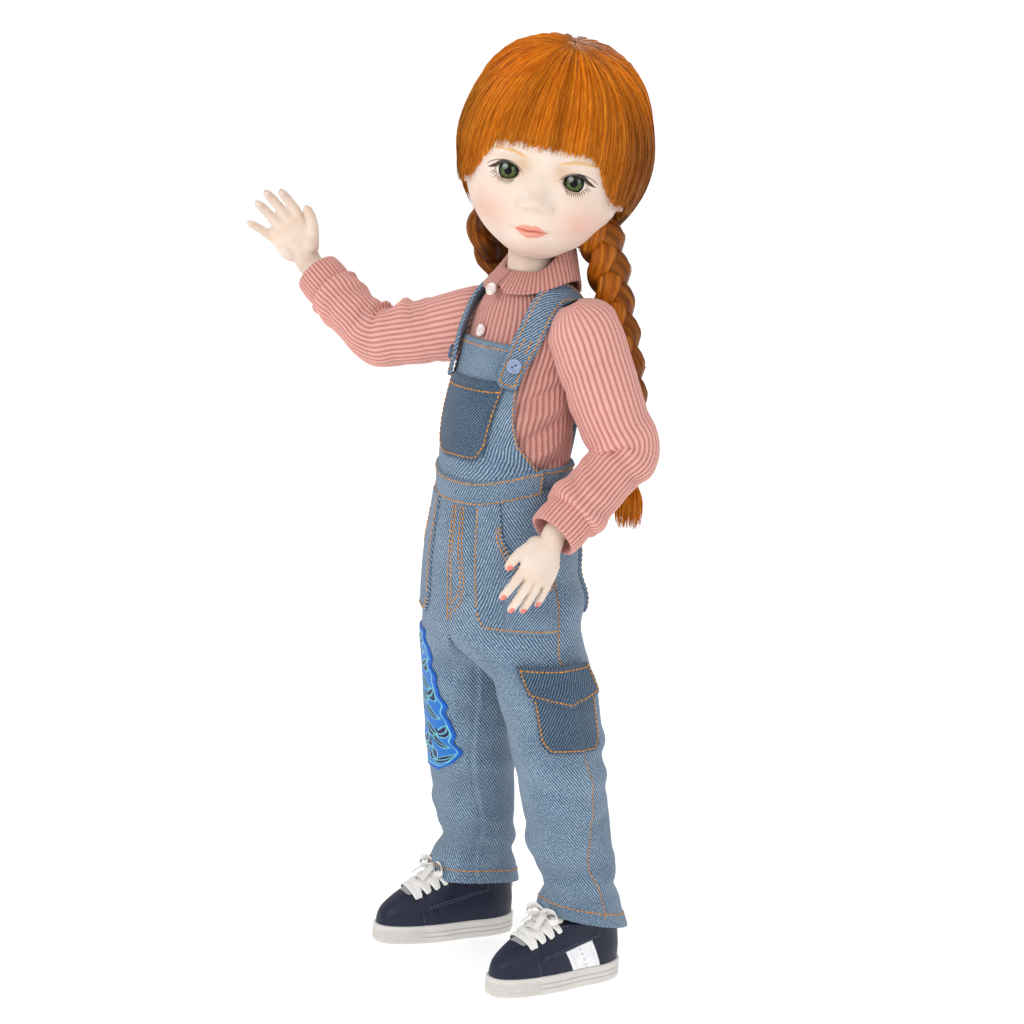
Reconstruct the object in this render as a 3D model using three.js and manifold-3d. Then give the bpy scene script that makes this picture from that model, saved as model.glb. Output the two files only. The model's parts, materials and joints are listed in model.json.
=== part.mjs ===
// A posed, jointed fashion doll in a ribbed knit shirt, denim bib overalls and low laced shoes.
// Millimetres, +Z up. The doll faces -Y, and its own left side is +X.
import * as THREE from "three";
import Module from "manifold-3d";

const wasm = await Module();
wasm.setup();
const { Manifold, Mesh: SolidMesh } = wasm;

// Free space left between pieces that meet.
const CLEAR = 0.35;
// Free space around a ball in its socket, which also covers the flat facets of both.
const SOCKET = 0.75;

// Leg skeleton: lengths, hip spacing and the stance in degrees.
const ANKLE_HEIGHT = 22;
const SHIN_LENGTH = 62;
const THIGH_LENGTH = 68;
const LEG_LENGTH = THIGH_LENGTH + SHIN_LENGTH;
const HIP_HALF = 18.5;
const HIP_Y = -3;
const LEG_LEAN = 10;
const LEG_SPREAD = { right: 8, left: 5 };
const LEG_TURN = { right: -13, left: -3 };

// Torso heights above the floor, all carried by the mean hip height.
const HIP_HEIGHT = ANKLE_HEIGHT + LEG_LENGTH * Math.cos(rad(LEG_LEAN)) * Math.cos(rad(6.5));
const WAIST_Z = HIP_HEIGHT + 45;
const SHOULDER_Z = HIP_HEIGHT + 106;
const NECK_Z = HIP_HEIGHT + 117;
const HEAD_PIVOT = new THREE.Vector3(-0.3, 4.4, HIP_HEIGHT + 135.5);
const SHOULDER_HALF = 28.5;
const SHOULDER_Y = 3.5;
const NECK_Y = 5;

// Arm skeleton and the directions in which the posed bones point.
const UPPER_ARM_LENGTH = 47.5;
const FOREARM_LENGTH = 45;
const ARM_POSE = {
  right: {
    upper: new THREE.Vector3(-0.885, -0.352, -0.309).normalize(),
    fore: new THREE.Vector3(-0.8, -0.16, 0.6).normalize(),
    hand: new THREE.Vector3(-0.41, -0.4, 0.82).normalize(),
    palm: new THREE.Vector3(0.55, -0.75, 0.1),
  },
  left: {
    upper: new THREE.Vector3(0.31, 0.365, -0.878).normalize(),
    fore: new THREE.Vector3(-0.024, -0.757, -0.6).normalize(),
    hand: new THREE.Vector3(-0.03, -0.42, -0.905).normalize(),
    palm: new THREE.Vector3(-0.95, 0.1, -0.05),
  },
};

// Radii of the jointed body.
const SHOULDER_BALL = 9;
const ELBOW_BALL = 7.2;
const WRIST_BALL = 4.6;
const HIP_BALL = 13;
const KNEE_BALL = 11;
const ANKLE_BALL = 7.6;
const NECK_RADIUS = 9.3;
const BODY_WALL = 3.2;

// Layers of clothing, as distances out from the body's skin.
const SHIRT_IN = 0.4;
const SHIRT_OUT = 2.6;
const BIB_IN = 3.2;
const BIB_OUT = 5;
const STRAP_OVER_BIB = 6.1;
const STRAP_THICK = 1.4;
const COLLAR_IN = 7.2;
const COLLAR_OUT = 8.8;
const CLOTH_WALL = 2;

// Head: chin to crown is about 78 mm, with the pivot inside the skull base.
const HEAD_TURN = 39;
const HEAD_ROLL = 9;
const HEAD_NOD = 4;
const HEAD_WALL = 3;
const HAIR_THICK = 5.2;
const EYE_RADIUS = 7.4;
const EYE_HALF = 12.8;
const EYE_Y = -23.2;
const EYE_Z = 36;
const BANGS_Z = 46;

// Shoes, measured from the ankle.
const SHOE_TOE = 42.5;
const SHOE_HEEL = 18.5;
const SHOE_HALF = 11.8;
const SOLE_THICK = 7.4;
const SHOE_TOP = 4;

const SIDES = ["right", "left"];

function rad(degrees) {
  return (degrees * Math.PI) / 180;
}

function vec(x, y, z) {
  return new THREE.Vector3(x, y, z);
}

function sign(side) {
  return side === "right" ? -1 : 1;
}

// Geometry from vertices and triangles, turned inside out if it faces inwards.
function closedGeometry(points, triangles) {
  let volume = 0;
  for (let i = 0; i < triangles.length; i += 3) {
    const a = points[triangles[i]];
    const b = points[triangles[i + 1]];
    const c = points[triangles[i + 2]];
    volume += a.dot(b.clone().cross(c));
  }
  const index = volume < 0 ? triangles.slice().reverse() : triangles;
  const geometry = new THREE.BufferGeometry();
  geometry.setAttribute("position", new THREE.Float32BufferAttribute(points.flatMap((p) => p.toArray()), 3));
  geometry.setIndex(index);
  return geometry;
}

// Solid through a list of rings with equal point counts, closed by a fan at each end.
function loft(rings) {
  const count = rings[0].length;
  const points = rings.flat().map((p) => p.clone());
  const triangles = [];
  for (let row = 0; row + 1 < rings.length; row += 1) {
    addBand(triangles, row * count, (row + 1) * count, count);
  }
  const ends = [rings[0], rings[rings.length - 1]];
  ends.forEach((ring, end) => {
    const middle = ring.reduce((sum, p) => sum.add(p), vec(0, 0, 0)).divideScalar(count);
    points.push(middle);
    const tip = points.length - 1;
    const start = end === 0 ? 0 : (rings.length - 1) * count;
    for (let i = 0; i < count; i += 1) {
      const a = start + i;
      const b = start + ((i + 1) % count);
      triangles.push(...(end === 0 ? [tip, b, a] : [tip, a, b]));
    }
  });
  return closedGeometry(points, triangles);
}

function addBand(triangles, lower, upper, count) {
  for (let i = 0; i < count; i += 1) {
    const j = (i + 1) % count;
    triangles.push(lower + i, lower + j, upper + j, lower + i, upper + j, upper + i);
  }
}

// Walled tube: rings up the outside, then down the inside, joined at both rims.
function walledTube(outer, inner) {
  const rings = [...outer, ...inner.slice().reverse()];
  const count = outer[0].length;
  const triangles = [];
  rings.forEach((_, row) => {
    addBand(triangles, row * count, ((row + 1) % rings.length) * count, count);
  });
  return closedGeometry(rings.flat().map((p) => p.clone()), triangles);
}

// Curved sheet with thickness: top(u, v) and bottom(u, v) give the two faces, u and v from 0 to 1.
function slab(top, bottom, columns, rows) {
  const points = [];
  const width = columns + 1;
  [top, bottom].forEach((face) => {
    for (let r = 0; r <= rows; r += 1) {
      for (let c = 0; c <= columns; c += 1) {
        points.push(face(c / columns, r / rows));
      }
    }
  });
  const offset = width * (rows + 1);
  const triangles = [];
  for (let r = 0; r < rows; r += 1) {
    for (let c = 0; c < columns; c += 1) {
      const a = r * width + c;
      const b = a + 1;
      const d = a + width;
      const e = d + 1;
      triangles.push(a, b, e, a, e, d);
      triangles.push(a + offset, e + offset, b + offset, a + offset, d + offset, e + offset);
    }
  }
  const rim = [];
  for (let c = 0; c < columns; c += 1) rim.push(c);
  for (let r = 0; r < rows; r += 1) rim.push(r * width + columns);
  for (let c = columns; c > 0; c -= 1) rim.push(rows * width + c);
  for (let r = rows; r > 0; r -= 1) rim.push(r * width);
  rim.forEach((a, i) => {
    const b = rim[(i + 1) % rim.length];
    triangles.push(a, a + offset, b + offset, a, b + offset, b);
  });
  return closedGeometry(points, triangles);
}

// Level oval ring. Front is the reach to -Y, back the reach to +Y.
function ovalRing(cx, cy, z, halfWidth, front, back, count, power = 2) {
  const ring = [];
  for (let i = 0; i < count; i += 1) {
    const angle = (2 * Math.PI * i) / count;
    const c = Math.cos(angle);
    const s = Math.sin(angle);
    const x = Math.sign(c) * Math.abs(c) ** (2 / power) * halfWidth;
    const y = Math.sign(s) * Math.abs(s) ** (2 / power) * (s < 0 ? front : back);
    ring.push(vec(cx + x, cy + y, z));
  }
  return ring;
}

// Round rings square to a curve that bends in the local YZ plane. The radius may change along the
// curve and around it, which is how folds of cloth are drawn.
function ringsAlong(curve, stations, radiusAt, count) {
  return stations.map((t) => {
    const centre = curve.getPointAt(t);
    const along = curve.getTangentAt(t);
    const across = Math.abs(along.x) < 0.99 ? vec(1, 0, 0) : vec(0, 1, 0);
    const up = along.clone().cross(across).normalize();
    const over = up.clone().cross(along).normalize();
    const ring = [];
    for (let i = 0; i < count; i += 1) {
      const angle = (2 * Math.PI * i) / count;
      const radius = radiusAt(t, angle);
      ring.push(
        centre
          .clone()
          .addScaledVector(over, radius * Math.cos(angle))
          .addScaledVector(up, radius * Math.sin(angle)),
      );
    }
    return ring;
  });
}

function spaced(from, to, count) {
  return Array.from({ length: count }, (_, i) => from + ((to - from) * i) / (count - 1));
}

function roundTube(points, radiusAt, steps, count) {
  const curve = new THREE.CatmullRomCurve3(points, false, "centripetal");
  return loft(ringsAlong(curve, spaced(0, 1, steps), radiusAt, count));
}

// Straight-line interpolation in rows of numbers whose first entry is the key.
function rowAt(rows, key) {
  const last = rows.length - 1;
  if (key <= rows[0][0]) return rows[0];
  if (key >= rows[last][0]) return rows[last];
  const i = rows.findIndex((row) => row[0] >= key);
  const t = (key - rows[i - 1][0]) / (rows[i][0] - rows[i - 1][0]);
  return rows[i].map((value, k) => rows[i - 1][k] + t * (value - rows[i - 1][k]));
}

// Solids for cutting and joining.
function toSolid(geometry) {
  const source = geometry.index ? geometry : indexed(geometry);
  const mesh = new SolidMesh({
    numProp: 3,
    vertProperties: new Float32Array(source.getAttribute("position").array),
    triVerts: new Uint32Array(source.index.array),
  });
  mesh.merge();
  return new Manifold(mesh);
}

function indexed(geometry) {
  const result = geometry.clone();
  const count = result.getAttribute("position").count;
  result.setIndex(Array.from({ length: count }, (_, i) => i));
  return result;
}

function toGeometry(solid) {
  const mesh = solid.getMesh();
  const geometry = new THREE.BufferGeometry();
  geometry.setAttribute("position", new THREE.Float32BufferAttribute(mesh.vertProperties, mesh.numProp));
  geometry.setIndex(Array.from(mesh.triVerts));
  return geometry;
}

function ballSolid(radius, centre = vec(0, 0, 0), columns = 12, rows = 8) {
  const geometry = new THREE.SphereGeometry(radius, columns, rows);
  geometry.translate(centre.x, centre.y, centre.z);
  return toSolid(geometry);
}

function boxSolid(low, high) {
  const size = high.clone().sub(low);
  const middle = high.clone().add(low).multiplyScalar(0.5);
  const geometry = new THREE.BoxGeometry(size.x, size.y, size.z);
  geometry.translate(middle.x, middle.y, middle.z);
  return toSolid(geometry);
}

// Round bar between two points, with a different radius at each end.
function barGeometry(from, to, radiusFrom, radiusTo, count = 12) {
  const length = from.distanceTo(to);
  const geometry = new THREE.CylinderGeometry(radiusTo, radiusFrom, length, count);
  const turn = new THREE.Quaternion().setFromUnitVectors(vec(0, 1, 0), to.clone().sub(from).normalize());
  geometry.applyQuaternion(turn);
  const middle = from.clone().add(to).multiplyScalar(0.5);
  geometry.translate(middle.x, middle.y, middle.z);
  return geometry;
}

function turnedAboutX(geometry, degrees) {
  return geometry.clone().applyMatrix4(new THREE.Matrix4().makeRotationX(rad(degrees)));
}

// Materials, with colours read from the photograph.
function paint(hex, roughness, metalness = 0) {
  return new THREE.MeshStandardMaterial({ color: hex, roughness, metalness });
}

const SKIN = paint(0xf0d3bd, 0.5);
const HAIR = paint(0xb8601f, 0.45);
const KNIT = paint(0xdda198, 0.9);
const DENIM = paint(0x9fb9cc, 0.85);
const DARK_DENIM = paint(0x5d83a0, 0.85);
const EYE = paint(0x5f8a4a, 0.15);
const SHOE_LEATHER = paint(0x1d2a4a, 0.5);
const SHOE_RUBBER = paint(0xeeeeea, 0.6);
const LACE = paint(0xf4f4f2, 0.8);
const BUTTON_BLUE = paint(0x4b79b5, 0.35);
const BUTTON_CLEAR = paint(0xe7d6d2, 0.15);
const ELASTIC = paint(0xf2efe6, 0.8);
const STEEL = paint(0x9a9c9f, 0.35, 0.9);
const PATCH = paint(0x3c66a8, 0.8);
const HAIR_TIE = paint(0xa6531b, 0.7);

const doll = new THREE.Group();
doll.name = "doll";

function add(parent, name, geometry, material) {
  const mesh = new THREE.Mesh(geometry, material);
  mesh.name = name;
  parent.add(mesh);
  return mesh;
}

// Group at a joint, so that every piece below it is drawn in that joint's own frame.
function jointGroup(parent, name, position) {
  const group = new THREE.Group();
  group.name = `joint_${name}`;
  group.position.copy(position);
  parent.add(group);
  return group;
}

// Turns a group so that its -Z points along the bone and its -Y faces as nearly as it can.
function aim(group, bone, facing) {
  const z = bone.clone().normalize().negate();
  const y = facing.clone().negate();
  const x = y.clone().cross(z).normalize();
  const trueY = z.clone().cross(x);
  group.quaternion.setFromRotationMatrix(new THREE.Matrix4().makeBasis(x, trueY, z));
}

// Torso rows: height, half width, half depth, centre in Y.
const TORSO_ROWS = [
  [HIP_HEIGHT - 7.5, 15, 12, -2],
  [HIP_HEIGHT - 2, 24, 17, -2],
  [HIP_HEIGHT + 7, 27, 19, -2.5],
  [HIP_HEIGHT + 20, 25.5, 19, -3.5],
  [WAIST_Z, 22, 18.5, -4.5],
  [HIP_HEIGHT + 56, 22.5, 20, -3.5],
  [HIP_HEIGHT + 74, 22.5, 20.5, -1.5],
  [HIP_HEIGHT + 90, 22.3, 18, 1.5],
  [SHOULDER_Z + 1, 21.5, 14.5, 4],
  [SHOULDER_Z + 6, 17.5, 12.5, 4.6],
  [NECK_Z + 1, 12, 11, NECK_Y],
];
const TORSO_SIDES = 16;

function torsoRing(z, offset) {
  const [, a, b, cy] = rowAt(TORSO_ROWS, z);
  return ovalRing(0, cy, z, a + offset, b + offset, b + offset, TORSO_SIDES);
}

// Point on a layer of the torso; angle 0 is straight ahead and positive turns to the doll's left.
function torsoPoint(z, degrees, offset) {
  const [, a, b, cy] = rowAt(TORSO_ROWS, z);
  const angle = rad(degrees);
  return vec((a + offset) * Math.sin(angle), cy - (b + offset) * Math.cos(angle), z);
}

function torsoForm(offset, low = -Infinity, high = Infinity) {
  const heights = TORSO_ROWS.map((row) => row[0]).filter((z) => z > low && z < high);
  if (Number.isFinite(low)) heights.unshift(low);
  if (Number.isFinite(high)) heights.push(high);
  return heights.map((z) => torsoRing(z, offset));
}

const hipPoint = {};
const legLine = {};
SIDES.forEach((side) => {
  const spread = rad(LEG_SPREAD[side]) * sign(side);
  const lean = rad(LEG_LEAN);
  const line = vec(Math.sin(spread) * Math.cos(lean), Math.sin(lean), -Math.cos(spread) * Math.cos(lean));
  legLine[side] = line;
  hipPoint[side] = vec(sign(side) * HIP_HALF, HIP_Y, ANKLE_HEIGHT - LEG_LENGTH * line.z);
});
const shoulderPoint = {
  right: vec(-SHOULDER_HALF, SHOULDER_Y, SHOULDER_Z),
  left: vec(SHOULDER_HALF, SHOULDER_Y, SHOULDER_Z),
};
const neckPoint = vec(0, NECK_Y, NECK_Z);

// The hollow torso, in a front and a back half, with a socket for each limb and the neck.
function buildTorso() {
  let body = toSolid(loft(torsoForm(0)));
  const hollow = torsoForm(-BODY_WALL, HIP_HEIGHT - 4, NECK_Z - 4);
  body = body.subtract(toSolid(loft(hollow)));
  SIDES.forEach((side) => {
    body = body.subtract(ballSolid(SHOULDER_BALL + SOCKET, shoulderPoint[side]));
    body = body.subtract(armRoom(side, 9));
    body = body.subtract(ballSolid(HIP_BALL + SOCKET, hipPoint[side]));
    body = body.subtract(toSolid(thighRoom(side)));
  });
  body = body.subtract(ballSolid(NECK_RADIUS + SOCKET, neckPoint));
  body = body.subtract(toSolid(barGeometry(shoulderPoint.right, shoulderPoint.left, 2.2, 2.2)));
  const split = 3;
  const far = 400;
  const front = body.intersect(boxSolid(vec(-far, -far, -far), vec(far, split, far)));
  const back = body.intersect(boxSolid(vec(-far, split + 0.3, -far), vec(far, far, far)));
  add(doll, "torso_front", toGeometry(front), SKIN);
  add(doll, "torso_back", toGeometry(back), SKIN);

  const armReach = SHOULDER_HALF - SHOULDER_BALL - CLEAR;
  const armElastic = barGeometry(vec(-armReach, SHOULDER_Y, SHOULDER_Z), vec(armReach, SHOULDER_Y, SHOULDER_Z), 1.4, 1.4);
  add(doll, "arm_elastic", armElastic, ELASTIC);

  const hookTop = NECK_Z - NECK_RADIUS - 2 * CLEAR;
  const loopTop = SHOULDER_Z - 6;
  const anchor = SIDES.map((side) => hipPoint[side].clone().add(vec(-sign(side) * 3, 1, HIP_BALL + CLEAR)));
  const loopRoute = [
    anchor[0],
    vec(-8, 2, WAIST_Z),
    vec(-5, 8, loopTop - 9),
    vec(0, 9, loopTop),
    vec(5, 8, loopTop - 9),
    vec(8, 2, WAIST_Z),
    anchor[1],
  ];
  add(doll, "leg_elastic", roundTube(loopRoute, () => 1.4, 14, 5), ELASTIC);
  const hook = barGeometry(vec(0, 9, loopTop + 1.4 + CLEAR), vec(0, 6.5, hookTop), 1, 1);
  add(doll, "neck_hook", hook, STEEL);
}

// Room that an upper arm needs beside the chest in its posed place.
function armRoom(side, radius) {
  const end = shoulderPoint[side].clone().addScaledVector(ARM_POSE[side].upper, 34);
  return toSolid(barGeometry(shoulderPoint[side], end, radius, radius, 14));
}

// Room that a thigh needs as it swings from a little behind the body to level in front of it.
function thighRoom(side) {
  const reach = HIP_BALL + 1.5;
  const outline = new THREE.Shape([
    new THREE.Vector2(-60, reach + 8),
    new THREE.Vector2(-12, reach),
    new THREE.Vector2(-5, reach - 4),
    new THREE.Vector2(7, reach - 4),
    new THREE.Vector2(reach, reach - 12),
    new THREE.Vector2(60, -15),
    new THREE.Vector2(60, -60),
    new THREE.Vector2(-60, -60),
  ]);
  const width = 60;
  const geometry = new THREE.ExtrudeGeometry(outline, { depth: width, bevelEnabled: false });
  geometry.applyMatrix4(new THREE.Matrix4().makeBasis(vec(0, 1, 0), vec(0, 0, 1), vec(1, 0, 0)));
  const hip = hipPoint[side];
  const inner = side === "right" ? hip.x + reach - width : hip.x - reach;
  geometry.translate(inner, hip.y, hip.z);
  return geometry;
}

function buildLegs() {
  SIDES.forEach((side) => {
    const facing = vec(Math.sin(rad(LEG_TURN[side])), -Math.cos(rad(LEG_TURN[side])), 0);
    const hip = jointGroup(doll, `${side}_hip`, hipPoint[side]);
    aim(hip, legLine[side], facing);
    const knee = jointGroup(hip, `${side}_knee`, vec(0, 0, -THIGH_LENGTH));
    const ankle = jointGroup(knee, `${side}_ankle`, vec(0, 0, -SHIN_LENGTH));
    const level = new THREE.Quaternion().setFromAxisAngle(vec(0, 0, 1), rad(LEG_TURN[side]));
    ankle.quaternion.copy(hip.quaternion.clone().invert().multiply(level));

    const thighRows = [
      [-6, 12.4],
      [-16, 13.8],
      [-34, 13.4],
      [-52, 12],
      [-THIGH_LENGTH + 3, 10.4],
    ];
    const thighRings = thighRows.map(([z, r]) => ovalRing(0, 0, z, r, r, r, 10));
    let thigh = toSolid(loft(thighRings)).add(ballSolid(HIP_BALL));
    const shinTool = barGeometry(vec(0, 0, 0), vec(0, 0, -34), 10.8, 11.6, 10);
    thigh = thigh.subtract(ballSolid(KNEE_BALL + SOCKET, vec(0, 0, -THIGH_LENGTH)));
    [0, 35, 70, 100].forEach((degrees) => {
      const tool = turnedAboutX(shinTool, degrees);
      tool.translate(0, 0, -THIGH_LENGTH);
      thigh = thigh.subtract(toSolid(tool));
    });
    add(hip, `${side}_thigh`, toGeometry(thigh), SKIN);

    const shinRows = [
      [-4, 9.6],
      [-14, 10.2],
      [-26, 10],
      [-44, 8.2],
      [-SHIN_LENGTH + 3.5, 6.8],
    ];
    const shinRings = shinRows.map(([z, r]) => ovalRing(0, 0, z, r, r, r, 10));
    let shin = toSolid(loft(shinRings)).add(ballSolid(KNEE_BALL));
    shin = shin.subtract(ballSolid(ANKLE_BALL + SOCKET, vec(0, 0, -SHIN_LENGTH)));
    add(knee, `${side}_shin`, toGeometry(shin), SKIN);
    buildFoot(ankle, side);
  });
}

// Foot rows: height above the ankle, half width, reach to the toe, reach to the heel.
const FOOT_ROWS = [
  [-13.4, 7.6, 30, 11.5],
  [-10, 8.5, 32.5, 13],
  [-5, 8.2, 25, 13],
  [-1.5, 7.4, 14, 11.5],
];

function footForm(offset, top) {
  const rings = FOOT_ROWS.map(([z, w, toe, heel], i) => {
    const drop = i === 0 ? offset : 0;
    return ovalRing(0, 0, z - drop, w + offset, toe + offset, heel + offset, 14, 2.3);
  });
  if (top) rings.push(ovalRing(0, 0, top, 10, 13.5, 14, 14, 2.2));
  return toSolid(loft(rings));
}

function buildFoot(ankle, side) {
  const foot = footForm(0, null).add(ballSolid(ANKLE_BALL));
  add(ankle, `${side}_foot`, toGeometry(foot), SKIN);

  const soleTop = -ANKLE_HEIGHT + SOLE_THICK;
  const soleRows = [
    [-ANKLE_HEIGHT, 0],
    [soleTop, 0.4],
  ];
  const sole = loft(
    soleRows.map(([z, grow]) =>
      ovalRing(0, 0, z, SHOE_HALF + grow, SHOE_TOE + grow, SHOE_HEEL + grow, 24, 2.5),
    ),
  );
  add(ankle, `${side}_shoe_sole`, sole, SHOE_RUBBER);

  const upperRows = [
    [soleTop + CLEAR, 11.2, SHOE_TOE - 1, SHOE_HEEL - 0.6],
    [-9.5, 11.3, SHOE_TOE - 2.2, SHOE_HEEL - 0.4],
    [-6, 10.9, SHOE_TOE - 6.5, SHOE_HEEL - 0.6],
    [-2.5, 10.4, SHOE_TOE - 12, SHOE_HEEL - 0.8],
    [SHOE_TOP, 10.6, 17, SHOE_HEEL - 0.4],
  ];
  const upperRings = upperRows.map(([z, w, toe, heel]) => ovalRing(0, 0, z, w, toe, heel, 18, 2.4));
  let upper = toSolid(loft(upperRings));
  upper = upper.subtract(footForm(CLEAR, SHOE_TOP + 4));
  upper = upper.subtract(ballSolid(ANKLE_BALL + SOCKET));
  add(ankle, `${side}_shoe_upper`, toGeometry(upper), SHOE_LEATHER);

  // One lace, crossing from side to side up the instep and ending in a loose loop.
  const bottom = vec(0, -SHOE_TOE + 9, -1.4);
  const top = vec(0, -17.6, SHOE_TOP + 0.8);
  const route = [];
  const bars = 4;
  for (let i = 0; i <= bars; i += 1) {
    const spot = bottom.clone().lerp(top, i / bars);
    const reach = i % 2 === 0 ? -4.6 : 4.6;
    route.push(vec(reach * 0.8, spot.y, spot.z), vec(reach, spot.y + 0.9, spot.z + 0.4));
  }
  route.push(vec(-9, top.y - 3.5, top.z + 3.2), vec(-4, top.y - 6.5, top.z + 4), vec(2, top.y - 4.5, top.z + 3.4));
  add(ankle, `${side}_shoe_lace`, roundTube(route, () => 0.85, 28, 4), LACE);
}

function buildArms() {
  SIDES.forEach((side) => {
    const pose = ARM_POSE[side];
    const shoulder = jointGroup(doll, `${side}_shoulder`, shoulderPoint[side]);
    add(shoulder, `${side}_shoulder_ball`, new THREE.SphereGeometry(SHOULDER_BALL, 12, 8), SKIN);
    const upper = jointGroup(doll, `${side}_upper_arm`, shoulderPoint[side]);
    const bendAxis = pose.fore.clone().cross(pose.upper);
    aim(upper, pose.upper, bendAxis.clone().cross(pose.upper).negate());
    const bend = THREE.MathUtils.radToDeg(pose.upper.angleTo(pose.fore));
    const elbow = jointGroup(upper, `${side}_elbow`, vec(0, 0, -UPPER_ARM_LENGTH));
    elbow.rotation.x = rad(-bend);
    const wrist = jointGroup(elbow, `${side}_wrist`, vec(0, 0, -FOREARM_LENGTH));

    const upperRows = [
      [-3, 7.4],
      [-12, 7.6],
      [-26, 7.3],
      [-UPPER_ARM_LENGTH + 2, 6.4],
    ];
    let arm = toSolid(loft(upperRows.map(([z, r]) => ovalRing(0, 0, z, r, r, r, 12))));
    arm = arm.subtract(ballSolid(SHOULDER_BALL + SOCKET));
    arm = arm.subtract(ballSolid(ELBOW_BALL + SOCKET, vec(0, 0, -UPPER_ARM_LENGTH)));
    const foreTool = barGeometry(vec(0, 0, 0), vec(0, 0, -26), 7.1, 7.7, 10);
    [0, 30, 60, 85, 110].forEach((degrees) => {
      const tool = turnedAboutX(foreTool, -degrees);
      tool.translate(0, 0, -UPPER_ARM_LENGTH);
      arm = arm.subtract(toSolid(tool));
    });
    add(upper, `${side}_upper_arm`, toGeometry(arm), SKIN);

    const foreRows = [
      [-2, 6.2],
      [-14, 6.8],
      [-30, 5.8],
      [-FOREARM_LENGTH + 2, 5],
    ];
    let fore = toSolid(loft(foreRows.map(([z, r]) => ovalRing(0, 0, z, r, r, r, 12))));
    fore = fore.add(ballSolid(ELBOW_BALL));
    fore = fore.subtract(ballSolid(WRIST_BALL + SOCKET, vec(0, 0, -FOREARM_LENGTH), 10, 7));
    add(elbow, `${side}_forearm`, toGeometry(fore), SKIN);

    const cuffTop = -FOREARM_LENGTH + 13;
    const cuffEnd = -FOREARM_LENGTH + 2.5;
    const cuffHeights = [cuffTop, cuffEnd];
    const cuffOuter = cuffHeights.map((z) => ovalRing(0, 0, z, 9.2, 9.2, 9.2, 14));
    const cuffInner = cuffHeights.map((z) => {
      const r = 5.4 + (z - cuffEnd) * 0.09 + CLEAR;
      return ovalRing(0, 0, z, r, r, r, 14);
    });
    add(elbow, `${side}_cuff`, walledTube(cuffOuter, cuffInner), KNIT);

    buildSleeve(upper, side, bend);
    buildHand(wrist, elbow, upper, side);
  });
}

// Soft rise of one between two ends, for fading folds in and out.
function hump(value, middle, half) {
  const reach = Math.min(1, Math.abs(value - middle) / half);
  return 0.5 + 0.5 * Math.cos(Math.PI * reach);
}

// Creases that gather in the crook of the elbow, and slack above the cuff.
const SLEEVE_FOLD = 1;
const SLEEVE_SHOULDER = 13.6;
const SLEEVE_FOREARM = 11;
function sleeveFold(t, angle) {
  const crook = hump(t, 0.55, 0.24) * (0.6 - 0.4 * Math.sin(angle));
  const slack = hump(t, 0.92, 0.16);
  const waves = Math.sin(2 * Math.PI * 6.5 * t + 1.6 * Math.sin(angle + 0.7));
  return SLEEVE_FOLD * waves * (crook + 0.6 * slack);
}

// Sleeve over the shoulder, elbow and forearm, trimmed where it meets the shirt.
function buildSleeve(upper, side, bend) {
  const foreLine = vec(0, 0, -1).applyAxisAngle(vec(1, 0, 0), rad(-bend));
  const elbowPoint = vec(0, 0, -UPPER_ARM_LENGTH);
  const along = (distance) => elbowPoint.clone().addScaledVector(foreLine, distance);
  const route = [
    vec(0, 0, 7.5),
    vec(0, 0, -12),
    vec(0, 0, -UPPER_ARM_LENGTH + 14),
    elbowPoint.clone().addScaledVector(foreLine.clone().add(vec(0, 0, 1)).normalize(), 0.8),
    along(14),
    along(FOREARM_LENGTH - 13 - CLEAR),
  ];
  const curve = new THREE.CatmullRomCurve3(route, false, "centripetal");
  const stations = [0, ...spaced(0.07, 1, 12)];
  const outerAt = (t, angle) => {
    const slack = 1.4 * hump(t, 0.58, 0.22) + hump(t, 0.97, 0.2);
    const plain = SLEEVE_SHOULDER + (SLEEVE_FOREARM - SLEEVE_SHOULDER) * t + slack;
    return (t < 0.02 ? 9.6 : plain) + sleeveFold(t, angle);
  };
  const outer = ringsAlong(curve, stations, outerAt, 14);
  const inner = ringsAlong(curve, stations, (t, angle) => outerAt(t, angle) - CLOTH_WALL, 14);
  let sleeve = toSolid(walledTube(outer, inner));
  upper.updateWorldMatrix(true, false);
  const toLocal = upper.matrixWorld.clone().invert();
  const shirt = loft(torsoForm(SHIRT_OUT + CLEAR));
  shirt.applyMatrix4(toLocal);
  sleeve = sleeve.subtract(toSolid(shirt));
  add(upper, `${side}_sleeve`, toGeometry(sleeve), KNIT);
}

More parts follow.
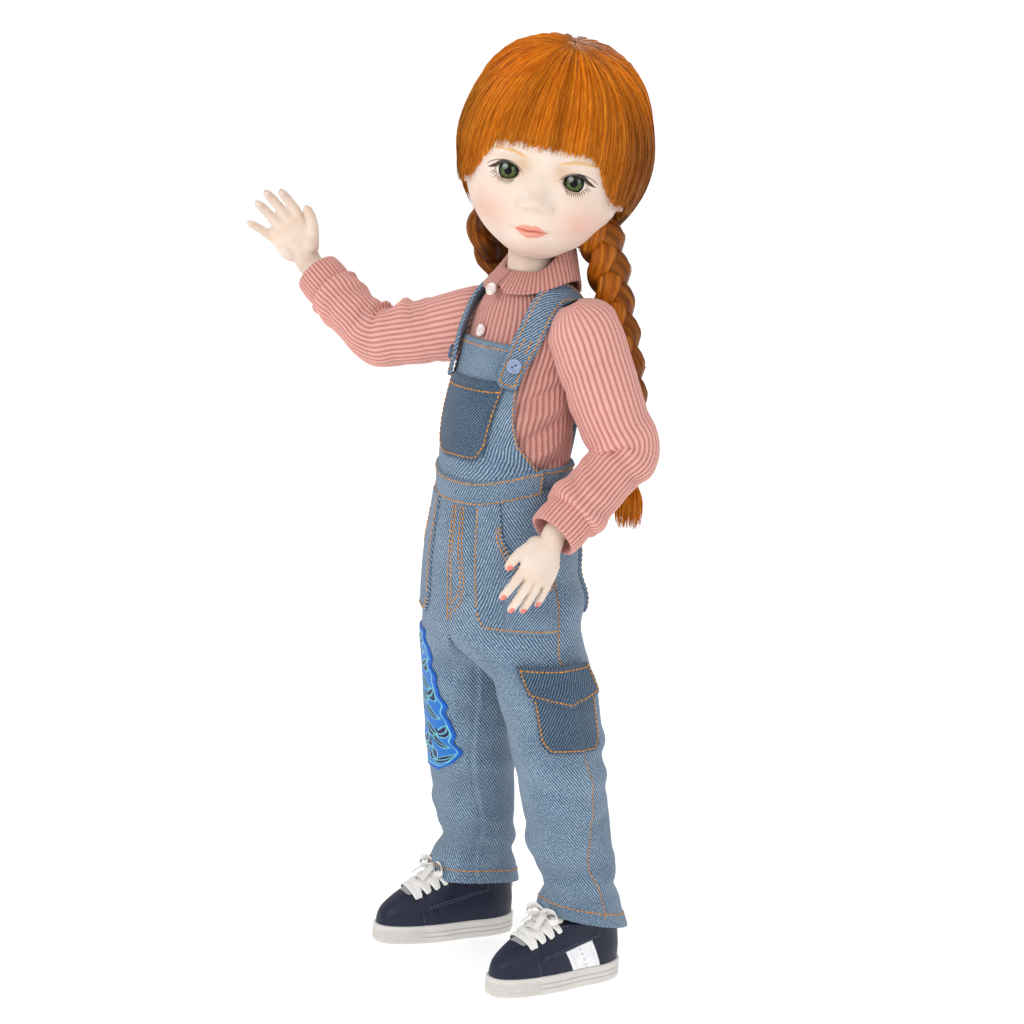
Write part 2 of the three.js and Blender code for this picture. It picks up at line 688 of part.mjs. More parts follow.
// Hand: wrist ball, palm, four fingers and a thumb, joined into one casting.
function buildHand(wrist, elbow, upper, side) {
  const pose = ARM_POSE[side];
  doll.updateWorldMatrix(true, true);
  const armTurn = new THREE.Quaternion();
  elbow.getWorldQuaternion(armTurn);
  const aimed = new THREE.Group();
  aim(aimed, pose.hand, pose.palm);
  wrist.quaternion.copy(armTurn.invert().multiply(aimed.quaternion));

  const thumbSide = side === "right" ? -1 : 1;
  const palmRows = [
    [-4, 4, 3.2],
    [-8, 6.6, 3.6],
    [-13, 8.4, 3.4],
    [-17.5, 8.2, 2.8],
  ];
  let hand = toSolid(loft(palmRows.map(([z, w, d]) => ovalRing(0, 0, z, w, d, d, 8, 2.5))));
  hand = hand.add(ballSolid(WRIST_BALL, vec(0, 0, 0), 8, 6));
  hand = hand.add(toSolid(barGeometry(vec(0, 0, 0), vec(0, 0, -7), 3.6, 4, 6)));
  const lengths = [13.2, 16, 17.2, 15];
  lengths.forEach((length, i) => {
    const lean = thumbSide * (-0.1 + i * 0.07);
    const knuckle = vec(thumbSide * (-6 + i * 4), 0, -15);
    const middle = knuckle.clone().add(vec(lean * length * 0.5, -1.2, -length * 0.6));
    const tip = knuckle.clone().add(vec(lean * length, -3.4, -length - 1.5));
    hand = hand.add(fingerSolid([knuckle, middle, tip], 2, 1.45));
  });
  const thumb = [vec(thumbSide * 5, -1, -7), vec(thumbSide * 9.6, -2.6, -13), vec(thumbSide * 11, -3.4, -20)];
  hand = hand.add(fingerSolid(thumb, 2.3, 1.3));
  add(wrist, `${side}_hand`, toGeometry(hand), SKIN);
}

// Finger: one tapering bar with a rounded tip.
function fingerSolid(points, thick, thin) {
  const radiusAt = (t) => (t > 0.95 ? 0.5 * thin : thick + (thin - thick) * t);
  const curve = new THREE.CatmullRomCurve3(points, false, "centripetal");
  return toSolid(loft(ringsAlong(curve, [0, 0.55, 0.93, 1], radiusAt, 5)));
}

// Head rows: height above the pivot, half width, reach of the face, reach of the back.
const HEAD_ROWS = [
  [1, 9, 12, 12],
  [4.5, 13.5, 22, 16],
  [9, 19.5, 28, 22],
  [16, 25.5, 31, 28],
  [25, 29.5, 32, 33],
  [36, 31.5, 32, 36],
  [48, 31.5, 32.5, 36.5],
  [60, 29.2, 30.5, 34],
  [69, 24.5, 25.5, 28.5],
  [75.4, 16.5, 17, 19],
  [78.4, 7, 7.5, 8],
];

function headForm(offset, low = 0) {
  const rows = HEAD_ROWS.filter((row) => row[0] >= low);
  const rings = rows.map(([z, w, front, back], i) => {
    const lift = i === rows.length - 1 ? Math.max(offset, -HEAD_WALL) : 0;
    return ovalRing(0, 0, z + lift, w + offset, front + offset, back + offset, 16, 2.15);
  });
  return toSolid(loft(rings));
}

function buildHead() {
  const neck = jointGroup(doll, "neck", neckPoint);
  const rise = HEAD_PIVOT.clone().sub(neckPoint);
  const topBall = NECK_RADIUS - 1.2;
  const rows = [-80, -50, -20, 12].map((lift) => [NECK_RADIUS * Math.sin(rad(lift)), NECK_RADIUS * Math.cos(rad(lift))]);
  [-5, 25, 55, 82].forEach((lift) => {
    rows.push([rise.length() + topBall * Math.sin(rad(lift)), topBall * Math.cos(rad(lift))]);
  });
  const line = rise.clone().normalize();
  const rings = rows.map(([up, r]) => ovalRing(line.x * up, line.y * up, line.z * up, r, r, r, 12));
  add(neck, "neck_post", loft(rings), SKIN);

  const head = jointGroup(doll, "head", HEAD_PIVOT);
  head.rotation.order = "ZYX";
  head.rotation.set(rad(HEAD_NOD), rad(HEAD_ROLL), rad(HEAD_TURN));

  const socket = ballSolid(NECK_RADIUS - 1.2 + SOCKET);
  const neckRoom = toSolid(barGeometry(vec(0, 0, 2), vec(0, 0, -14), NECK_RADIUS, NECK_RADIUS + 6, 14));
  let shell = headForm(0).subtract(headForm(-HEAD_WALL, 9)).subtract(socket).subtract(neckRoom);
  SIDES.forEach((side) => {
    const opening = new THREE.SphereGeometry(1, 8, 6);
    opening.scale(6.4, 16, 4.1);
    opening.translate(sign(side) * EYE_HALF, EYE_Y - 10, EYE_Z);
    shell = shell.subtract(toSolid(opening));
    shell = shell.subtract(ballSolid(EYE_RADIUS + SOCKET, vec(sign(side) * EYE_HALF, EYE_Y, EYE_Z)));
  });
  const nose = new THREE.SphereGeometry(1, 8, 6);
  nose.scale(4, 4.5, 4);
  nose.translate(0, -31, 25);
  const far = 200;
  const split = 6;
  const front = shell
    .add(toSolid(nose).subtract(headForm(-HEAD_WALL, 9)))
    .intersect(boxSolid(vec(-far, -far, -far), vec(far, split, far)));
  const back = shell.intersect(boxSolid(vec(-far, split + 0.3, -far), vec(far, far, far)));
  add(head, "face_shell", toGeometry(front), SKIN);
  add(head, "skull_cap", toGeometry(back), SKIN);
  SIDES.forEach((side) => {
    const eye = new THREE.SphereGeometry(EYE_RADIUS, 12, 8);
    eye.translate(sign(side) * EYE_HALF, EYE_Y, EYE_Z);
    add(head, `${side}_eye`, eye, EYE);
  });

  // Wig: a thick cap of hair with the face left open below a straight fringe.
  const hairLow = 9;
  let wig = headForm(HAIR_THICK, hairLow).subtract(headForm(CLEAR));
  wig = wig.subtract(boxSolid(vec(-25.5, -80, -20), vec(25.5, -6, BANGS_Z)));
  wig = wig.subtract(boxSolid(vec(-80, -80, -20), vec(80, -14, 16)));
  add(head, "wig", toGeometry(wig), HAIR);
}

// Two braids that hang behind the shoulders, each with a band near its tip.
const BRAID_ROUTE = {
  right: [vec(-23, -8, 299), vec(-27, 6, 282), vec(-25, 26, 266), vec(-23, 34, 249), vec(-22, 36, 230), vec(-22, 36, 200)],
  left: [vec(20, 16, 297), vec(23, 23, 276), vec(27, 29, 257), vec(30, 33, 238), vec(28, 37.5, 216), vec(27, 38.5, 200)],
};

const BRAID_RADIUS = { right: 6, left: 7 };
const BRAID_TIP = 4;

function buildBraids() {
  doll.updateWorldMatrix(true, true);
  const head = doll.getObjectByName("joint_head");
  const wigForm = headForm(HAIR_THICK + CLEAR, 0);
  const rise = HIP_HEIGHT - 149;
  SIDES.forEach((side) => {
    const route = BRAID_ROUTE[side].map((p) => vec(p.x, p.y, p.z + rise));
    const thick = BRAID_RADIUS[side];
    const braidTube = roundTube(route, (t) => thick - (thick - BRAID_TIP) * t, 14, 10);
    const cut = toGeometry(wigForm);
    cut.applyMatrix4(head.matrixWorld);
    const braid = toSolid(braidTube).subtract(toSolid(cut));
    add(doll, `${side}_braid`, toGeometry(braid), HAIR);
    const end = route[route.length - 1];
    const before = route[route.length - 2];
    const down = end.clone().sub(before).normalize();
    const tieFrom = end.clone().addScaledVector(down, CLEAR);
    const tieTo = end.clone().addScaledVector(down, 3.6);
    add(doll, `${side}_braid_tie`, barGeometry(tieFrom, tieTo, 3.6, 3.6, 12), HAIR_TIE);
  });
}

function buildShirt() {
  const low = WAIST_Z + 2;
  const high = NECK_Z - 0.5;
  const outer = torsoForm(SHIRT_OUT, low, high);
  const inner = torsoForm(SHIRT_IN, low, high);
  let shirt = toSolid(walledTube(outer, inner));
  SIDES.forEach((side) => {
    shirt = shirt.subtract(ballSolid(SHOULDER_BALL + 4, shoulderPoint[side], 12, 8));
    shirt = shirt.subtract(armRoom(side, 9.6));
  });
  shirt = shirt.subtract(ballSolid(NECK_RADIUS + 2, neckPoint));
  add(doll, "shirt_body", toGeometry(shirt), KNIT);

  const collarRows = [SHOULDER_Z + 5, SHOULDER_Z + 8, NECK_Z];
  const collarOuter = collarRows.map((z) => torsoRing(z, COLLAR_OUT));
  const collarInner = collarRows.map((z) => torsoRing(z, COLLAR_IN));
  const stand = NECK_Z + 10;
  collarOuter.push(ovalRing(0, NECK_Y + 1, stand, 15.8, 15.8, 15.8, TORSO_SIDES));
  collarInner.push(ovalRing(0, NECK_Y + 1, stand, 14, 14, 14, TORSO_SIDES));
  let collar = toSolid(walledTube(collarOuter, collarInner));
  const gap = new THREE.CylinderGeometry(4.5, 4.5, 60, 3);
  gap.scale(1, 1, 3);
  gap.rotateX(Math.PI);
  gap.rotateX(Math.PI / 2);
  gap.translate(0, -28, SHOULDER_Z + 6);
  collar = collar.subtract(toSolid(gap));
  SIDES.forEach((side) => {
    collar = collar.subtract(ballSolid(16, shoulderPoint[side]));
  });
  add(doll, "shirt_collar", toGeometry(collar), KNIT);

  const buttonHeights = { upper: SHOULDER_Z + 8, lower: SHOULDER_Z - 1 };
  Object.entries(buttonHeights).forEach(([place, z]) => {
    add(doll, `shirt_button_${place}`, buttonOn(z, 0, SHIRT_OUT + CLEAR, 2, 1.1), BUTTON_CLEAR);
  });
}

// Round button lying on a layer of the torso.
function buttonOn(z, degrees, offset, radius, thick) {
  const low = torsoPoint(z - 2, degrees, offset);
  const high = torsoPoint(z + 2, degrees, offset);
  const side = torsoPoint(z, degrees + 3, offset).sub(torsoPoint(z, degrees - 3, offset));
  const normal = side.cross(high.sub(low)).normalize();
  const foot = torsoPoint(z, degrees, offset).addScaledVector(normal, 0.25);
  return barGeometry(foot, foot.clone().addScaledVector(normal, thick), radius, radius, 12);
}

// Overalls rows below the waistband: height, half width, half depth, centre in Y.
const SEAT_TOP = WAIST_Z - 3;
const LEG_TOP = HIP_HEIGHT - 9;
const SEAT_ROWS = [
  [LEG_TOP + CLEAR, 36.5, 26.5, -2],
  [HIP_HEIGHT + 3, 36, 27, -2],
  [HIP_HEIGHT + 18, 33, 26, -3.6],
  [SEAT_TOP, 28.6, 24, -4.2],
];
// Trouser leg rows: height above the floor, half width, half depth.
const HEM_Z = 27;
const TROUSER_ROWS = [
  [HEM_Z, 15.4, 16],
  [50, 16, 16.8],
  [70, 16.8, 18],
  [92, 18, 19.4],
  [115, 18.4, 20.6],
  [LEG_TOP, 18, 22.4],
];

// The legs sit towards the front of their trousers.
const TROUSER_BACK = 1.8;
function trouserCentre(side, z) {
  const reach = (z - hipPoint[side].z) / legLine[side].z;
  return hipPoint[side].clone().addScaledVector(legLine[side], reach).add(vec(0, TROUSER_BACK, 0));
}

// Slack above the hem, creases slanting round the knee and a soft break under the seat.
const TROUSER_FOLD = 1;
function trouserFold(side, z, angle) {
  const s = sign(side);
  const hem = hump(z, HEM_Z + 13, 16) * Math.sin(0.42 * (z - HEM_Z) + 1.4 * Math.sin(angle + s));
  const knee = hump(z, ANKLE_HEIGHT + SHIN_LENGTH, 22) * (0.6 - 0.4 * Math.cos(angle));
  const slant = Math.sin(0.4 * (z - ANKLE_HEIGHT) + 1.8 * s * Math.sin(angle));
  const under = hump(z, LEG_TOP - 10, 10) * (0.5 - 0.5 * Math.cos(angle)) * Math.sin(0.5 * (z - LEG_TOP));
  return TROUSER_FOLD * (0.9 * hem + 0.8 * knee * slant + 0.7 * under);
}

// Point on a trouser leg; angle 0 is straight ahead and positive turns to the doll's left.
function trouserPoint(side, z, degrees, offset) {
  const [, a, b] = rowAt(TROUSER_ROWS, z);
  const centre = trouserCentre(side, z);
  const angle = rad(degrees);
  const out = offset + trouserFold(side, z, angle);
  return vec(centre.x + (a + out) * Math.sin(angle), centre.y - (b + out) * Math.cos(angle), z);
}

function frontOfSeat(x, z, offset) {
  const [, a, b, cy] = rowAt(SEAT_ROWS, z);
  const across = Math.min(0.99, Math.abs(x) / (a + offset));
  return cy - (b + offset) * Math.sqrt(1 - across * across);
}

// Front of a trouser leg, carried straight up past its top edge.
function frontOfLeg(side, x, z, offset) {
  const [, a, b] = rowAt(TROUSER_ROWS, z);
  const middle = trouserCentre(side, z);
  const across = Math.min(0.99, Math.abs(x - middle.x) / (a + offset));
  return middle.y - (b + offset) * Math.sqrt(1 - across * across);
}

function buildOveralls() {
  const bandRows = [SEAT_TOP + CLEAR, WAIST_Z + 1, WAIST_Z + 6];
  const bandOuter = bandRows.map((z) => torsoRing(z, BIB_OUT + 0.6));
  const bandInner = bandRows.map((z) => torsoRing(z, BIB_IN));
  add(doll, "overalls_waistband", walledTube(bandOuter, bandInner), DENIM);

  const seatOuter = SEAT_ROWS.map(([z, a, b, cy]) => ovalRing(0, cy, z, a, b, b, 24));
  const seatInner = SEAT_ROWS.map(([z, a, b, cy]) => {
    return ovalRing(0, cy, z, a - CLOTH_WALL, b - CLOTH_WALL, b - CLOTH_WALL, 24);
  });
  add(doll, "overalls_seat", walledTube(seatOuter, seatInner), DENIM);

  const bibLow = WAIST_Z + 6 + CLEAR;
  const bibHigh = HIP_HEIGHT + 101;
  const bibSpan = (v) => 58 - 26 * Math.min(1, 1.5 * v);
  const bibFace = (offset) => (u, v) => {
    const z = bibLow + (bibHigh - bibLow) * v;
    return torsoPoint(z, (2 * u - 1) * bibSpan(v), offset);
  };
  add(doll, "overalls_bib", slab(bibFace(BIB_OUT), bibFace(BIB_IN), 8, 7), DENIM);

  const pocketFace = (offset) => (u, v) => {
    const z = bibLow + 8 + 26 * v;
    const narrow = v < 0.3 ? 18 + 8 * (v / 0.3) : 26;
    return torsoPoint(z, (2 * u - 1) * narrow, offset);
  };
  add(doll, "bib_pocket", slab(pocketFace(BIB_OUT + 1.7), pocketFace(BIB_OUT + 0.5), 6, 5), DARK_DENIM);

  SIDES.forEach((side) => {
    buildStrap(side, bibHigh);
    buildTrouserLeg(side);
  });
  buildCargoPocket();

  const patchFace = (offset) => (u, v) => trouserPoint("right", LEG_TOP - 64 + 46 * v, -42 + 54 * (u - 0.5), offset);
  add(doll, "leg_patch", slab(patchFace(1.4), patchFace(0.5), 4, 5), PATCH);
}

function buildStrap(side, bibHigh) {
  const s = sign(side);
  const station = (z, degrees, offset) => torsoPoint(z, s * degrees, offset);
  const low = BIB_IN;
  const shoulderTop = NECK_Z - 2;
  const route = [
    station(bibHigh - 13, 26, STRAP_OVER_BIB),
    station(bibHigh - 6, 27, STRAP_OVER_BIB),
    station(bibHigh + 2, 30, STRAP_OVER_BIB),
    station(SHOULDER_Z, 40, low + 1),
    station(SHOULDER_Z + 6, 58, low),
    station(shoulderTop, 90, low - 0.5),
    station(SHOULDER_Z + 6, 125, low),
    station(SHOULDER_Z - 6, 146, low + 0.2),
    station(HIP_HEIGHT + 74, 158, low + 0.2),
    station(WAIST_Z + 17, 164, low + 0.4),
    station(WAIST_Z + 7.6, 168, low + 0.6),
  ];
  const curve = new THREE.CatmullRomCurve3(route, false, "centripetal");
  const half = 3.6;
  const steps = 20;
  const face = (lift) => (u, v) => {
    const spot = curve.getPointAt(v);
    const along = curve.getTangentAt(v);
    const [, , , cy] = rowAt(TORSO_ROWS, spot.z);
    const outward = spot.clone().sub(vec(0, cy, Math.min(spot.z, SHOULDER_Z - 4))).normalize();
    const across = along.clone().cross(outward).normalize();
    const normal = across.clone().cross(along).normalize();
    return spot.clone().addScaledVector(across, (2 * u - 1) * half).addScaledVector(normal, lift);
  };
  let strap = toSolid(slab(face(STRAP_THICK), face(0), 1, steps));
  const keepOut = toSolid(loft(torsoForm(SHIRT_OUT + CLEAR)));
  strap = strap.subtract(keepOut).subtract(ballSolid(15, shoulderPoint[side]));
  add(doll, `${side}_strap`, toGeometry(strap), DENIM);
  const buttonBase = STRAP_OVER_BIB + STRAP_THICK + 0.7;
  add(doll, `${side}_strap_button`, buttonOn(bibHigh - 5, s * 26.9, buttonBase, 2.6, 1.4), BUTTON_BLUE);
}

function buildTrouserLeg(side) {
  const heights = spaced(HEM_Z, LEG_TOP, 16);
  const around = spaced(0, 340, 18);
  const ringAt = (z, offset) => around.map((degrees) => trouserPoint(side, z, degrees, offset));
  const outer = heights.map((z) => ringAt(z, 0));
  const inner = heights.map((z) => ringAt(z, -CLOTH_WALL));
  add(doll, `${side}_trouser_leg`, walledTube(outer, inner), DENIM);

  const s = sign(side);
  const pocketLow = LEG_TOP + 4;
  const pocketHigh = SEAT_TOP - 2;
  const frontFace = (offset) => (u, v) => {
    const z = pocketLow + (pocketHigh - pocketLow) * v;
    const outerX = v < 0.62 ? 27 : 27 - 14 * ((v - 0.62) / 0.38);
    const x = 5 + (outerX - 5) * u;
    const seatFront = frontOfSeat(x, Math.max(z, LEG_TOP), offset);
    const legFront = z < LEG_TOP + 8 ? frontOfLeg(side, s * x, z, offset) : 0;
    return vec(s * x, Math.min(seatFront, legFront), z);
  };
  add(doll, `${side}_front_pocket`, slab(frontFace(1.8), frontFace(0.6), 5, 6), DENIM);

  const backFace = (offset) => (u, v) => {
    const z = HIP_HEIGHT - 2 + 26 * v;
    const [, a, b, cy] = rowAt(SEAT_ROWS, z);
    const angle = rad(172 - 38 * u);
    return vec(s * (a + offset) * Math.sin(angle), cy - (b + offset) * Math.cos(angle), z);
  };
  add(doll, `${side}_back_pocket`, slab(backFace(1.8), backFace(0.6), 4, 3), DARK_DENIM);
}

// Patch pocket with a buttonless flap, on the outside of the left thigh.
function buildCargoPocket() {
  const middle = 62;
  const bodyFace = (offset) => (u, v) => trouserPoint("left", LEG_TOP - 44 + 29 * v, middle + 64 * (u - 0.5), offset);
  add(doll, "cargo_pocket", slab(bodyFace(2.6), bodyFace(0.5), 6, 3), DARK_DENIM);
  const flapFace = (offset) => (u, v) => {
    const point = 7 * (1 - Math.abs(2 * u - 1)) * (1 - v);
    return trouserPoint("left", LEG_TOP - 19 - point + (13 + point) * v, middle + 70 * (u - 0.5), offset);
  };
  const hinge = jointGroup(doll, "cargo_flap", trouserPoint("left", LEG_TOP - 6, middle, 3.1));
  hinge.rotation.z = rad(middle);
  hinge.updateMatrixWorld(true);
  const flap = slab(flapFace(4.4), flapFace(3.1), 6, 2);
  flap.applyMatrix4(hinge.matrixWorld.clone().invert());
  add(hinge, "cargo_flap", flap, DARK_DENIM);
}

buildTorso();
buildLegs();
buildArms();
buildHead();
buildBraids();
buildShirt();
buildOveralls();

// Set the whole doll on the floor with its bounding box centred on the origin.
doll.updateMatrixWorld(true);
const bounds = new THREE.Box3().setFromObject(doll, true);
const centre = bounds.getCenter(vec(0, 0, 0));
doll.position.set(-centre.x, -centre.y, -bounds.min.z);
doll.updateMatrixWorld(true);

export default doll;
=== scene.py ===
import json
import math

import bpy
import numpy as np
from mathutils import Matrix


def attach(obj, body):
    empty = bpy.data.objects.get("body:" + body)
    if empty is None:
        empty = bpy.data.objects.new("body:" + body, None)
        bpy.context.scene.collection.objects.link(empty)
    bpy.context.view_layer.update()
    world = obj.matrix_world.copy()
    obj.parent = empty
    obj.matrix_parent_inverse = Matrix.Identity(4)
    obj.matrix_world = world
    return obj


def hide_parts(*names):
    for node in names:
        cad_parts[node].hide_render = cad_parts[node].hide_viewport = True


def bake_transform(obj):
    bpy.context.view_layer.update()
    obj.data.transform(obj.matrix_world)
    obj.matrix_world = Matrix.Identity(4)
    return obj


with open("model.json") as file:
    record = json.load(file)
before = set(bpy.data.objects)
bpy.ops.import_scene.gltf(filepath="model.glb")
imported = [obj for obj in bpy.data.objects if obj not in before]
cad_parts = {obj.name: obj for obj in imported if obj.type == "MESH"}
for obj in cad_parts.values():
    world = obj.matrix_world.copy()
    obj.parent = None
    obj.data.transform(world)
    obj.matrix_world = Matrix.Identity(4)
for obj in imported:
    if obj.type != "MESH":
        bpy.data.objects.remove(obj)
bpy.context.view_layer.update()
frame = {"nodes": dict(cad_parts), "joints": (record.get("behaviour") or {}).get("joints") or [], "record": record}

# Lengths are millimetres in the doll's own frame: it stands on z = 0, x = 0 is its middle and it faces -y.
HIP_HALF = 18.5
HIP_Y = -3.0
ANKLE_HEIGHT = 22.0
LEG_LENGTH = 130.0
SIDES = ("right", "left")
SIGN = {"right": -1.0, "left": 1.0}
rng = np.random.default_rng(7)


def vec(x, y, z):
    return np.array([x, y, z], float)


def unit(v):
    v = np.asarray(v, float)
    return v / np.linalg.norm(v, axis=-1, keepdims=True)


def run_along(path):
    """The length along a path at each of its points."""
    return np.concatenate([[0], np.cumsum(np.linalg.norm(np.diff(path, axis=0), axis=1))])


def sampled(place, run, table):
    """Rows of a table at given lengths along it."""
    return np.stack([np.interp(place, run, table[:, k]) for k in range(table.shape[1])], -1)


def full_turn(count):
    """Angles of evenly spaced points round a ring."""
    return np.linspace(0, 2 * np.pi, count, endpoint=False)


JOINTS = {entry["name"]: np.array(entry["pos_m"]) * 1000 for entry in frame["joints"]}
hip_now = JOINTS["right_hip_swing"]
SHIFT = hip_now - vec(-HIP_HALF, HIP_Y, hip_now[2])


def joint(name):
    """A joint's place in the doll's frame."""
    return JOINTS[name] - SHIFT


HIP = ANKLE_HEIGHT + LEG_LENGTH * math.cos(math.radians(10)) * math.cos(math.radians(6.5))
WAIST = HIP + 45
SHOULDER = HIP + 106
SEAT_TOP = WAIST - 3
LEG_TOP = HIP - 9
HEM = 27.0
BIB_HIGH = HIP + 103


def smooth(t):
    """A soft step from 0 to 1."""
    t = np.clip(t, 0, 1)
    return t * t * (3 - 2 * t)


def hump(value, middle, half):
    """A cosine hill, 1 at the middle and 0 from half its width on."""
    reach = np.minimum(1, np.abs(value - middle) / half)
    return 0.5 + 0.5 * np.cos(np.pi * reach)


def bell(value, middle, width):
    return np.exp(-(((value - middle) / width) ** 2))


def rows_at(rows, key):
    """Smooth values between the rows of a table whose first entry is the key."""
    rows = np.asarray(rows, float)
    x = rows[:, 0]
    y = rows[:, 1:]
    key = np.clip(np.asarray(key, float), x[0], x[-1])
    slope = np.gradient(y, x, axis=0)
    i = np.clip(np.searchsorted(x, key, side="right") - 1, 0, len(x) - 2)
    gap = x[i + 1] - x[i]
    t = ((key - x[i]) / gap)[..., None]
    gap = gap[..., None]
    ahead = (1 + 2 * t) * (1 - t) ** 2 * y[i] + t * (1 - t) ** 2 * gap * slope[i]
    behind = t * t * (3 - 2 * t) * y[i + 1] + t * t * (t - 1) * gap * slope[i + 1]
    out = ahead + behind
    return [out[..., k] for k in range(y.shape[1])]


def along(stations, count):
    """A smooth path through stations: count points at even spacing."""
    stations = np.asarray(stations, float)
    key = run_along(stations)
    table = np.column_stack([key, stations])
    dense = np.stack(rows_at(table, np.linspace(0, key[-1], count * 8)), -1)
    run = run_along(dense)
    return sampled(np.linspace(0, run[-1], count), run, dense)


def path_axes(path, hint):
    """Tangent, side and top directions along a path; the top keeps close to the hint."""
    ahead = unit(np.gradient(path, axis=0))
    hint = np.broadcast_to(np.asarray(hint, float), path.shape)
    top = unit(hint - np.sum(hint * ahead, -1, keepdims=True) * ahead)
    return ahead, np.cross(ahead, top), top


def carried_axes(path, first):
    """Tangent and two cross directions that turn as little as possible along a path."""
    ahead = unit(np.gradient(path, axis=0))
    tops = []
    top = np.asarray(first, float)
    for step in ahead:
        top = unit(top - np.dot(top, step) * step)
        tops.append(top)
    tops = np.array(tops)
    return ahead, np.cross(ahead, tops), tops


def tube(path, side, top, wide, high, around):
    """Rings of an oval along a path: an array of rows, columns and coordinates."""
    angle = full_turn(around)
    wide = np.broadcast_to(np.asarray(wide, float), (len(path),))[:, None, None]
    high = np.broadcast_to(np.asarray(high, float), (len(path),))[:, None, None]
    cos = np.cos(angle)[None, :, None]
    sin = np.sin(angle)[None, :, None]
    return path[:, None] + side[:, None] * cos * wide + top[:, None] * sin * high


def spread_uv(points, closed):
    """Flat coordinates in millimetres for a grid of points."""
    wrapped = np.concatenate([points, points[:, :1]], axis=1) if closed else points
    across = np.linalg.norm(np.diff(wrapped, axis=1), axis=-1).mean(axis=0)
    down = np.linalg.norm(np.diff(points, axis=0), axis=-1).mean(axis=1)
    u = np.concatenate([[0], np.cumsum(across)])
    v = np.concatenate([[0], np.cumsum(down)])
    return np.stack(np.broadcast_arrays(u[None, :], v[:, None]), -1)


class Cloth:
    """Collects grids of points into one mesh with flat coordinates and a tint per point."""

    def __init__(self):
        self.points = []
        self.faces = []
        self.flats = []
        self.tints = []
        self.normals = []
        self.size = 0

    def grid(self, points, closed=False, uv=None, tint=(1, 1, 1), flip=False, normals=None):
        self.grids(points[None], closed, None if uv is None else uv[None], tint, flip)
        if normals is not None:
            self.normals.append(normals.reshape(-1, 3))

    def grids(self, points, closed=False, uv=None, tint=(1, 1, 1), flip=False):
        """Adds many grids of the same size at once."""
        many, rows, cols = points.shape[:3]
        wide = cols if closed else cols - 1
        if uv is None:
            flat = spread_uv(points[0], closed)
            uv = np.broadcast_to(flat, (many,) + flat.shape)
        r = np.arange(rows - 1)[:, None] * cols
        c = np.arange(wide)[None, :]
        n = (c + 1) % cols
        quad = np.stack([r + c, r + n, r + cols + n, r + cols + c], -1).reshape(-1, 4)
        corner = np.stack([uv[:, :-1, :-1], uv[:, :-1, 1:], uv[:, 1:, 1:], uv[:, 1:, :-1]], 3)
        corner = corner.reshape(many, -1, 4, 2)
        if flip:
            quad = quad[:, ::-1]
            corner = corner[:, :, ::-1]
        starts = self.size + np.arange(many)[:, None, None] * rows * cols
        self.points.append(points.reshape(-1, 3))
        self.faces.append((quad[None] + starts).reshape(-1, 4))
        self.flats.append(corner.reshape(-1, 2))
        tint = np.asarray(tint, float)
        if tint.ndim == 2 and len(tint) == many:
            tint = tint[:, None, None, :]
        self.tints.append(np.broadcast_to(tint, points.shape).reshape(-1, 3))
        self.size += many * rows * cols

    def piece(self, name, look, slot):
        points = (np.concatenate(self.points) + SHIFT) / 1000
        faces = np.concatenate(self.faces)
        mesh = bpy.data.meshes.new(name)
        mesh.from_pydata(points.tolist(), [], faces.tolist())
        mesh.polygons.foreach_set("use_smooth", np.ones(len(faces), bool))
        layer = mesh.uv_layers.new(name="mm")
        layer.data.foreach_set("uv", np.concatenate(self.flats).astype(np.float32).ravel())
        tint = mesh.attributes.new("tint", "FLOAT_COLOR", "POINT")
        colour = np.concatenate([np.concatenate(self.tints), np.ones((len(points), 1))], 1)
        tint.data.foreach_set("color", colour.astype(np.float32).ravel())
        mesh.materials.append(look)
        if self.normals:
            mesh.normals_split_custom_set_from_vertices(np.concatenate(self.normals).tolist())
        made = bpy.data.objects.new(name, mesh)
        bpy.context.scene.collection.objects.link(made)
        return made


def one_grid(name, look, slot, *grid, **more):
    """A piece made of a single grid of points."""
    cloth = Cloth()
    cloth.grid(*grid, **more)
    return cloth.piece(name, look, slot)


def grid_normals(points, closed, flip=False):
    """Normals of a grid, so that two halves of one cloth shade as one."""
    if closed:
        wide = np.concatenate([points[:, -1:], points, points[:, :1]], axis=1)
        across = (wide[:, 2:] - wide[:, :-2]) / 2
    else:
        across = np.gradient(points, axis=1)
    normal = unit(np.cross(across, np.gradient(points, axis=0)) + 1e-12)
    return -normal if flip else normal


def slab(surface, across, up, low, high, soft=0.35):
    """A raised patch on a surface(u, v, offset): its top and its four rims, as one grid."""

    def spaced(count):
        return np.concatenate([[0, 0], np.linspace(0, 1, count)[1:-1], [1, 1]])

    u = spaced(across)
    v = spaced(up)
    rise_u = np.full(len(u), high)
    rise_v = np.full(len(v), high)
    for rise in (rise_u, rise_v):
        rise[[0, -1]] = low
        rise[[1, -2]] = high - soft
    offset = np.minimum(rise_u[None, :], rise_v[:, None])
    uu, vv = np.meshgrid(u, v)
    return surface(uu, vv, offset)


# How far before and after a stitch its line is looked at for its direction.
STITCH_LOOK = 0.4
# How far a stitch's middle lies over a single layer of cloth.
ON_CLOTH = 0.05


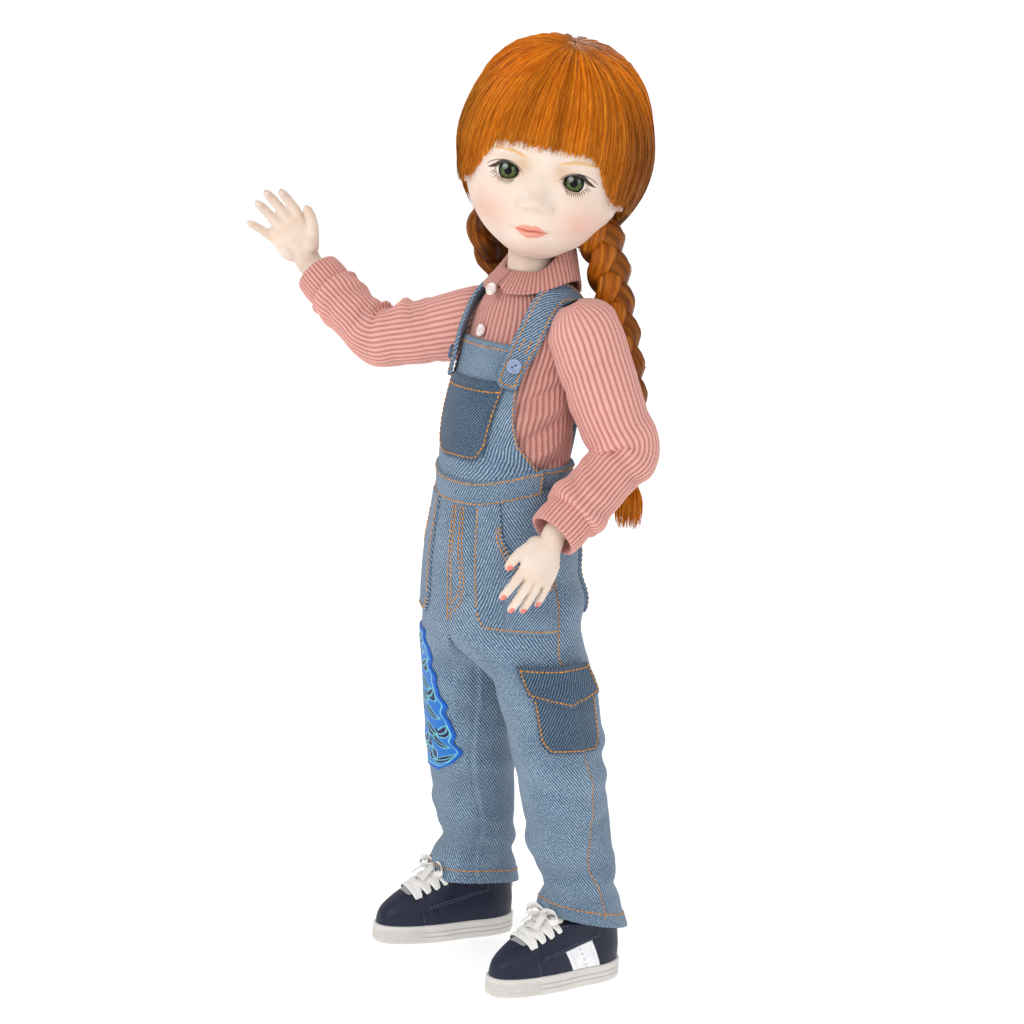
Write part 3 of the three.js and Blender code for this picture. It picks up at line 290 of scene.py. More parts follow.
def stitches(cloth, surface, route, offset, pitch=1.9, dash=1.45, width=0.62, tint=(1, 1, 1)):
    """Sewn dashes along a route of (u, v) pairs on a surface(u, v, offset)."""
    route = np.asarray(route, float)
    legs = run_along(route)
    keys = np.linspace(0, legs[-1], 40 * len(route))
    u = np.interp(keys, legs, route[:, 0])
    v = np.interp(keys, legs, route[:, 1])
    line = surface(u, v, np.full(len(u), offset))
    above = surface(u, v, np.full(len(u), offset + 1.0))
    run = run_along(line)
    places = np.arange(pitch / 2, run[-1], pitch)
    if len(places) < 2:
        return
    centre = sampled(places, run, line)
    over = sampled(places, run, above)
    before = sampled(places - STITCH_LOOK, run, line)
    ahead = sampled(places + STITCH_LOOK, run, line)
    t = unit(ahead - before + 1e-9)
    n = unit(over - centre)
    b = np.cross(t, n)
    reach = np.array([-0.5, -0.4, 0.0, 0.4, 0.5]) * dash
    girth = np.array([0.35, 0.85, 1.0, 0.85, 0.35]) * width / 2
    lift = np.array([-0.12, 0.0, 0.08, 0.0, -0.12])
    turn = full_turn(6)
    core = centre[:, None] + t[:, None] * reach[None, :, None] + n[:, None] * lift[None, :, None]
    side = np.cos(turn)[None, None, :, None] * girth[None, :, None, None]
    top = np.sin(turn)[None, None, :, None] * girth[None, :, None, None] * 0.8
    points = core[:, :, None] + b[:, None, None] * side + n[:, None, None] * top
    shade = 1 + 0.12 * rng.standard_normal(len(places))
    cloth.grids(points, True, None, np.asarray(tint)[None] * shade[:, None])


def ride(piece, body, *nodes):
    """Fixes a piece to one body, in place of the named solids."""
    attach(piece, body)
    if nodes:
        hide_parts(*nodes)
    return piece


def cut_flat(piece, wide, long, held, *under):
    """Takes a piece of cloth and its flat size in millimetres, and hands the piece back unchanged."""
    return piece


def bend(piece, first, second, start, end, *nodes):
    """Bakes a piece's place into its mesh and hides the named solids."""
    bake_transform(piece)
    if nodes:
        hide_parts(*nodes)
    return piece


def rgb(r, g, b):
    """A screen colour of 0 to 255 as a linear colour."""
    c = np.array([r, g, b]) / 255
    c = np.where(c <= 0.04045, c / 12.92, ((c + 0.055) / 1.055) ** 2.4)
    return (float(c[0]), float(c[1]), float(c[2]), 1.0)


def tint_of(r, g, b):
    return np.array(rgb(r, g, b)[:3])


class Look:
    """A node material that is put together step by step."""

    def __init__(self, name, sockets):
        self.material = bpy.data.materials.new(name)
        self.material.use_nodes = True
        self.tree = self.material.node_tree
        self.shader = self.tree.nodes["Principled BSDF"]
        for label, value in sockets.items():
            self.shader.inputs[label].default_value = value

    def node(self, kind, inputs=None, **settings):
        made = self.tree.nodes.new("ShaderNode" + kind)
        for label, value in settings.items():
            setattr(made, label, value)
        for label, value in (inputs or {}).items():
            self.feed(made.inputs[label], value)
        return made

    def feed(self, socket, value):
        if isinstance(value, bpy.types.NodeSocket):
            self.tree.links.new(value, socket)
        else:
            socket.default_value = value

    def math(self, operation, a, b=0.0):
        return self.node("Math", {0: a, 1: b}, operation=operation).outputs[0]

    def plus(self, value, other, weight):
        """A value plus another one times its weight."""
        return self.math("ADD", value, self.math("MULTIPLY", other, weight))

    def flat(self):
        """The mesh's flat coordinates in millimetres, and each of the two."""
        vector = self.node("UVMap", uv_map="mm").outputs[0]
        split = self.node("SeparateXYZ", {0: vector})
        return vector, split.outputs[0], split.outputs[1]

    def solid(self):
        """The piece's own coordinates in millimetres."""
        place = self.node("TexCoord").outputs["Object"]
        return self.node("VectorMath", {0: place, "Scale": 1000.0}, operation="SCALE").outputs[0]

    def noise(self, vector, scale, detail=2.0, stretch=None):
        if stretch:
            vector = self.node("Mapping", {0: vector, "Scale": stretch}).outputs[0]
        inputs = {"Vector": vector, "Scale": scale, "Detail": detail}
        return self.node("TexNoise", inputs).outputs[0]

    def ramp(self, factor, *stops):
        made = self.node("ValToRGB", {0: factor})
        band = made.color_ramp
        while len(band.elements) < len(stops):
            band.elements.new(0.5)
        for element, (place, colour) in zip(band.elements, stops):
            element.position = place
            element.color = colour
        return made.outputs[0]

    def level(self, factor, low, high):
        inputs = {0: factor, 3: low, 4: high}
        return self.node("MapRange", inputs).outputs[0]

    def mix(self, factor, a, b, kind="MIX"):
        made = self.node("Mix", {0: factor, 6: a, 7: b}, data_type="RGBA", blend_type=kind)
        return made.outputs[2]

    def tint(self):
        return self.node("Attribute", attribute_name="tint").outputs["Color"]

    def colour(self, value):
        self.feed(self.shader.inputs["Base Color"], value)

    def tinted(self, value):
        """The base colour times the tint of each point."""
        self.colour(self.mix(1.0, value, self.tint(), "MULTIPLY"))

    def rough(self, value):
        self.feed(self.shader.inputs["Roughness"], value)

    def bump(self, height, distance, strength=1.0):
        inputs = {"Height": height, "Distance": distance / 1000, "Strength": strength}
        self.feed(self.shader.inputs["Normal"], self.node("Bump", inputs).outputs[0])


def denim_look(name, dark, middle, pale):
    """Washed twill: slanting ribs, crossed by paler threads, with a tint for worn places and for painted light and
    shade on the folds.
    """
    look = Look(name, {"Sheen Weight": 0.15, "Sheen Roughness": 0.6, "Specular IOR Level": 0.2})
    vector, u, v = look.flat()
    drift = look.noise(vector, 0.22, 2)
    slant = look.plus(look.math("MULTIPLY", u, -0.85), v, 0.53)
    slant = look.plus(slant, drift, 0.9)
    wave = look.math("SINE", look.math("MULTIPLY", slant, 2 * math.pi / 0.96))
    wave = look.math("ADD", look.math("MULTIPLY", wave, 0.5), 0.5)
    weft = look.noise(vector, 1.0, 2, (0.9, 3.4, 1))
    warp = look.noise(vector, 1.0, 2, (4.2, 0.8, 1))
    wash = look.noise(vector, 0.045, 3)
    grain = look.plus(look.math("MULTIPLY", weft, 0.5), warp, 0.5)
    fleck = look.noise(vector, 1.0, 3, (1.9, 1.3, 1))
    broken = look.math("MULTIPLY", wave, look.level(fleck, -0.05, 0.85))
    value = look.plus(broken, grain, 0.7)
    value = look.plus(value, wash, 0.24)
    cloth = look.ramp(value, (0.42, dark), (0.7, middle), (0.98, pale))
    look.tinted(cloth)
    look.rough(look.level(grain, 0.78, 0.94))
    look.bump(look.math("ADD", look.math("MULTIPLY", wave, 0.6), grain), 0.2, 0.8)
    return look.material


def knit_look(name, pitch):
    """Ribbed jersey: loops that lean to and fro on each rib, with painted light on the ribs and painted shade in
    the grooves.
    """
    look = Look(name, {"Sheen Weight": 0.25, "Sheen Roughness": 0.5, "Specular IOR Level": 0.2})
    vector, u, v = look.flat()
    rib = look.math("COSINE", look.math("MULTIPLY", u, 2 * math.pi / pitch))
    loop = look.math("PINGPONG", look.math("DIVIDE", u, pitch / 2), 1.0)
    row = look.plus(look.math("DIVIDE", v, 0.95), loop, 0.9)
    row = look.math("SINE", look.math("MULTIPLY", row, 2 * math.pi))
    fuzz = look.noise(vector, 2.4, 3)
    # Painted light and shade of the ribs: lighter on each rib, darker in the grooves.
    lit = look.level(look.math("MULTIPLY", look.math("ADD", rib, 1.0), 0.62), 0.0, 0.5)
    value = look.plus(lit, row, 0.1)
    value = look.plus(value, fuzz, 0.42)
    stops = ((0.08, rgb(172, 104, 95)), (0.46, rgb(212, 152, 142)), (0.92, rgb(232, 180, 170)))
    look.tinted(look.ramp(value, *stops))
    look.rough(look.level(fuzz, 0.8, 0.95))
    look.bump(look.math("ADD", look.math("MULTIPLY", row, 0.35), fuzz), 0.16, 0.7)
    return look.material


def skin_look(name, tinted):
    """Matt cast vinyl, faintly see-through, with its blush and its painted shade in the tint."""
    sockets = {"Roughness": 0.5, "Subsurface Weight": 0.12, "Subsurface Scale": 0.004}
    sockets["Subsurface Radius"] = (1.0, 0.45, 0.3)
    sockets["Specular IOR Level"] = 0.35
    look = Look(name, sockets)
    place = look.solid()
    blotch = look.noise(place, 0.09, 3)
    grain = look.noise(place, 2.6, 2)
    base = look.ramp(blotch, (0.35, rgb(219, 200, 184)), (0.65, rgb(227, 209, 195)))
    if tinted:
        base = look.mix(1.0, base, look.tint(), "MULTIPLY")
    look.colour(base)
    look.rough(look.level(grain, 0.44, 0.56))
    look.bump(grain, 0.03, 0.5)
    return look.material


def hair_look(name):
    """Combed fibres: fine streaks along the strands over the tint of each lock."""
    look = Look(name, {"Roughness": 0.4, "Specular IOR Level": 0.16})
    vector, _, _ = look.flat()
    streak = look.noise(vector, 1.0, 3, (3.6, 0.09, 1))
    fine = look.noise(vector, 1.0, 2, (9.0, 0.16, 1))
    value = look.plus(look.math("MULTIPLY", streak, 0.6), fine, 0.4)
    stops = ((0.32, rgb(118, 54, 4)), (0.5, rgb(204, 108, 10)), (0.68, rgb(248, 176, 52)))
    look.tinted(look.ramp(value, *stops))
    look.rough(look.level(fine, 0.3, 0.5))
    look.bump(value, 0.22, 0.8)
    return look.material


def speckled_look(name, dark, pale, scale, rough, distance, extra=None):
    """A grained surface whose colour wanders between two close tones."""
    look = Look(name, {"Roughness": rough[0], **(extra or {})})
    place = look.solid()
    fine = look.noise(place, scale, 3)
    broad = look.noise(place, scale * 0.12, 2)
    value = look.plus(look.math("MULTIPLY", fine, 0.6), broad, 0.4)
    look.tinted(look.ramp(value, (0.3, dark), (0.7, pale)))
    look.rough(look.level(fine, *rough))
    look.bump(fine, distance, 0.8)
    return look.material


def bare_look(name, dark, pale, scale, rough, distance, extra=None):
    """The same kind of surface for solids that carry no tint."""
    look = Look(name, {"Roughness": rough[0], **(extra or {})})
    fine = look.noise(look.solid(), scale, 3)
    look.colour(look.ramp(fine, (0.3, dark), (0.7, pale)))
    look.rough(look.level(fine, *rough))
    look.bump(fine, distance, 0.8)
    return look.material


def woven_look(name, dark, pale, pitch):
    """A flat woven tape or thread: crossing yarns in both directions."""
    look = Look(name, {"Sheen Weight": 0.2, "Specular IOR Level": 0.25})
    vector, u, v = look.flat()
    turn = 2 * math.pi / pitch
    across = look.math("SINE", look.math("MULTIPLY", look.math("ADD", u, v), turn))
    back = look.math("SINE", look.math("MULTIPLY", look.math("SUBTRACT", u, v), turn))
    yarn = look.math("MULTIPLY", across, back)
    fuzz = look.noise(vector, 2.0, 2)
    value = look.math("ADD", look.level(yarn, 0.1, 0.7), look.math("MULTIPLY", fuzz, 0.3))
    look.tinted(look.ramp(value, (0.1, dark), (0.9, pale)))
    look.rough(look.level(fuzz, 0.75, 0.95))
    look.bump(value, 0.15, 0.8)
    return look.material


def clear_look(name):
    """Cast clear plastic with faint clouding."""
    sockets = {"Roughness": 0.12, "Transmission Weight": 0.35, "IOR": 1.49, "Coat Weight": 0.3}
    look = Look(name, sockets)
    cloud = look.noise(look.solid(), 0.3, 2)
    look.colour(look.ramp(cloud, (0.3, rgb(226, 206, 200)), (0.7, rgb(248, 236, 230))))
    look.rough(look.level(cloud, 0.06, 0.12))
    look.bump(cloud, 0.02, 0.3)
    return look.material


def print_look(name):
    """Stitched appliqué cloth: the drawing is in the tint, the thread in the bump."""
    look = Look(name, {"Sheen Weight": 0.2, "Specular IOR Level": 0.25})
    vector, u, v = look.flat()
    rows = look.math("SINE", look.math("MULTIPLY", look.math("ADD", u, v), 2 * math.pi / 0.7))
    fuzz = look.noise(vector, 2.2, 3)
    value = look.math("ADD", look.level(rows, 0.25, 0.65), look.math("MULTIPLY", fuzz, 0.3))
    cloth = look.ramp(value, (0.2, rgb(196, 196, 200)), (0.9, rgb(255, 255, 255)))
    look.tinted(cloth)
    look.rough(look.level(fuzz, 0.6, 0.85))
    look.bump(value, 0.12, 0.7)
    return look.material


def eye_look(name):
    """Painted eye under a thin clear coat."""
    sockets = {"Coat Weight": 0.14, "Coat Roughness": 0.02, "Roughness": 0.35, "Specular IOR Level": 0.06}
    look = Look(name, sockets)
    vein = look.noise(look.solid(), 1.6, 3)
    shade = look.ramp(vein, (0.3, rgb(226, 226, 226)), (0.7, rgb(255, 255, 255)))
    look.tinted(shade)
    look.rough(look.level(vein, 0.2, 0.3))
    look.bump(vein, 0.02, 0.4)
    return look.material


DENIM = denim_look("denim", rgb(44, 64, 88), rgb(98, 122, 146), rgb(168, 188, 204))
DENIM_DARK = denim_look("denim_dark", rgb(26, 42, 62), rgb(58, 80, 102), rgb(110, 132, 154))
KNIT = knit_look("knit", 3.0)
KNIT_FINE = knit_look("knit_fine", 1.5)
SKIN = skin_look("skin", True)
SKIN_PLAIN = skin_look("skin_plain", False)
HAIR = hair_look("hair")
THREAD = woven_look("thread", rgb(198, 124, 28), rgb(236, 164, 58), 0.5)
LACE = woven_look("lace", rgb(226, 222, 216), rgb(252, 250, 247), 0.8)
PATCH = print_look("patch")
CLEAR = clear_look("button_clear")
EYE = eye_look("eye")
LEATHER = speckled_look(
    "shoe_leather", rgb(19, 23, 41), rgb(31, 36, 59), 1.6, (0.36, 0.52), 0.1, {"Specular IOR Level": 0.3}
)
RUBBER = speckled_look("shoe_rubber", rgb(206, 201, 196), rgb(220, 216, 212), 1.2, (0.5, 0.68), 0.06)
BUTTON = speckled_look(
    "button_blue", rgb(124, 142, 176), rgb(156, 172, 200), 0.8, (0.24, 0.36), 0.03, {"Coat Weight": 0.35}
)
TIE = woven_look("hair_tie", rgb(110, 50, 14), rgb(178, 92, 30), 0.7)
LINER = speckled_look("lash_paint", rgb(30, 22, 20), rgb(58, 42, 38), 3.0, (0.5, 0.65), 0.02)
NAIL = speckled_look(
    "nail_paint", rgb(216, 104, 92), rgb(236, 132, 118), 1.4, (0.2, 0.32), 0.01, {"Coat Weight": 0.5}
)
BAND = speckled_look("shoe_band", rgb(226, 226, 230), rgb(248, 248, 250), 1.6, (0.42, 0.58), 0.05)
BROW = speckled_look("brow_paint", rgb(222, 168, 104), rgb(240, 198, 138), 3.0, (0.55, 0.7), 0.02)
ELASTIC = bare_look("elastic", rgb(212, 206, 198), rgb(238, 234, 228), 2.2, (0.7, 0.9), 0.08)
STEEL = bare_look(
    "steel", rgb(150, 152, 156), rgb(190, 192, 196), 1.4, (0.25, 0.42), 0.02, {"Metallic": 1.0}
)


# Height, half width, half depth and the middle's y.
TORSO_ROWS = (
    (HIP - 7.5, 15, 12, -2),
    (HIP - 2, 24, 17, -2),
    (HIP + 7, 27, 19, -2.5),
    (HIP + 20, 25.5, 19, -3.5),
    (WAIST, 22, 18.5, -4.5),
    (HIP + 56, 22.5, 20, -3.5),
    (HIP + 74, 22.5, 20.5, -1.5),
    (HIP + 90, 22.3, 18.4, 1.3),
    (HIP + 105, 23, 15.2, 3.6),
    (HIP + 113, 21, 13.8, 4.4),
    (HIP + 118.5, 17, 12.4, 4.8),
    (HIP + 123, 12.5, 11, 5),
)
SEAT_ROWS = (
    (LEG_TOP + 0.35, 36.5, 26.5, -2),
    (HIP + 3, 36, 27, -2),
    (HIP + 18, 33.4, 26.2, -3.4),
    (SEAT_TOP, 28.8, 24, -4.2),
    (HIP + 54, 27.6, 23.4, -4.2),
)
# Height, half width and half depth.
TROUSER_ROWS = (
    (HEM, 15.4, 16),
    (50, 16, 16.8),
    (70, 16.8, 18),
    (92, 18, 19.4),
    (115, 18.4, 20.6),
    (LEG_TOP, 18, 22.4),
)
SPLIT_Z = HIP - 54
SIDE_SEAM = 80.0
KNEE_ABOVE, KNEE_BELOW = 11.0, 13.0
# Rows inside the hem: height over its edge, and how far in.
HEM_TURN = ((7, 1.3), (3, 1.25), (0.3, 1.0), (-0.3, 0.4))
# Creases of a trouser leg: height, angle, slope in mm per degree, width, reach in degrees, depth.
CREASES = {
    "left": (
        (45, 25, 0.05, 3.0, 70, -1.5),
        (53, 5, -0.04, 3.4, 60, 1.0),
        (37, 55, 0.07, 2.6, 55, 1.0),
        (63, -20, 0.06, 4.0, 45, -0.9),
        (74, 60, -0.05, 3.6, 50, 0.7),
        (90, 135, -0.1, 3.4, 55, -1.1),
        (99, 150, 0.08, 3.2, 50, 1.0),
        (106, -15, 0.13, 4.0, 35, -0.8),
        (118, -5, 0.14, 4.0, 30, 0.7),
        (84, 312, 0, 22, 45, -1.8),
        (41, 319, 0.03, 8, 48, -3.4),
        (27, 319, 0, 6, 50, 1.0),
        (21, 180, 0, 9, 80, 3.2),
        (58, 330, -0.08, 3.0, 45, 0.9),
        (68, 110, 0.1, 3.2, 40, -1.0),
        (52, 128, -0.1, 2.8, 40, 1.0),
    ),
    "right": (
        (43, -45, 0.06, 3.0, 65, -1.5),
        (51, -15, -0.05, 3.4, 60, 1.0),
        (35, -65, -0.07, 2.6, 55, 1.0),
        (66, 0, -0.06, 4.0, 45, -0.9),
        (78, -60, 0.05, 3.6, 45, 0.7),
        (90, 135, 0.1, 3.4, 55, -1.1),
        (101, -50, 0.12, 4.0, 40, -0.9),
        (112, -30, 0.13, 4.0, 35, 0.8),
        (124, -35, 0.12, 3.6, 30, -0.7),
        (84, 228, 0, 22, 45, -1.8),
        (45, 41, 0.03, 9, 50, -3.0),
        (27, 41, 0, 7, 55, 2.6),
        (21, 180, 0, 9, 80, 3.2),
        (23, 0, 0, 6, 70, 3.0),
        (60, 60, 0.08, 3.0, 45, 0.9),
        (70, -40, -0.1, 3.2, 40, -1.0),
        (53, -75, 0.1, 2.8, 40, 1.0),
    ),
}


def torso_point(z, degrees, offset):
    """A point at a height and an angle from the front, off the body by an offset."""
    a, b, cy = rows_at(TORSO_ROWS, z)
    t = np.radians(degrees)
    return np.stack([(a + offset) * np.sin(t), cy - (b + offset) * np.cos(t), z + 0 * t], -1)


def leg_centre(side, z):
    """The middle of a trouser leg at a height."""
    hip = joint(f"{side}_hip_swing")
    ankle = joint(f"{side}_ankle_bend")
    share = (z - hip[2]) / (ankle[2] - hip[2])
    return [hip[k] + share * (ankle[k] - hip[k]) + (1.8 if k == 1 else 0) for k in (0, 1)]


def turned(phi, middle):
    """The angle from middle to phi, between -180 and 180 degrees."""
    return (phi - middle + 180) % 360 - 180


def leg_folds(side, z, phi):
    """Height of the folds on a trouser leg; phi 0 is the front and 90 the outer side."""
    s = SIGN[side]
    a = np.radians(s * phi)
    hem = hump(z, HEM + 13, 16) * np.sin(0.42 * (z - HEM) + 1.4 * np.sin(a + s))
    knee = hump(z, 84, 22) * (0.6 - 0.4 * np.cos(a)) * np.sin(0.4 * (z - 22) + 1.8 * s * np.sin(a))
    under = hump(z, LEG_TOP - 10, 10) * (0.5 - 0.5 * np.cos(a)) * np.sin(0.5 * (z - LEG_TOP))
    total = 0.9 * hem + 0.8 * knee + 0.7 * under
    for height, angle, slope, width, reach, depth in CREASES[side]:
        aside = turned(phi, angle)
        total = total + depth * bell(z, height + slope * aside, width) * bell(aside, 0, reach)
    seam = turned(phi, SIDE_SEAM + seam_sway(z))
    total = total + 0.6 * bell(seam, -3, 3.4) - 0.35 * bell(seam, 4, 2.4)
    inseam = turned(phi, 268 + (30 if side == "right" else -30) + 0.6 * seam_sway(z))
    return total + 0.55 * bell(inseam, 0, 3.4) - 0.4 * bell(inseam, 6, 3)


def seam_sway(z):
    """How far the side seam wanders with the folds, in degrees."""
    return 12 * bell(z, 82, 17) - 9 * bell(z, 52, 9) + 8 * bell(z, 33, 9)


def hem_height(side, phi):
    """The hem hangs lower at the back, and the right one rests on its shoe in front."""
    front = 2.0 if side == "left" else -2.0
    return HEM + front * bell(turned(phi, 0), 0, 60) - 7.0 * bell(turned(phi, 180), 0, 85)


def leg_point(side, z, phi, offset=0.0):
    """A point on one half of the overalls, from the waist to the hem."""
    s = SIGN[side]
    z = np.asarray(z, float)
    phi = np.asarray(phi, float)
    z, phi = np.broadcast_arrays(z, phi)
    a, b = rows_at(TROUSER_ROWS, z)
    cx, cy = leg_centre(side, z)
    t = np.radians(phi)
    fade = smooth((HIP + 12 - z) / 26)
    out = offset + leg_folds(side, z, phi) * fade
    leg = np.stack([cx + s * (a + out) * np.sin(t), cy - (b + out) * np.cos(t), z], -1)
    wide, deep, middle = rows_at(SEAT_ROWS, z)
    round_angle = turned(phi, 90) + 120
    psi = np.radians(np.clip(round_angle / 240, 0, 1) * 180)
    inner = np.clip((np.where(phi < 150, phi + 360, phi) - 210) / 120, 0, 1)
    inside = (round_angle < 0) | (round_angle > 240)
    seat_out = offset + 0.6 * np.sin(0.33 * (z - HIP)) * bell(psi, 2.4, 0.7)
    outer = np.stack([s * (wide + seat_out) * np.sin(psi), middle - (deep + seat_out) * np.cos(psi), z], -1)
    wall = np.stack([0 * z, middle + deep * (1 - 2 * inner), z], -1)
    seat = np.where(inside[..., None], wall, outer)
    w = smooth((z - (HIP - 30)) / 22)[..., None]
    return leg * (1 - w) + seat * w


def on_leg(side):
    """A surface(u, v, offset) whose u is the angle and v the height on one leg."""
    return lambda u, v, offset: leg_point(side, v, u, offset)


def band_low(degrees):
    """Height of the waistband's lower edge, which climbs towards the sides."""
    return HIP + 41.5 + 6.0 * smooth((np.abs(turned(degrees, 0)) - 12) / 75)


def phi_of(psi):
    """The angle on a leg for an angle round the seat."""
    return psi * 240 / 180 - 30


def bend_hip(piece, side, *nodes):
    """Hands a piece at the hip, with the torso and a thigh, to bend, which bakes it in place and hides the named
    solids.
    """
    s = SIGN[side]
    start = vec(0, 0, HIP - 4)
    end = vec(s * 24, 0, HIP - 23)
    return bend(piece, "torso", f"{side}_thigh", start, end, *nodes)


def bend_knee(piece, side, *nodes):
    """Hands a piece at the knee, with the thigh and the shin, to bend, which bakes it in place and hides the named
    solids.
    """
    knee = joint(f"{side}_knee_bend")
    above = knee + vec(0, 0, KNEE_ABOVE)
    below = knee - vec(0, 0, KNEE_BELOW)
    return bend(piece, f"{side}_thigh", f"{side}_shin", above, below, *nodes)


def wear_and_fold_shade(side, z, phi):
    """Paler cloth on the thigh and the knee from wear; fold ridges paler from wear and painted light, and painted
    shade in the fold hollows.
    """
    shade = 1 + 0.07 * bell(z, HIP - 34, 26) * bell(turned(phi, 20), 0, 60)
    # The knee is paler from wear; fold ridges are paler from wear and painted light, and painted shade darkens the
    # fold hollows.
    shade = shade + 0.05 * bell(z, 82, 14) + 0.05 * np.clip(leg_folds(side, z, phi), -1.5, 1.5)
    return np.repeat(shade[..., None], 3, -1)


def make_leg(side):
    """One trouser leg in two parts that share an edge, with the hem turned in."""
    s = SIGN[side]
    phi = np.linspace(-30, 330, 168, endpoint=False)
    hem = hem_height(side, phi)
    low_share = np.linspace(0, 1, 74)[:, None]
    psi = np.clip((turned(phi, 90) + 120) / 240, 0, 1) * 180
    top = band_low(psi) + 2.0
    share = np.linspace(0, 1, 80)[1:, None]
    low = hem[None] + (SPLIT_Z - hem[None]) * low_share
    high = SPLIT_Z + (top[None] - SPLIT_Z) * share
    z = np.concatenate([low, high])
    angle = np.broadcast_to(phi[None], z.shape)
    points = leg_point(side, z, angle)
    turn_in = [leg_point(side, hem + lift, phi, -out) for lift, out in HEM_TURN]
    points = np.concatenate([np.stack(turn_in), points])
    z = np.concatenate([np.repeat(hem[None], len(HEM_TURN), 0), z])
    angle = np.broadcast_to(phi[None], z.shape)
    normals = grid_normals(points, True, s < 0)
    tint = wear_and_fold_shade(side, z, angle)
    u = np.linspace(0, 108, len(phi) + 1)[None] + np.zeros((len(z), 1))
    height = np.concatenate([z, z[:, :1]], 1)
    uv = np.stack([-u * s, height], -1)
    split = len(HEM_TURN) + len(low)
    parts = {"lower": slice(0, split), "upper": slice(split - 1, len(z))}
    made = {}
    for label, rows in parts.items():
        cloth = Cloth()
        cloth.grid(points[rows], True, uv[rows], tint[rows], s < 0, normals[rows])
        made[label] = cloth.piece(f"{side}_trouser_{label}", DENIM, "denim")
    bend_knee(made["lower"], side, f"{side}_trouser_leg")
    seat = ("overalls_seat",) if side == "right" else ()
    bend_hip(made["upper"], side, *seat)
    cut_flat(made["lower"], 108, 78, "hung")
    cut_flat(made["upper"], 125, 113, "hung")


def sew(name, lines):
    """One piece of sewn thread from several lines of stitches."""
    cloth = Cloth()
    for surface, route, offset in lines:
        stitches(cloth, surface, route, offset)
    return cloth.piece(name, THREAD, "denim")


# The slanting front pocket opening: angle and height.
SLASH = (
    (26, HIP + 44),
    (27, HIP + 37),
    (29, HIP + 32),
    (36, HIP + 26.5),
    (47, HIP + 22),
    (62, HIP + 18),
    (82, HIP + 15),
)


def slash_height(phi):
    """Height of a front pocket's upper edge."""
    table = np.array(SLASH)
    return np.where(phi < 26, band_low((phi + 30) * 0.75) + 1.0, np.interp(phi, table[:, 0], table[:, 1]))


def make_front_pocket(side):
    """A front pocket with a slanting mouth, and its stitches."""

    def surface(u, v, offset):
        phi = SIDE_SEAM * u
        low = HIP - 5 + 7 * np.clip(1 - u / 0.1, 0, 1) ** 1.5
        z = low + (slash_height(phi) - low) * v
        return leg_point(side, z, phi, offset)

    cloth = Cloth()
    points = slab(surface, 74, 46, 0.1, 1.2)
    cloth.grid(points, flip=side == "left")
    panel = cloth.piece(f"{side}_front_panel", DENIM, "denim")
    bend_hip(panel, side, f"{side}_front_pocket")
    cut_flat(panel, 30, 41, "laid", f"{side}_trouser_upper")
    across = np.linspace(0.02, 0.985, 40)
    rise = 1.4 / (slash_height(SIDE_SEAM * across) - (HIP - 5))
    lines = [
        (surface, np.column_stack([across, rise + 0.02 * np.clip(1 - across / 0.1, 0, 1)]), 1.25),
        (surface, [(0.02, 0.08), (0.02, 0.98)], 1.25),
    ]
    mouth = np.array(SLASH)[1:]
    for inside in (1.3, 3.0):
        places = np.column_stack([mouth[:, 0] - inside * 1.6, mouth[:, 1] - inside * 0.9])
        lines.append((on_leg(side), places, 1.25))
    bend_hip(sew(f"{side}_front_panel_thread", lines), side)


def make_back_pocket(side):
    """A patch pocket with a pointed lower edge, and its stitches."""

    def surface(u, v, offset):
        psi = 172 - 38 * u
        point = 4.0 * (1 - np.abs(2 * u - 1)) * (1 - v)
        return leg_point(side, HIP - 1 - point + (27 + point) * v, phi_of(psi), offset)

    points = slab(surface, 40, 40, 0.1, 1.5)
    pocket = one_grid(f"{side}_rear_pocket", DENIM, "denim", points, flip=side == "right")
    bend_hip(pocket, side, f"{side}_back_pocket")
    cut_flat(pocket, 26, 30, "laid", f"{side}_trouser_upper")
    edge = [(0.05, 0.99), (0.05, 0.06), (0.5, 0.05), (0.95, 0.06), (0.95, 0.99)]
    lines = [(surface, edge, 1.55), (surface, [(0.03, 0.9), (0.97, 0.9)], 1.55)]
    bend_hip(sew(f"{side}_rear_pocket_thread", lines), side)


def make_leg_thread(side):
    """Stitches of the hem, the side seam, the middle seams and, on the left, the fly."""
    around = np.linspace(-30, 330, 90)
    ring = np.column_stack([around, hem_height(side, around) + 5.2])
    ride(sew(f"{side}_hem_thread", [(on_leg(side), ring, ON_CLOTH)]), f"{side}_shin")

    def side_seam(first, last):
        places = np.linspace(first, last, 40)
        return on_leg(side), np.column_stack([SIDE_SEAM + 3 + seam_sway(places), places]), ON_CLOTH

    upper = [side_seam(HIP + 44, SPLIT_Z + 1)]
    if side == "left":
        fly = [(-21, HIP + 41), (-20, HIP + 24), (-16, HIP + 14), (-19, HIP + 7), (-27, HIP + 2)]
        fly_in = [(-17, HIP + 41), (-16, HIP + 24), (-12, HIP + 13), (-16, HIP + 4), (-26, HIP - 1.5)]
        upper += [(on_leg(side), fly, ON_CLOTH), (on_leg(side), fly_in, ON_CLOTH)]
    for angle, top in ((-28, HIP + 41), (208, HIP + 46)):
        upper.append((on_leg(side), [(angle, top), (angle, HIP - 4)], ON_CLOTH))
    bend_hip(sew(f"{side}_seat_thread", upper), side)
    bend_knee(sew(f"{side}_seam_thread", [side_seam(SPLIT_Z - 0.5, HEM + 1)]), side)


CARGO_MIDDLE = 74


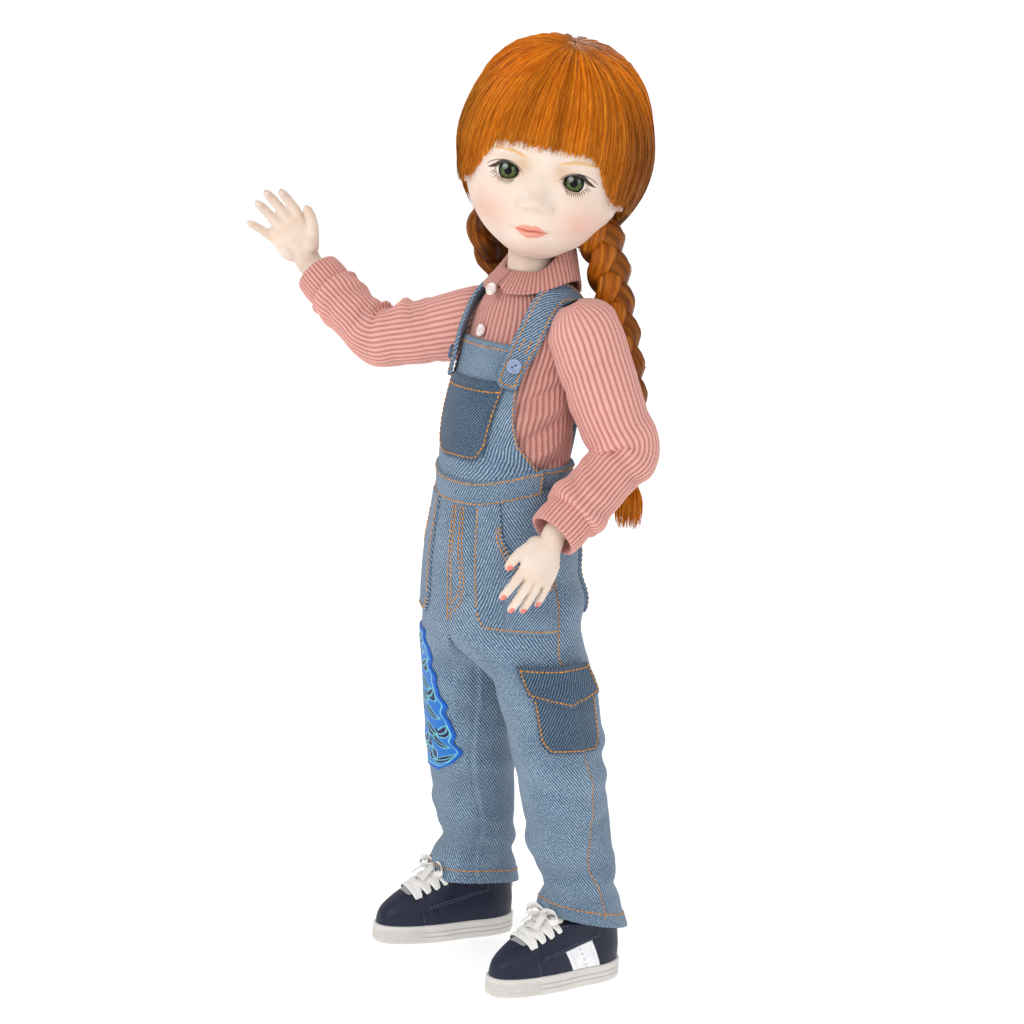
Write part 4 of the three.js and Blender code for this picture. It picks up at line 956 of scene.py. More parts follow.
def cargo_face(u, v, offset):
    """The thigh pocket's surface, with rounded lower corners and a slight swell."""
    corner = 3.2 * np.clip((np.abs(2 * u - 1) - 0.7) / 0.3, 0, 1) ** 2
    low = SPLIT_Z + 2.0 + corner
    swell = 0.9 * np.sin(np.pi * np.clip(u, 0, 1)) * np.sin(np.pi * np.clip(v, 0, 1))
    raised = offset + swell * (offset > 0.6)
    return leg_point("left", low + (HIP - 20 - low) * v, CARGO_MIDDLE + 72 * (u - 0.5), raised)


def flap_face(u, v, offset):
    """The pointed flap's surface."""
    point = 4.2 * np.clip(1 - np.abs(2 * u - 1), 0, 1)
    low = HIP - 29 - point
    raised = offset + 0.5 * np.sin(np.pi * v)
    return leg_point("left", low + (HIP - 17 - low) * v, CARGO_MIDDLE + 78 * (u - 0.5), raised)


def make_cargo():
    """The thigh pocket and its flap, which lifts on its own joint."""
    points = slab(cargo_face, 50, 48, 0.1, 1.9)
    bag = one_grid("cargo_bag", DENIM_DARK, "denim_dark", points, tint=(1.04, 1.04, 1.02))
    cut_flat(ride(bag, "left_thigh", "cargo_pocket"), 33, 33, "laid", "left_trouser_upper")
    edge = [(0.04, 0.95), (0.04, 0.12), (0.16, 0.04), (0.84, 0.04), (0.96, 0.12), (0.96, 0.95)]
    ride(sew("cargo_bag_thread", [(cargo_face, edge, 1.95)]), "left_thigh")
    flap = Cloth()
    flap.grid(slab(flap_face, 50, 24, 2.6, 4.0))
    flap.grid(slab(flap_face, 50, 24, 2.6, 2.6), flip=True)
    cover = ride(flap.piece("cargo_cover", DENIM_DARK, "denim_dark"), "cargo_flap", "cargo_flap")
    cut_flat(cover, 36, 30, "folded", "cargo_bag")
    edge = [(0.045, 0.95), (0.045, 0.13), (0.5, 0.09), (0.955, 0.13), (0.955, 0.95)]
    lines = [(flap_face, edge, 4.05), (flap_face, [(0.04, 0.9), (0.96, 0.9)], 4.05)]
    ride(sew("cargo_cover_thread", lines), "cargo_flap")


PATCH_LONG = 62.0
PATCH_OUTER = 76
# The patch's front edge: share of its height from below, and angle on the leg.
PATCH_EDGE = (
    (0, -4),
    (0.05, -20),
    (0.14, -35),
    (0.25, -30),
    (0.35, -25),
    (0.5, -14),
    (0.64, -6),
    (0.8, 0),
    (0.92, 5),
    (1, 15),
)


def patch_face(u, v, offset):
    """The patch's surface; u 1 is its lobed edge at the front of the leg."""
    (edge,) = rows_at(PATCH_EDGE, v)
    inner = edge + 2.6 * np.sin(36 * v) + 1.5 * np.sin(61 * v + 1)
    outer = PATCH_OUTER + 3 * np.sin(31 * v)
    return leg_point("right", HIP - 75 + PATCH_LONG * v, outer + (inner - outer) * u, offset)


def make_patch():
    """A sewn-on blue patch with rows of navy leaves outlined in pale blue."""
    points = slab(patch_face, 150, 220, 0.1, 0.9)
    rows, cols = points.shape[:2]
    u, v = np.meshgrid(np.linspace(0, 1, cols), np.linspace(0, 1, rows))
    (edge,) = rows_at(PATCH_EDGE, v)
    span = (PATCH_OUTER - edge) * 0.33
    x = (1 - u) * span
    y = v * PATCH_LONG
    border = tint_of(8, 104, 210)
    navy = tint_of(30, 32, 82)
    cyan = tint_of(126, 214, 232)
    tint = np.ones(points.shape) * tint_of(34, 124, 216)
    for row in range(9):
        for col in range(5):
            away = 5.2 + 7.4 * col + 3.4 * (row % 2)
            high = 5.5 + 6.5 * row + 1.2 * math.sin(2.1 * row + col)
            lean = math.radians(38 if (row + col) % 2 else -32)
            p = (x - away) * math.cos(lean) + (y - high) * math.sin(lean)
            q = (y - high) * math.cos(lean) - (x - away) * math.sin(lean)
            q = q - 0.08 * p * p
            inside = 1 - (p / 4.6) ** 2 - np.abs(q) / 2.3
            tint = np.where((inside > 0)[..., None], cyan, tint)
            tint = np.where(((inside > 0.2) & (np.abs(q) > 0.26))[..., None], navy, tint)
            bead = np.hypot(x - away - 3.7, y - high - 0.4)
            tint = np.where((bead < 0.75)[..., None], navy, tint)
    rim = np.minimum.reduce([x, span - x, y, PATCH_LONG - y])
    tint = np.where((rim < 2.6)[..., None], cyan, tint)
    tint = np.where((rim < 2.0)[..., None], border, tint)
    piece = one_grid("leg_applique", PATCH, "patch", points, tint=tint, flip=True)
    bend_knee(piece, "right", "leg_patch")
    cut_flat(piece, 33.5, PATCH_LONG, "laid", "right_trouser_upper")


BAND_HIGH = 9.6


def band_face(start, end):
    """The waistband's surface between two angles."""

    def surface(u, v, offset):
        degrees = start + (end - start) * u
        return torso_point(band_low(degrees) + BAND_HIGH * v, degrees, offset)

    return surface


# Half the bib's angle at each height.
BIB_HALF = (
    (HIP + 46, 80),
    (HIP + 56, 77),
    (HIP + 60, 68),
    (HIP + 66, 55),
    (HIP + 75, 48),
    (HIP + 90, 43),
    (HIP + 101, 38),
)


def bib_face(u, v, offset):
    """The bib's surface."""
    low = HIP + 47
    z = low + (BIB_HIGH - low) * v
    table = np.array(BIB_HALF)
    half = np.interp(z, table[:, 0], table[:, 1])
    return torso_point(z, (2 * u - 1) * half, offset)


def bib_pocket_face(u, v, offset):
    """The bib pocket's surface, with rounded lower corners."""
    corner = 4.5 * np.clip((np.abs(2 * u - 1) - 0.55) / 0.45, 0, 1) ** 2
    low = HIP + 59 + corner
    half = 27 + 6 * v
    swell = 0.5 * np.sin(np.pi * u) * np.sin(np.pi * v)
    raised = offset + swell * (offset > 5.6)
    return torso_point(low + (HIP + 89.5 - low) * v, (2 * u - 1) * half + 1.0, raised)


# The strap's route over the shoulder: height, angle from the front, distance from the body.
STRAP_STATIONS = (
    (HIP + 87.5, 35, 6.0),
    (HIP + 95, 36, 6.0),
    (HIP + 102, 38.5, 5.6),
    (HIP + 110.5, 45, 4.5),
    (HIP + 117.5, 57, 4.4),
    (HIP + 121.5, 76, 4.6),
    (HIP + 122, 98, 4.4),
    (HIP + 117.5, 120, 4.0),
    (HIP + 108, 138, 3.7),
    (HIP + 92, 152, 3.6),
    (HIP + 74, 160, 3.6),
    (HIP + 62, 165, 3.8),
    (HIP + 52, 168, 4.0),
)


def make_strap(side):
    """A doubled strap from the bib over the shoulder to the waistband, with its button."""
    s = SIGN[side]
    stations = np.array(STRAP_STATIONS, float)
    route = torso_point(stations[:, 0], s * stations[:, 1], stations[:, 2])
    path = along(route, 150)
    core = np.stack([0 * path[:, 0], np.full(len(path), 3.0), np.minimum(path[:, 2], SHOULDER - 2)], -1)
    _, across, top = path_axes(path, unit(path - core))
    run = np.linspace(0, 1, len(path))
    rounded = np.clip(run / 0.016, 0, 1)
    half = (4.3 + 0.8 * smooth((run - 0.05) / 0.1)) * np.sqrt(rounded * (2 - rounded))
    half = np.maximum(half, 2.4)

    def surface(u, v, offset):
        aside = (2 * u - 1) * np.interp(v, run, half)
        wide = sampled(v, run, across) * aside[..., None]
        return sampled(v, run, path) + wide + sampled(v, run, top) * offset[..., None]

    cloth = Cloth()
    cloth.grid(slab(surface, 14, 150, 0.0, 1.5, 0.3))
    cloth.grid(slab(surface, 14, 150, 0.0, 0.0, 0.0), flip=True)
    strap = ride(cloth.piece(f"{side}_shoulder_strap", DENIM, "denim"), "torso", f"{side}_strap")
    cut_flat(strap, 20, 142, "folded")
    lines = [(surface, [(u, 0.012), (u, 0.99)], 1.52) for u in (0.14, 0.86)]
    lines.append((surface, [(0.14, 0.012), (0.86, 0.012)], 1.52))
    lines += [(surface, [(u, 0.12), (u, 0.16)], 1.54) for u in (0.36, 0.64)]
    ride(sew(f"{side}_strap_thread", lines), "torso")
    spot, over = (surface(np.array([0.5]), np.array([0.072]), np.array([lift]))[0] for lift in (1.6, 2.6))
    # Painted shade: the right strap's button is the left one's button, darkened.
    tint = (1, 1, 1) if side == "left" else (0.22, 0.26, 0.36)
    kind = (2.9, 1.5, 2, BUTTON, "button_blue", tint)
    make_button(f"{side}_strap_disc", spot, over - spot, *kind, f"{side}_strap_button")


# A button's section from the middle of its face over the rim to its back: radius and height, as shares.
BUTTON_SECTION = (
    (0.01, 0.62),
    (0.12, 0.62),
    (0.25, 0.62),
    (0.36, 0.63),
    (0.46, 0.64),
    (0.56, 0.66),
    (0.64, 0.74),
    (0.72, 0.95),
    (0.8, 1.0),
    (0.9, 0.97),
    (0.97, 0.8),
    (1.0, 0.5),
    (0.96, 0.15),
    (0.8, 0.0),
    (0.01, 0.0),
)


def make_button(name, centre, facing, radius, thick, holes, look, slot, tint, node):
    """A turned button: raised rim, dished middle and thread holes, with its back closed."""
    z = unit(facing)
    x = unit(np.cross(vec(0, 0, 1), z))
    y = np.cross(z, x)
    section = np.array(BUTTON_SECTION)
    places = np.linspace(0, len(section) - 1, 40)
    r = np.interp(places, np.arange(len(section)), section[:, 0]) * radius
    h = np.interp(places, np.arange(len(section)), section[:, 1]) * thick
    turn = full_turn(56)
    px = r[:, None] * np.cos(turn)
    py = r[:, None] * np.sin(turn)
    high = np.broadcast_to(h[:, None], px.shape).copy()
    colour = np.ones(px.shape + (3,)) * np.asarray(tint)
    front = (np.arange(len(r)) < 22)[:, None]
    for k in range(holes):
        angle = 2 * np.pi * k / holes + (0.5 if holes == 2 else 0.785)
        away = np.hypot(px - 0.27 * radius * np.cos(angle), py - 0.27 * radius * np.sin(angle))
        sunk = front * (1 - smooth((away / radius - 0.09) / 0.06))
        high -= 0.5 * thick * sunk
        # Painted shade in the sunk thread holes.
        colour *= (1 - 0.82 * sunk)[..., None]
    points = centre + px[..., None] * x + py[..., None] * y + high[..., None] * z
    ride(one_grid(name, look, slot, points, True, tint=colour), "torso", node)


def make_waistband():
    """The waistband: one piece round the back and one over it in front."""
    band = Cloth()
    rear = band_face(70, 290)
    front = band_face(-80, 80)
    band.grid(slab(rear, 150, 16, 2.4, 4.9))
    band.grid(slab(front, 130, 16, 3.0, 6.0))
    waist = ride(band.piece("waist_band", DENIM, "denim"), "torso", "overalls_waistband")
    cut_flat(waist, 180, 14, "stretched")
    ends = [(0.015, 0.1), (0.015, 0.9), (0.985, 0.9), (0.985, 0.1), (0.015, 0.1)]
    lines = [(front, ends, 6.05)] + [(rear, [(0.0, v), (1.0, v)], 4.95) for v in (0.12, 0.88)]
    ride(sew("waist_band_thread", lines), "torso")


def make_bib():
    """The doubled bib, its pocket and their stitches."""
    bib = Cloth()
    bib.grid(slab(bib_face, 96, 80, 3.0, 5.0))
    bib.grid(slab(bib_face, 40, 40, 3.0, 3.0), flip=True)
    front = ride(bib.piece("bib_front", DENIM, "denim"), "torso", "overalls_bib")
    cut_flat(front, 104, 58, "folded")
    bag = one_grid("bib_bag", DENIM_DARK, "denim_dark", slab(bib_pocket_face, 60, 44, 5.0, 6.4))
    cut_flat(ride(bag, "torso", "bib_pocket"), 33, 32, "laid", "bib_front")
    edge = [(0.985, 1 - t) for t in np.linspace(0.03, 0.93, 30)]
    other = [(0.015, t) for t in np.linspace(0.07, 0.97, 30)]
    sides = [(0.03, 0.98), (0.03, 0.14), (0.12, 0.05), (0.88, 0.05), (0.97, 0.14), (0.97, 0.98)]
    lines = [
        (bib_face, edge, 5.05),
        (bib_face, other, 5.05),
        (bib_face, [(0.02, 0.965), (0.98, 0.965)], 5.05),
        (bib_pocket_face, sides, 6.45),
        (bib_pocket_face, [(0.02, 0.87), (0.98, 0.87)], 6.45),
    ]
    ride(sew("bib_thread", lines), "torso")


def make_overalls():
    for side in SIDES:
        make_leg(side)
        make_leg_thread(side)
        make_front_pocket(side)
        make_back_pocket(side)
        make_strap(side)
    make_cargo()
    make_patch()
    make_waistband()
    make_bib()


# Creases of the shirt, as for a trouser leg, with heights from the hips.
SHIRT_CREASES = (
    (84, 66, 0.2, 2.3, 24, -2.2),
    (78, 74, 0.14, 2.4, 22, 1.6),
    (70, 72, 0.22, 2.2, 26, -2.2),
    (63, 80, 0.2, 2.4, 24, 1.5),
    (57, 84, 0.16, 2.0, 22, -1.4),
    (80, -66, -0.16, 2.4, 24, -1.4),
    (70, -74, 0.14, 2.4, 24, 1.1),
    (95, 78, 0.2, 2.6, 18, -1.2),
    (72, 150, 0.1, 3.0, 40, -0.9),
    (84, 200, -0.1, 3.0, 40, 0.8),
)


# Painted shade: the shirt's body and collar are darkened against the sleeves of the same knit.
KNIT_PAINTED_SHADE = (0.8, 0.77, 0.76)
# Radius, thickness, holes, look, slot and tint of a shirt button.
CLEAR_BUTTON = (2.5, 1.4, 4, CLEAR, "button_clear", (1, 1, 1))


def rib_height(place, high):
    """Rounded ribs with narrow grooves; place counts ribs."""
    from_groove = np.abs(place % 1.0 - 0.5)
    return high * (1 - 2 * bell(from_groove, 0, 0.2))


def make_shirt_body():
    """The ribbed body of the shirt and its lower button."""
    ribs = 62
    cols = ribs * 8
    place = np.arange(cols + 1) / 8.0
    degrees = place[:-1] * 360 / ribs
    heights = np.linspace(HIP + 44, HIP + 122.5, 96)
    z = heights[:, None] + np.zeros(cols)
    angle = degrees[None] + np.zeros((len(heights), 1))
    offset = 2.5 + rib_height(place[:-1], 0.34)[None] * smooth((HIP + 124 - z) / 6)
    for height, middle, slope, width, reach, depth in SHIRT_CREASES:
        aside = turned(angle, middle)
        offset = offset + depth * bell(z, HIP + height + slope * aside, width) * bell(aside, 0, reach)
    points = torso_point(z, angle, np.maximum(offset, 0.8))
    uv = np.stack(np.broadcast_arrays(place[None] * 3.0, heights[:, None]), -1)
    made = one_grid("shirt_front_back", KNIT, "knit", points, True, uv, KNIT_PAINTED_SHADE)
    body = ride(made, "torso", "shirt_body")
    cut_flat(body, 155, 82, "stretched")
    height = np.array([HIP + 106.0])
    spot, over = (torso_point(height, np.array([-12.0]), np.array([out]))[0] for out in (3.2, 4.2))
    facing = over - spot + vec(0, 0, 0.3)
    make_button("shirt_disc_lower", spot, facing, *CLEAR_BUTTON, "shirt_button_lower")


def collar_profile(theta):
    """Radius and height at the fold and at the free edge of the collar."""
    back = smooth((1 - np.cos(np.radians(theta))) / 2)
    side = np.abs(np.sin(np.radians(theta)))
    fold_radius = 11.2 + 1.0 * side + 1.2 * back
    fold_z = HIP + 129 + 11 * smooth(back * 1.25)
    edge_radius = 17.6 + 1.8 * side
    edge_z = HIP + 121.8 + 4.5 * smooth(back * 1.2) - 5.5 * smooth((back - 0.8) / 0.2)
    edge_z = edge_z + 2.2 * bell(np.abs(turned(theta, 0)), 82, 34)
    return fold_radius, fold_z, edge_radius, edge_z


def make_collar():
    """The ribbed collar, one grid from its stand over the fold and round the edge, and the upper button."""
    ribs = 66
    cols = ribs * 6
    place = np.arange(cols + 1) / 6.0
    start, end = 0.5, 359.0
    theta = start + (end - start) * place / ribs
    fold_radius, fold_z, edge_radius, edge_z = collar_profile(theta)
    near_end = np.minimum(theta - start, end - theta)
    corner = 1 - smooth(near_end / 16)
    edge_z = edge_z + 2.6 * corner ** 2
    base_radius = 10.9
    base_z = HIP + 119
    rows = []
    for t in np.linspace(0, 1, 9):
        r = base_radius + (fold_radius - 0.9 - base_radius) * t
        rows.append((r, base_z + (fold_z - 0.8 - base_z) * t))
    for t in np.linspace(-0.6, 0.6, 5) * np.pi / 2:
        rows.append((fold_radius + 1.0 * np.sin(t), fold_z + 0.7 * np.cos(t) - 0.1))
    for t in np.linspace(0.08, 1, 16):
        r = fold_radius + 1.1 + (edge_radius - fold_radius - 1.1) * t ** 0.9
        rows.append((r, fold_z - 0.3 + (edge_z - fold_z + 0.3) * t))
    rows.append((edge_radius - 0.5, edge_z - 0.5))
    rows.append((edge_radius - 1.3, edge_z - 0.1))
    for t in np.linspace(0.15, 1, 6):
        r = edge_radius - 1.4 + (fold_radius + 0.2 - edge_radius + 1.4) * t
        rows.append((r, edge_z + (fold_z - 1.6 - edge_z) * t))
    ridge = rib_height(place, 0.26)
    angle = np.radians(theta)
    points = []
    for k, (r, z) in enumerate(rows):
        r = r + ridge * (0.4 if k < 9 or k > 31 else 1.0) + 0 * theta
        lean = 0.12 * (z - HIP - 122)
        points.append(np.stack([r * np.sin(angle), 5.2 + lean - r * np.cos(angle) * 0.98, z + 0 * theta], -1))
    points = np.stack(points)
    down = run_along(points[:, 0])
    uv = np.stack(np.broadcast_arrays(place[None] * 1.5, down[:, None]), -1)
    made = one_grid("shirt_turndown", KNIT_FINE, "knit", points, False, uv, KNIT_PAINTED_SHADE)
    cut_flat(ride(made, "torso", "shirt_collar"), 100, 42, "folded")
    spot = vec(-0.8, -13.9, HIP + 122.5)
    make_button("shirt_disc_upper", spot, vec(0.0, -1, 0.35), *CLEAR_BUTTON, "shirt_button_upper")


def arm_route(side):
    """Shoulder, elbow and the directions of upper arm and forearm."""
    shoulder = joint(f"{side}_shoulder_swing")
    elbow = joint(f"{side}_elbow_bend")
    wrist = joint(f"{side}_wrist_turn")
    return shoulder, elbow, unit(elbow - shoulder), unit(wrist - elbow)


# Length along the sleeve from the shoulder, and radius.
SLEEVE_ROWS = {
    "right": ((-11, 13.2), (0, 13.8), (16, 13.0), (34, 11.9), (47, 11.3), (60, 10.4), (70, 10.6), (76, 11.3)),
    "left": ((-11, 13.2), (0, 14.0), (16, 14.0), (34, 13.3), (47, 12.5), (60, 11.0), (72, 11.0), (80, 11.9)),
}
SHOULDER_LIFT = {"right": vec(1.5, 0, -0.6), "left": vec(0.2, 3.0, 4.2)}
ELBOW_SHIFT = {"right": 3.0, "left": 1.4}
CUFF_SHIFT = {"right": -2.0, "left": 3.5}
SLEEVE_FLAT = {"right": (77, 87), "left": (82, 91)}
SLEEVE_SEED = {"right": 23, "left": 17}
SLEEVE_HEAD = 11
# Creases in the crook of the elbow, as for a trouser leg, with lengths from the elbow.
PINCHES = {
    "right": (
        (-13, 8, 0.05, 2.3, 46, 2.3),
        (-7.5, 0, 0.03, 2.4, 50, -1.5),
        (-2, -6, -0.05, 2.3, 48, 2.4),
        (3.5, 0, 0.0, 2.2, 46, -1.9),
    ),
    "left": (
        (-6, 0, 0.05, 2.6, 46, 1.5),
        (-1, 4, -0.04, 1.8, 52, -2.4),
        (3.5, 0, 0.06, 2.2, 46, 1.5),
        (7.5, -8, -0.03, 2.0, 40, -1.3),
    ),
}


def make_sleeve(side):
    """A ribbed sleeve with creases at the elbow and along it."""
    shoulder, elbow, upper, fore = arm_route(side)
    inner = unit(fore - upper)
    lift = SHOULDER_LIFT[side]
    shift = ELBOW_SHIFT[side]
    stations = [
        shoulder - SLEEVE_HEAD * upper + lift,
        shoulder + lift,
        shoulder + 12 * upper + lift * 0.6,
        shoulder + 33.5 * upper + 0.3 * shift * inner,
        elbow + shift * inner,
        elbow + 14 * fore + 0.3 * shift * inner,
        elbow + (33.5 + CUFF_SHIFT[side]) * fore,
    ]
    path = along(stations, 170)
    run = run_along(path) - SLEEVE_HEAD
    end = run[-1]
    (radius,) = rows_at(SLEEVE_ROWS[side], run)
    dome = np.sqrt(np.clip(1 - (np.clip(-run, 0, SLEEVE_HEAD) / 11.4) ** 2, 0.02, 1))
    gather = 1 - 0.3 * smooth((run - (end - 2.6)) / 2.6)
    radius = radius * dome * gather
    _, across, top = carried_axes(path, inner)
    ribs = 36
    cols = ribs * 8
    place = np.arange(cols + 1) / 8.0
    turn = 2 * np.pi * place[:-1] / ribs
    degrees = np.degrees(turn)[None]
    middle = run[np.argmin(np.linalg.norm(path - elbow, axis=1))]
    at_elbow = run[:, None] - middle
    inward = np.cos(turn)[None]
    wave = np.sin(0.62 * at_elbow + 1.6 * np.sin(turn[None] + 0.7))
    folds = 0.7 * hump(at_elbow, 0, 20) * (0.6 + 0.4 * inward) * wave
    ripple = np.sin(0.55 * run[:, None] + 2.2 * np.sin(turn[None] * 2 + 1))
    folds = folds + 0.6 * hump(run[:, None], end - 7, 11) * ripple
    for height, angle, slope, width, reach, depth in PINCHES[side]:
        aside = turned(degrees, angle)
        folds = folds + depth * bell(at_elbow, height + slope * aside, width) * bell(aside, 0, reach)
    chance = np.random.default_rng(SLEEVE_SEED[side])
    for _ in range(16):
        aside = turned(degrees, chance.uniform(0, 360))
        height = chance.uniform(2, end - 6) + chance.uniform(-0.16, 0.16) * aside
        depth = chance.uniform(0.4, 0.95) * chance.choice([-1, 1])
        crease = depth * bell(run[:, None], height, chance.uniform(1.8, 3.4))
        folds = folds + crease * bell(aside, 0, chance.uniform(28, 60))
    inset = smooth((run + 10) / 10)[:, None] * gather[:, None]
    ridge = rib_height(place[:-1], 0.3)[None] * inset
    reach = radius[:, None] + folds * inset + ridge
    ring = top[:, None] * np.cos(turn)[None, :, None] + across[:, None] * np.sin(turn)[None, :, None]
    points = path[:, None] + ring * reach[..., None]
    uv = np.stack(np.broadcast_arrays(place[None] * 3.0, run[:, None]), -1)
    # Painted light and shade of the folds: lighter on their ridges, darker in their hollows.
    shade = np.clip(1 + 0.06 * folds, 0.8, 1.1)[..., None] * np.ones(3)
    cloth = Cloth()
    normals = grid_normals(points, True, True)
    seam = int(np.argmax(run > -3))
    for rows in (slice(0, seam + 1), slice(seam, len(run))):
        cloth.grid(points[rows], True, uv[rows], shade[rows], True, normals[rows])
    piece = cloth.piece(f"{side}_knit_sleeve", KNIT, "knit")
    reach = 9 * unit(upper + fore)
    bend(piece, f"{side}_upper_arm", f"{side}_forearm", elbow - reach, elbow + reach, f"{side}_sleeve")
    cut_flat(piece, *SLEEVE_FLAT[side], "gathered")


def make_cuff(side):
    """A ribbed cuff with both edges turned in."""
    _, elbow, upper, fore = arm_route(side)
    ribs = 36
    cols = ribs * 7
    place = np.arange(cols + 1) / 7.0
    turn = 2 * np.pi * place[:-1] / ribs
    rows = [(30.5, 8.3), (31.5, 8.9)]
    rows += [(32 + d, 9.1 + 0.35 * math.sin(d / 10 * math.pi)) for d in np.linspace(0.3, 10, 16)]
    rows += [(42.5, 8.9), (42.8, 8.2), (42.3, 7.7), (39, 7.5), (35, 7.4)]
    rows = np.array(rows) + np.array([CUFF_SHIFT[side], 0.8 if side == "left" else 0.1])
    side_way = unit(np.cross(fore, upper))
    top = np.cross(side_way, fore)
    ridge = rib_height(place[:-1], 0.3)[None] * np.ones((len(rows), 1))
    ridge[-3:] *= 0.4
    reach = rows[:, 1][:, None] + ridge
    around = top * np.cos(turn)[:, None] + side_way * np.sin(turn)[:, None]
    points = elbow + rows[:, 0][:, None, None] * fore + around[None] * reach[..., None]
    down = run_along(rows)
    uv = np.stack(np.broadcast_arrays(place[None] * 1.5, down[:, None]), -1)
    made = one_grid(f"{side}_knit_cuff", KNIT_FINE, "knit", points, True, uv, (0.97, 0.95, 0.95))
    cuff = ride(made, f"{side}_forearm", f"{side}_cuff")
    cut_flat(cuff, 58, 25, "folded")


def make_shirt():
    make_shirt_body()
    make_collar()
    for side in SIDES:
        make_sleeve(side)
        make_cuff(side)


def spin(axis, degrees):
    return np.array(Matrix.Rotation(math.radians(degrees), 3, axis))


HEAD_SPIN = spin("Z", 44.5) @ spin("Y", 8) @ spin("X", 5)
HEAD_PIVOT = vec(-0.3, 4.4, HIP + 135.5)
# Height, half width, and depth in front and behind.
HEAD_ROWS = (
    (1, 9, 12, 12),
    (4.5, 13.5, 21.5, 16),
    (9, 19.5, 27.6, 22),
    (16, 25.5, 30.6, 28),
    (25, 29.5, 31.6, 33),
    (36, 31.5, 32, 36),
    (48, 31.5, 32.5, 36.5),
    (60, 29.2, 30.5, 34),
    (69, 24.5, 25.5, 28.5),
    (75.4, 16.5, 17, 19),
    (78.4, 8, 8.5, 9),
    (79.4, 0.4, 0.4, 0.4),
)
ROUND = 2.15
EYE_X, EYE_Z = 12.4, 35.3
BALL_X, BALL_Y, BALL_RADIUS = 11.4, -19.9, 9.0
MOUTH_Z = 15.3
EYE_SLIDE, EYE_HALF = 0.4, 4.85


def head_point(local):
    """A point of the head's own frame in the doll's frame."""
    return np.asarray(local, float) @ HEAD_SPIN.T + HEAD_PIVOT


def form_radius(z, theta):
    """Distance from the head's axis to its plain form, theta 0 in front."""
    wide, front, back = rows_at(HEAD_ROWS, z)
    deep = np.where(np.cos(theta) > 0, front, back)
    return (np.abs(np.sin(theta) / wide) ** ROUND + np.abs(np.cos(theta) / deep) ** ROUND) ** (-1 / ROUND)


def form_y(x, z):
    """The y of the plain head form's front."""
    wide, front, _ = rows_at(HEAD_ROWS, z)
    return -front * np.clip(1 - np.abs(x / wide) ** ROUND, 0.02, 1) ** (1 / ROUND)


def spot(x, z, mx, mz, wx, wz):
    """A soft round patch."""
    return np.exp(-(((x - mx) / wx) ** 2) - ((z - mz) / wz) ** 2)


def mouth_line(x):
    """Height of the line between the lips."""
    return MOUTH_Z + 0.1 - 0.3 * bell(x, -0.9, 1.3) + 0.12 * bell(x, 1.2, 1.2) - 0.006 * x * x


def lip_top(x):
    arch = np.clip(1 - (np.abs(x) / 6.5) ** 1.8, 0, 1)
    return mouth_line(x) + 2.5 * arch * (1 - 0.2 * bell(x, 0, 1.1))


def lip_low(x):
    return mouth_line(x) - 2.9 * np.clip(1 - (np.abs(x) / 6.0) ** 2.3, 0, 1)


def lid_high(e):
    return 3.25 * np.clip(1 - np.abs((e - EYE_SLIDE) / EYE_HALF) ** 2.5, 0, 1) ** 0.7 - 0.04 * e


def lid_low(e):
    return -3.3 * np.clip(1 - np.abs((e - EYE_SLIDE) / EYE_HALF) ** 2.5, 0, 1) ** 0.7 - 0.04 * e


def relief(x, z):
    """How far the modelled face stands out of the plain form."""
    a = np.abs(x)
    out = -1.5 * spot(a, z, 10.6, 36.4, 6.6, 5.6) + 1.1 * spot(a, z, 12.2, EYE_Z, 6.0, 4.6)
    out += 0.5 * spot(a, z, 12, 43.5, 9, 3.6)
    out += 1.3 * bell(x, 0, 3.6) * smooth((42 - z) / 14) * smooth((z - 22) / 4)
    out += 4.2 * spot(x, z, 0, 26.6, 4.4, 4.2)
    out += 1.8 * spot(a, z, 4.7, 24.9, 2.3, 2.2)
    out -= 0.45 * spot(a, z, 2.8, 22.7, 1.3, 0.9)
    out -= 0.35 * spot(x, z, 0, 19.9, 1.3, 1.8)
    out += 1.3 * spot(x, z, 0, 16, 8.5, 5.5)
    upper = np.clip((lip_top(x) - z) / 2.4, 0, 1) * np.clip((z - mouth_line(x)) / 0.9, 0, 1)
    lower = np.clip((z - lip_low(x)) / 2.4, 0, 1) * np.clip((mouth_line(x) - z) / 0.9, 0, 1)
    out += 0.9 * smooth(upper * 1.7) + 1.15 * smooth(lower * 1.6)
    out -= 0.55 * np.exp(-((x / 6.6) ** 6)) * bell(z, mouth_line(x), 0.42)
    out -= 0.5 * spot(a, z, 6.9, 15.0, 1.4, 1.3)
    out -= 0.5 * spot(x, z, 0, 10.4, 5, 1.8)
    out += 1.0 * spot(x, z, 0, 6.4, 6, 4)
    out += 0.9 * spot(a, z, 15, 20, 7, 7)
    return out


def eye_place(x, z):
    """Outward distance from an eye's middle, and how deep inside its opening a point lies."""
    e = np.abs(x) - EYE_X
    h = z - EYE_Z
    inside = np.minimum(lid_high(e) - h, h - lid_low(e))
    return e, np.where(np.abs(e - EYE_SLIDE) < EYE_HALF, inside, -1.0)


def face_y(x, z):
    """The y of the modelled face."""
    return form_y(x, z) - relief(x, z)


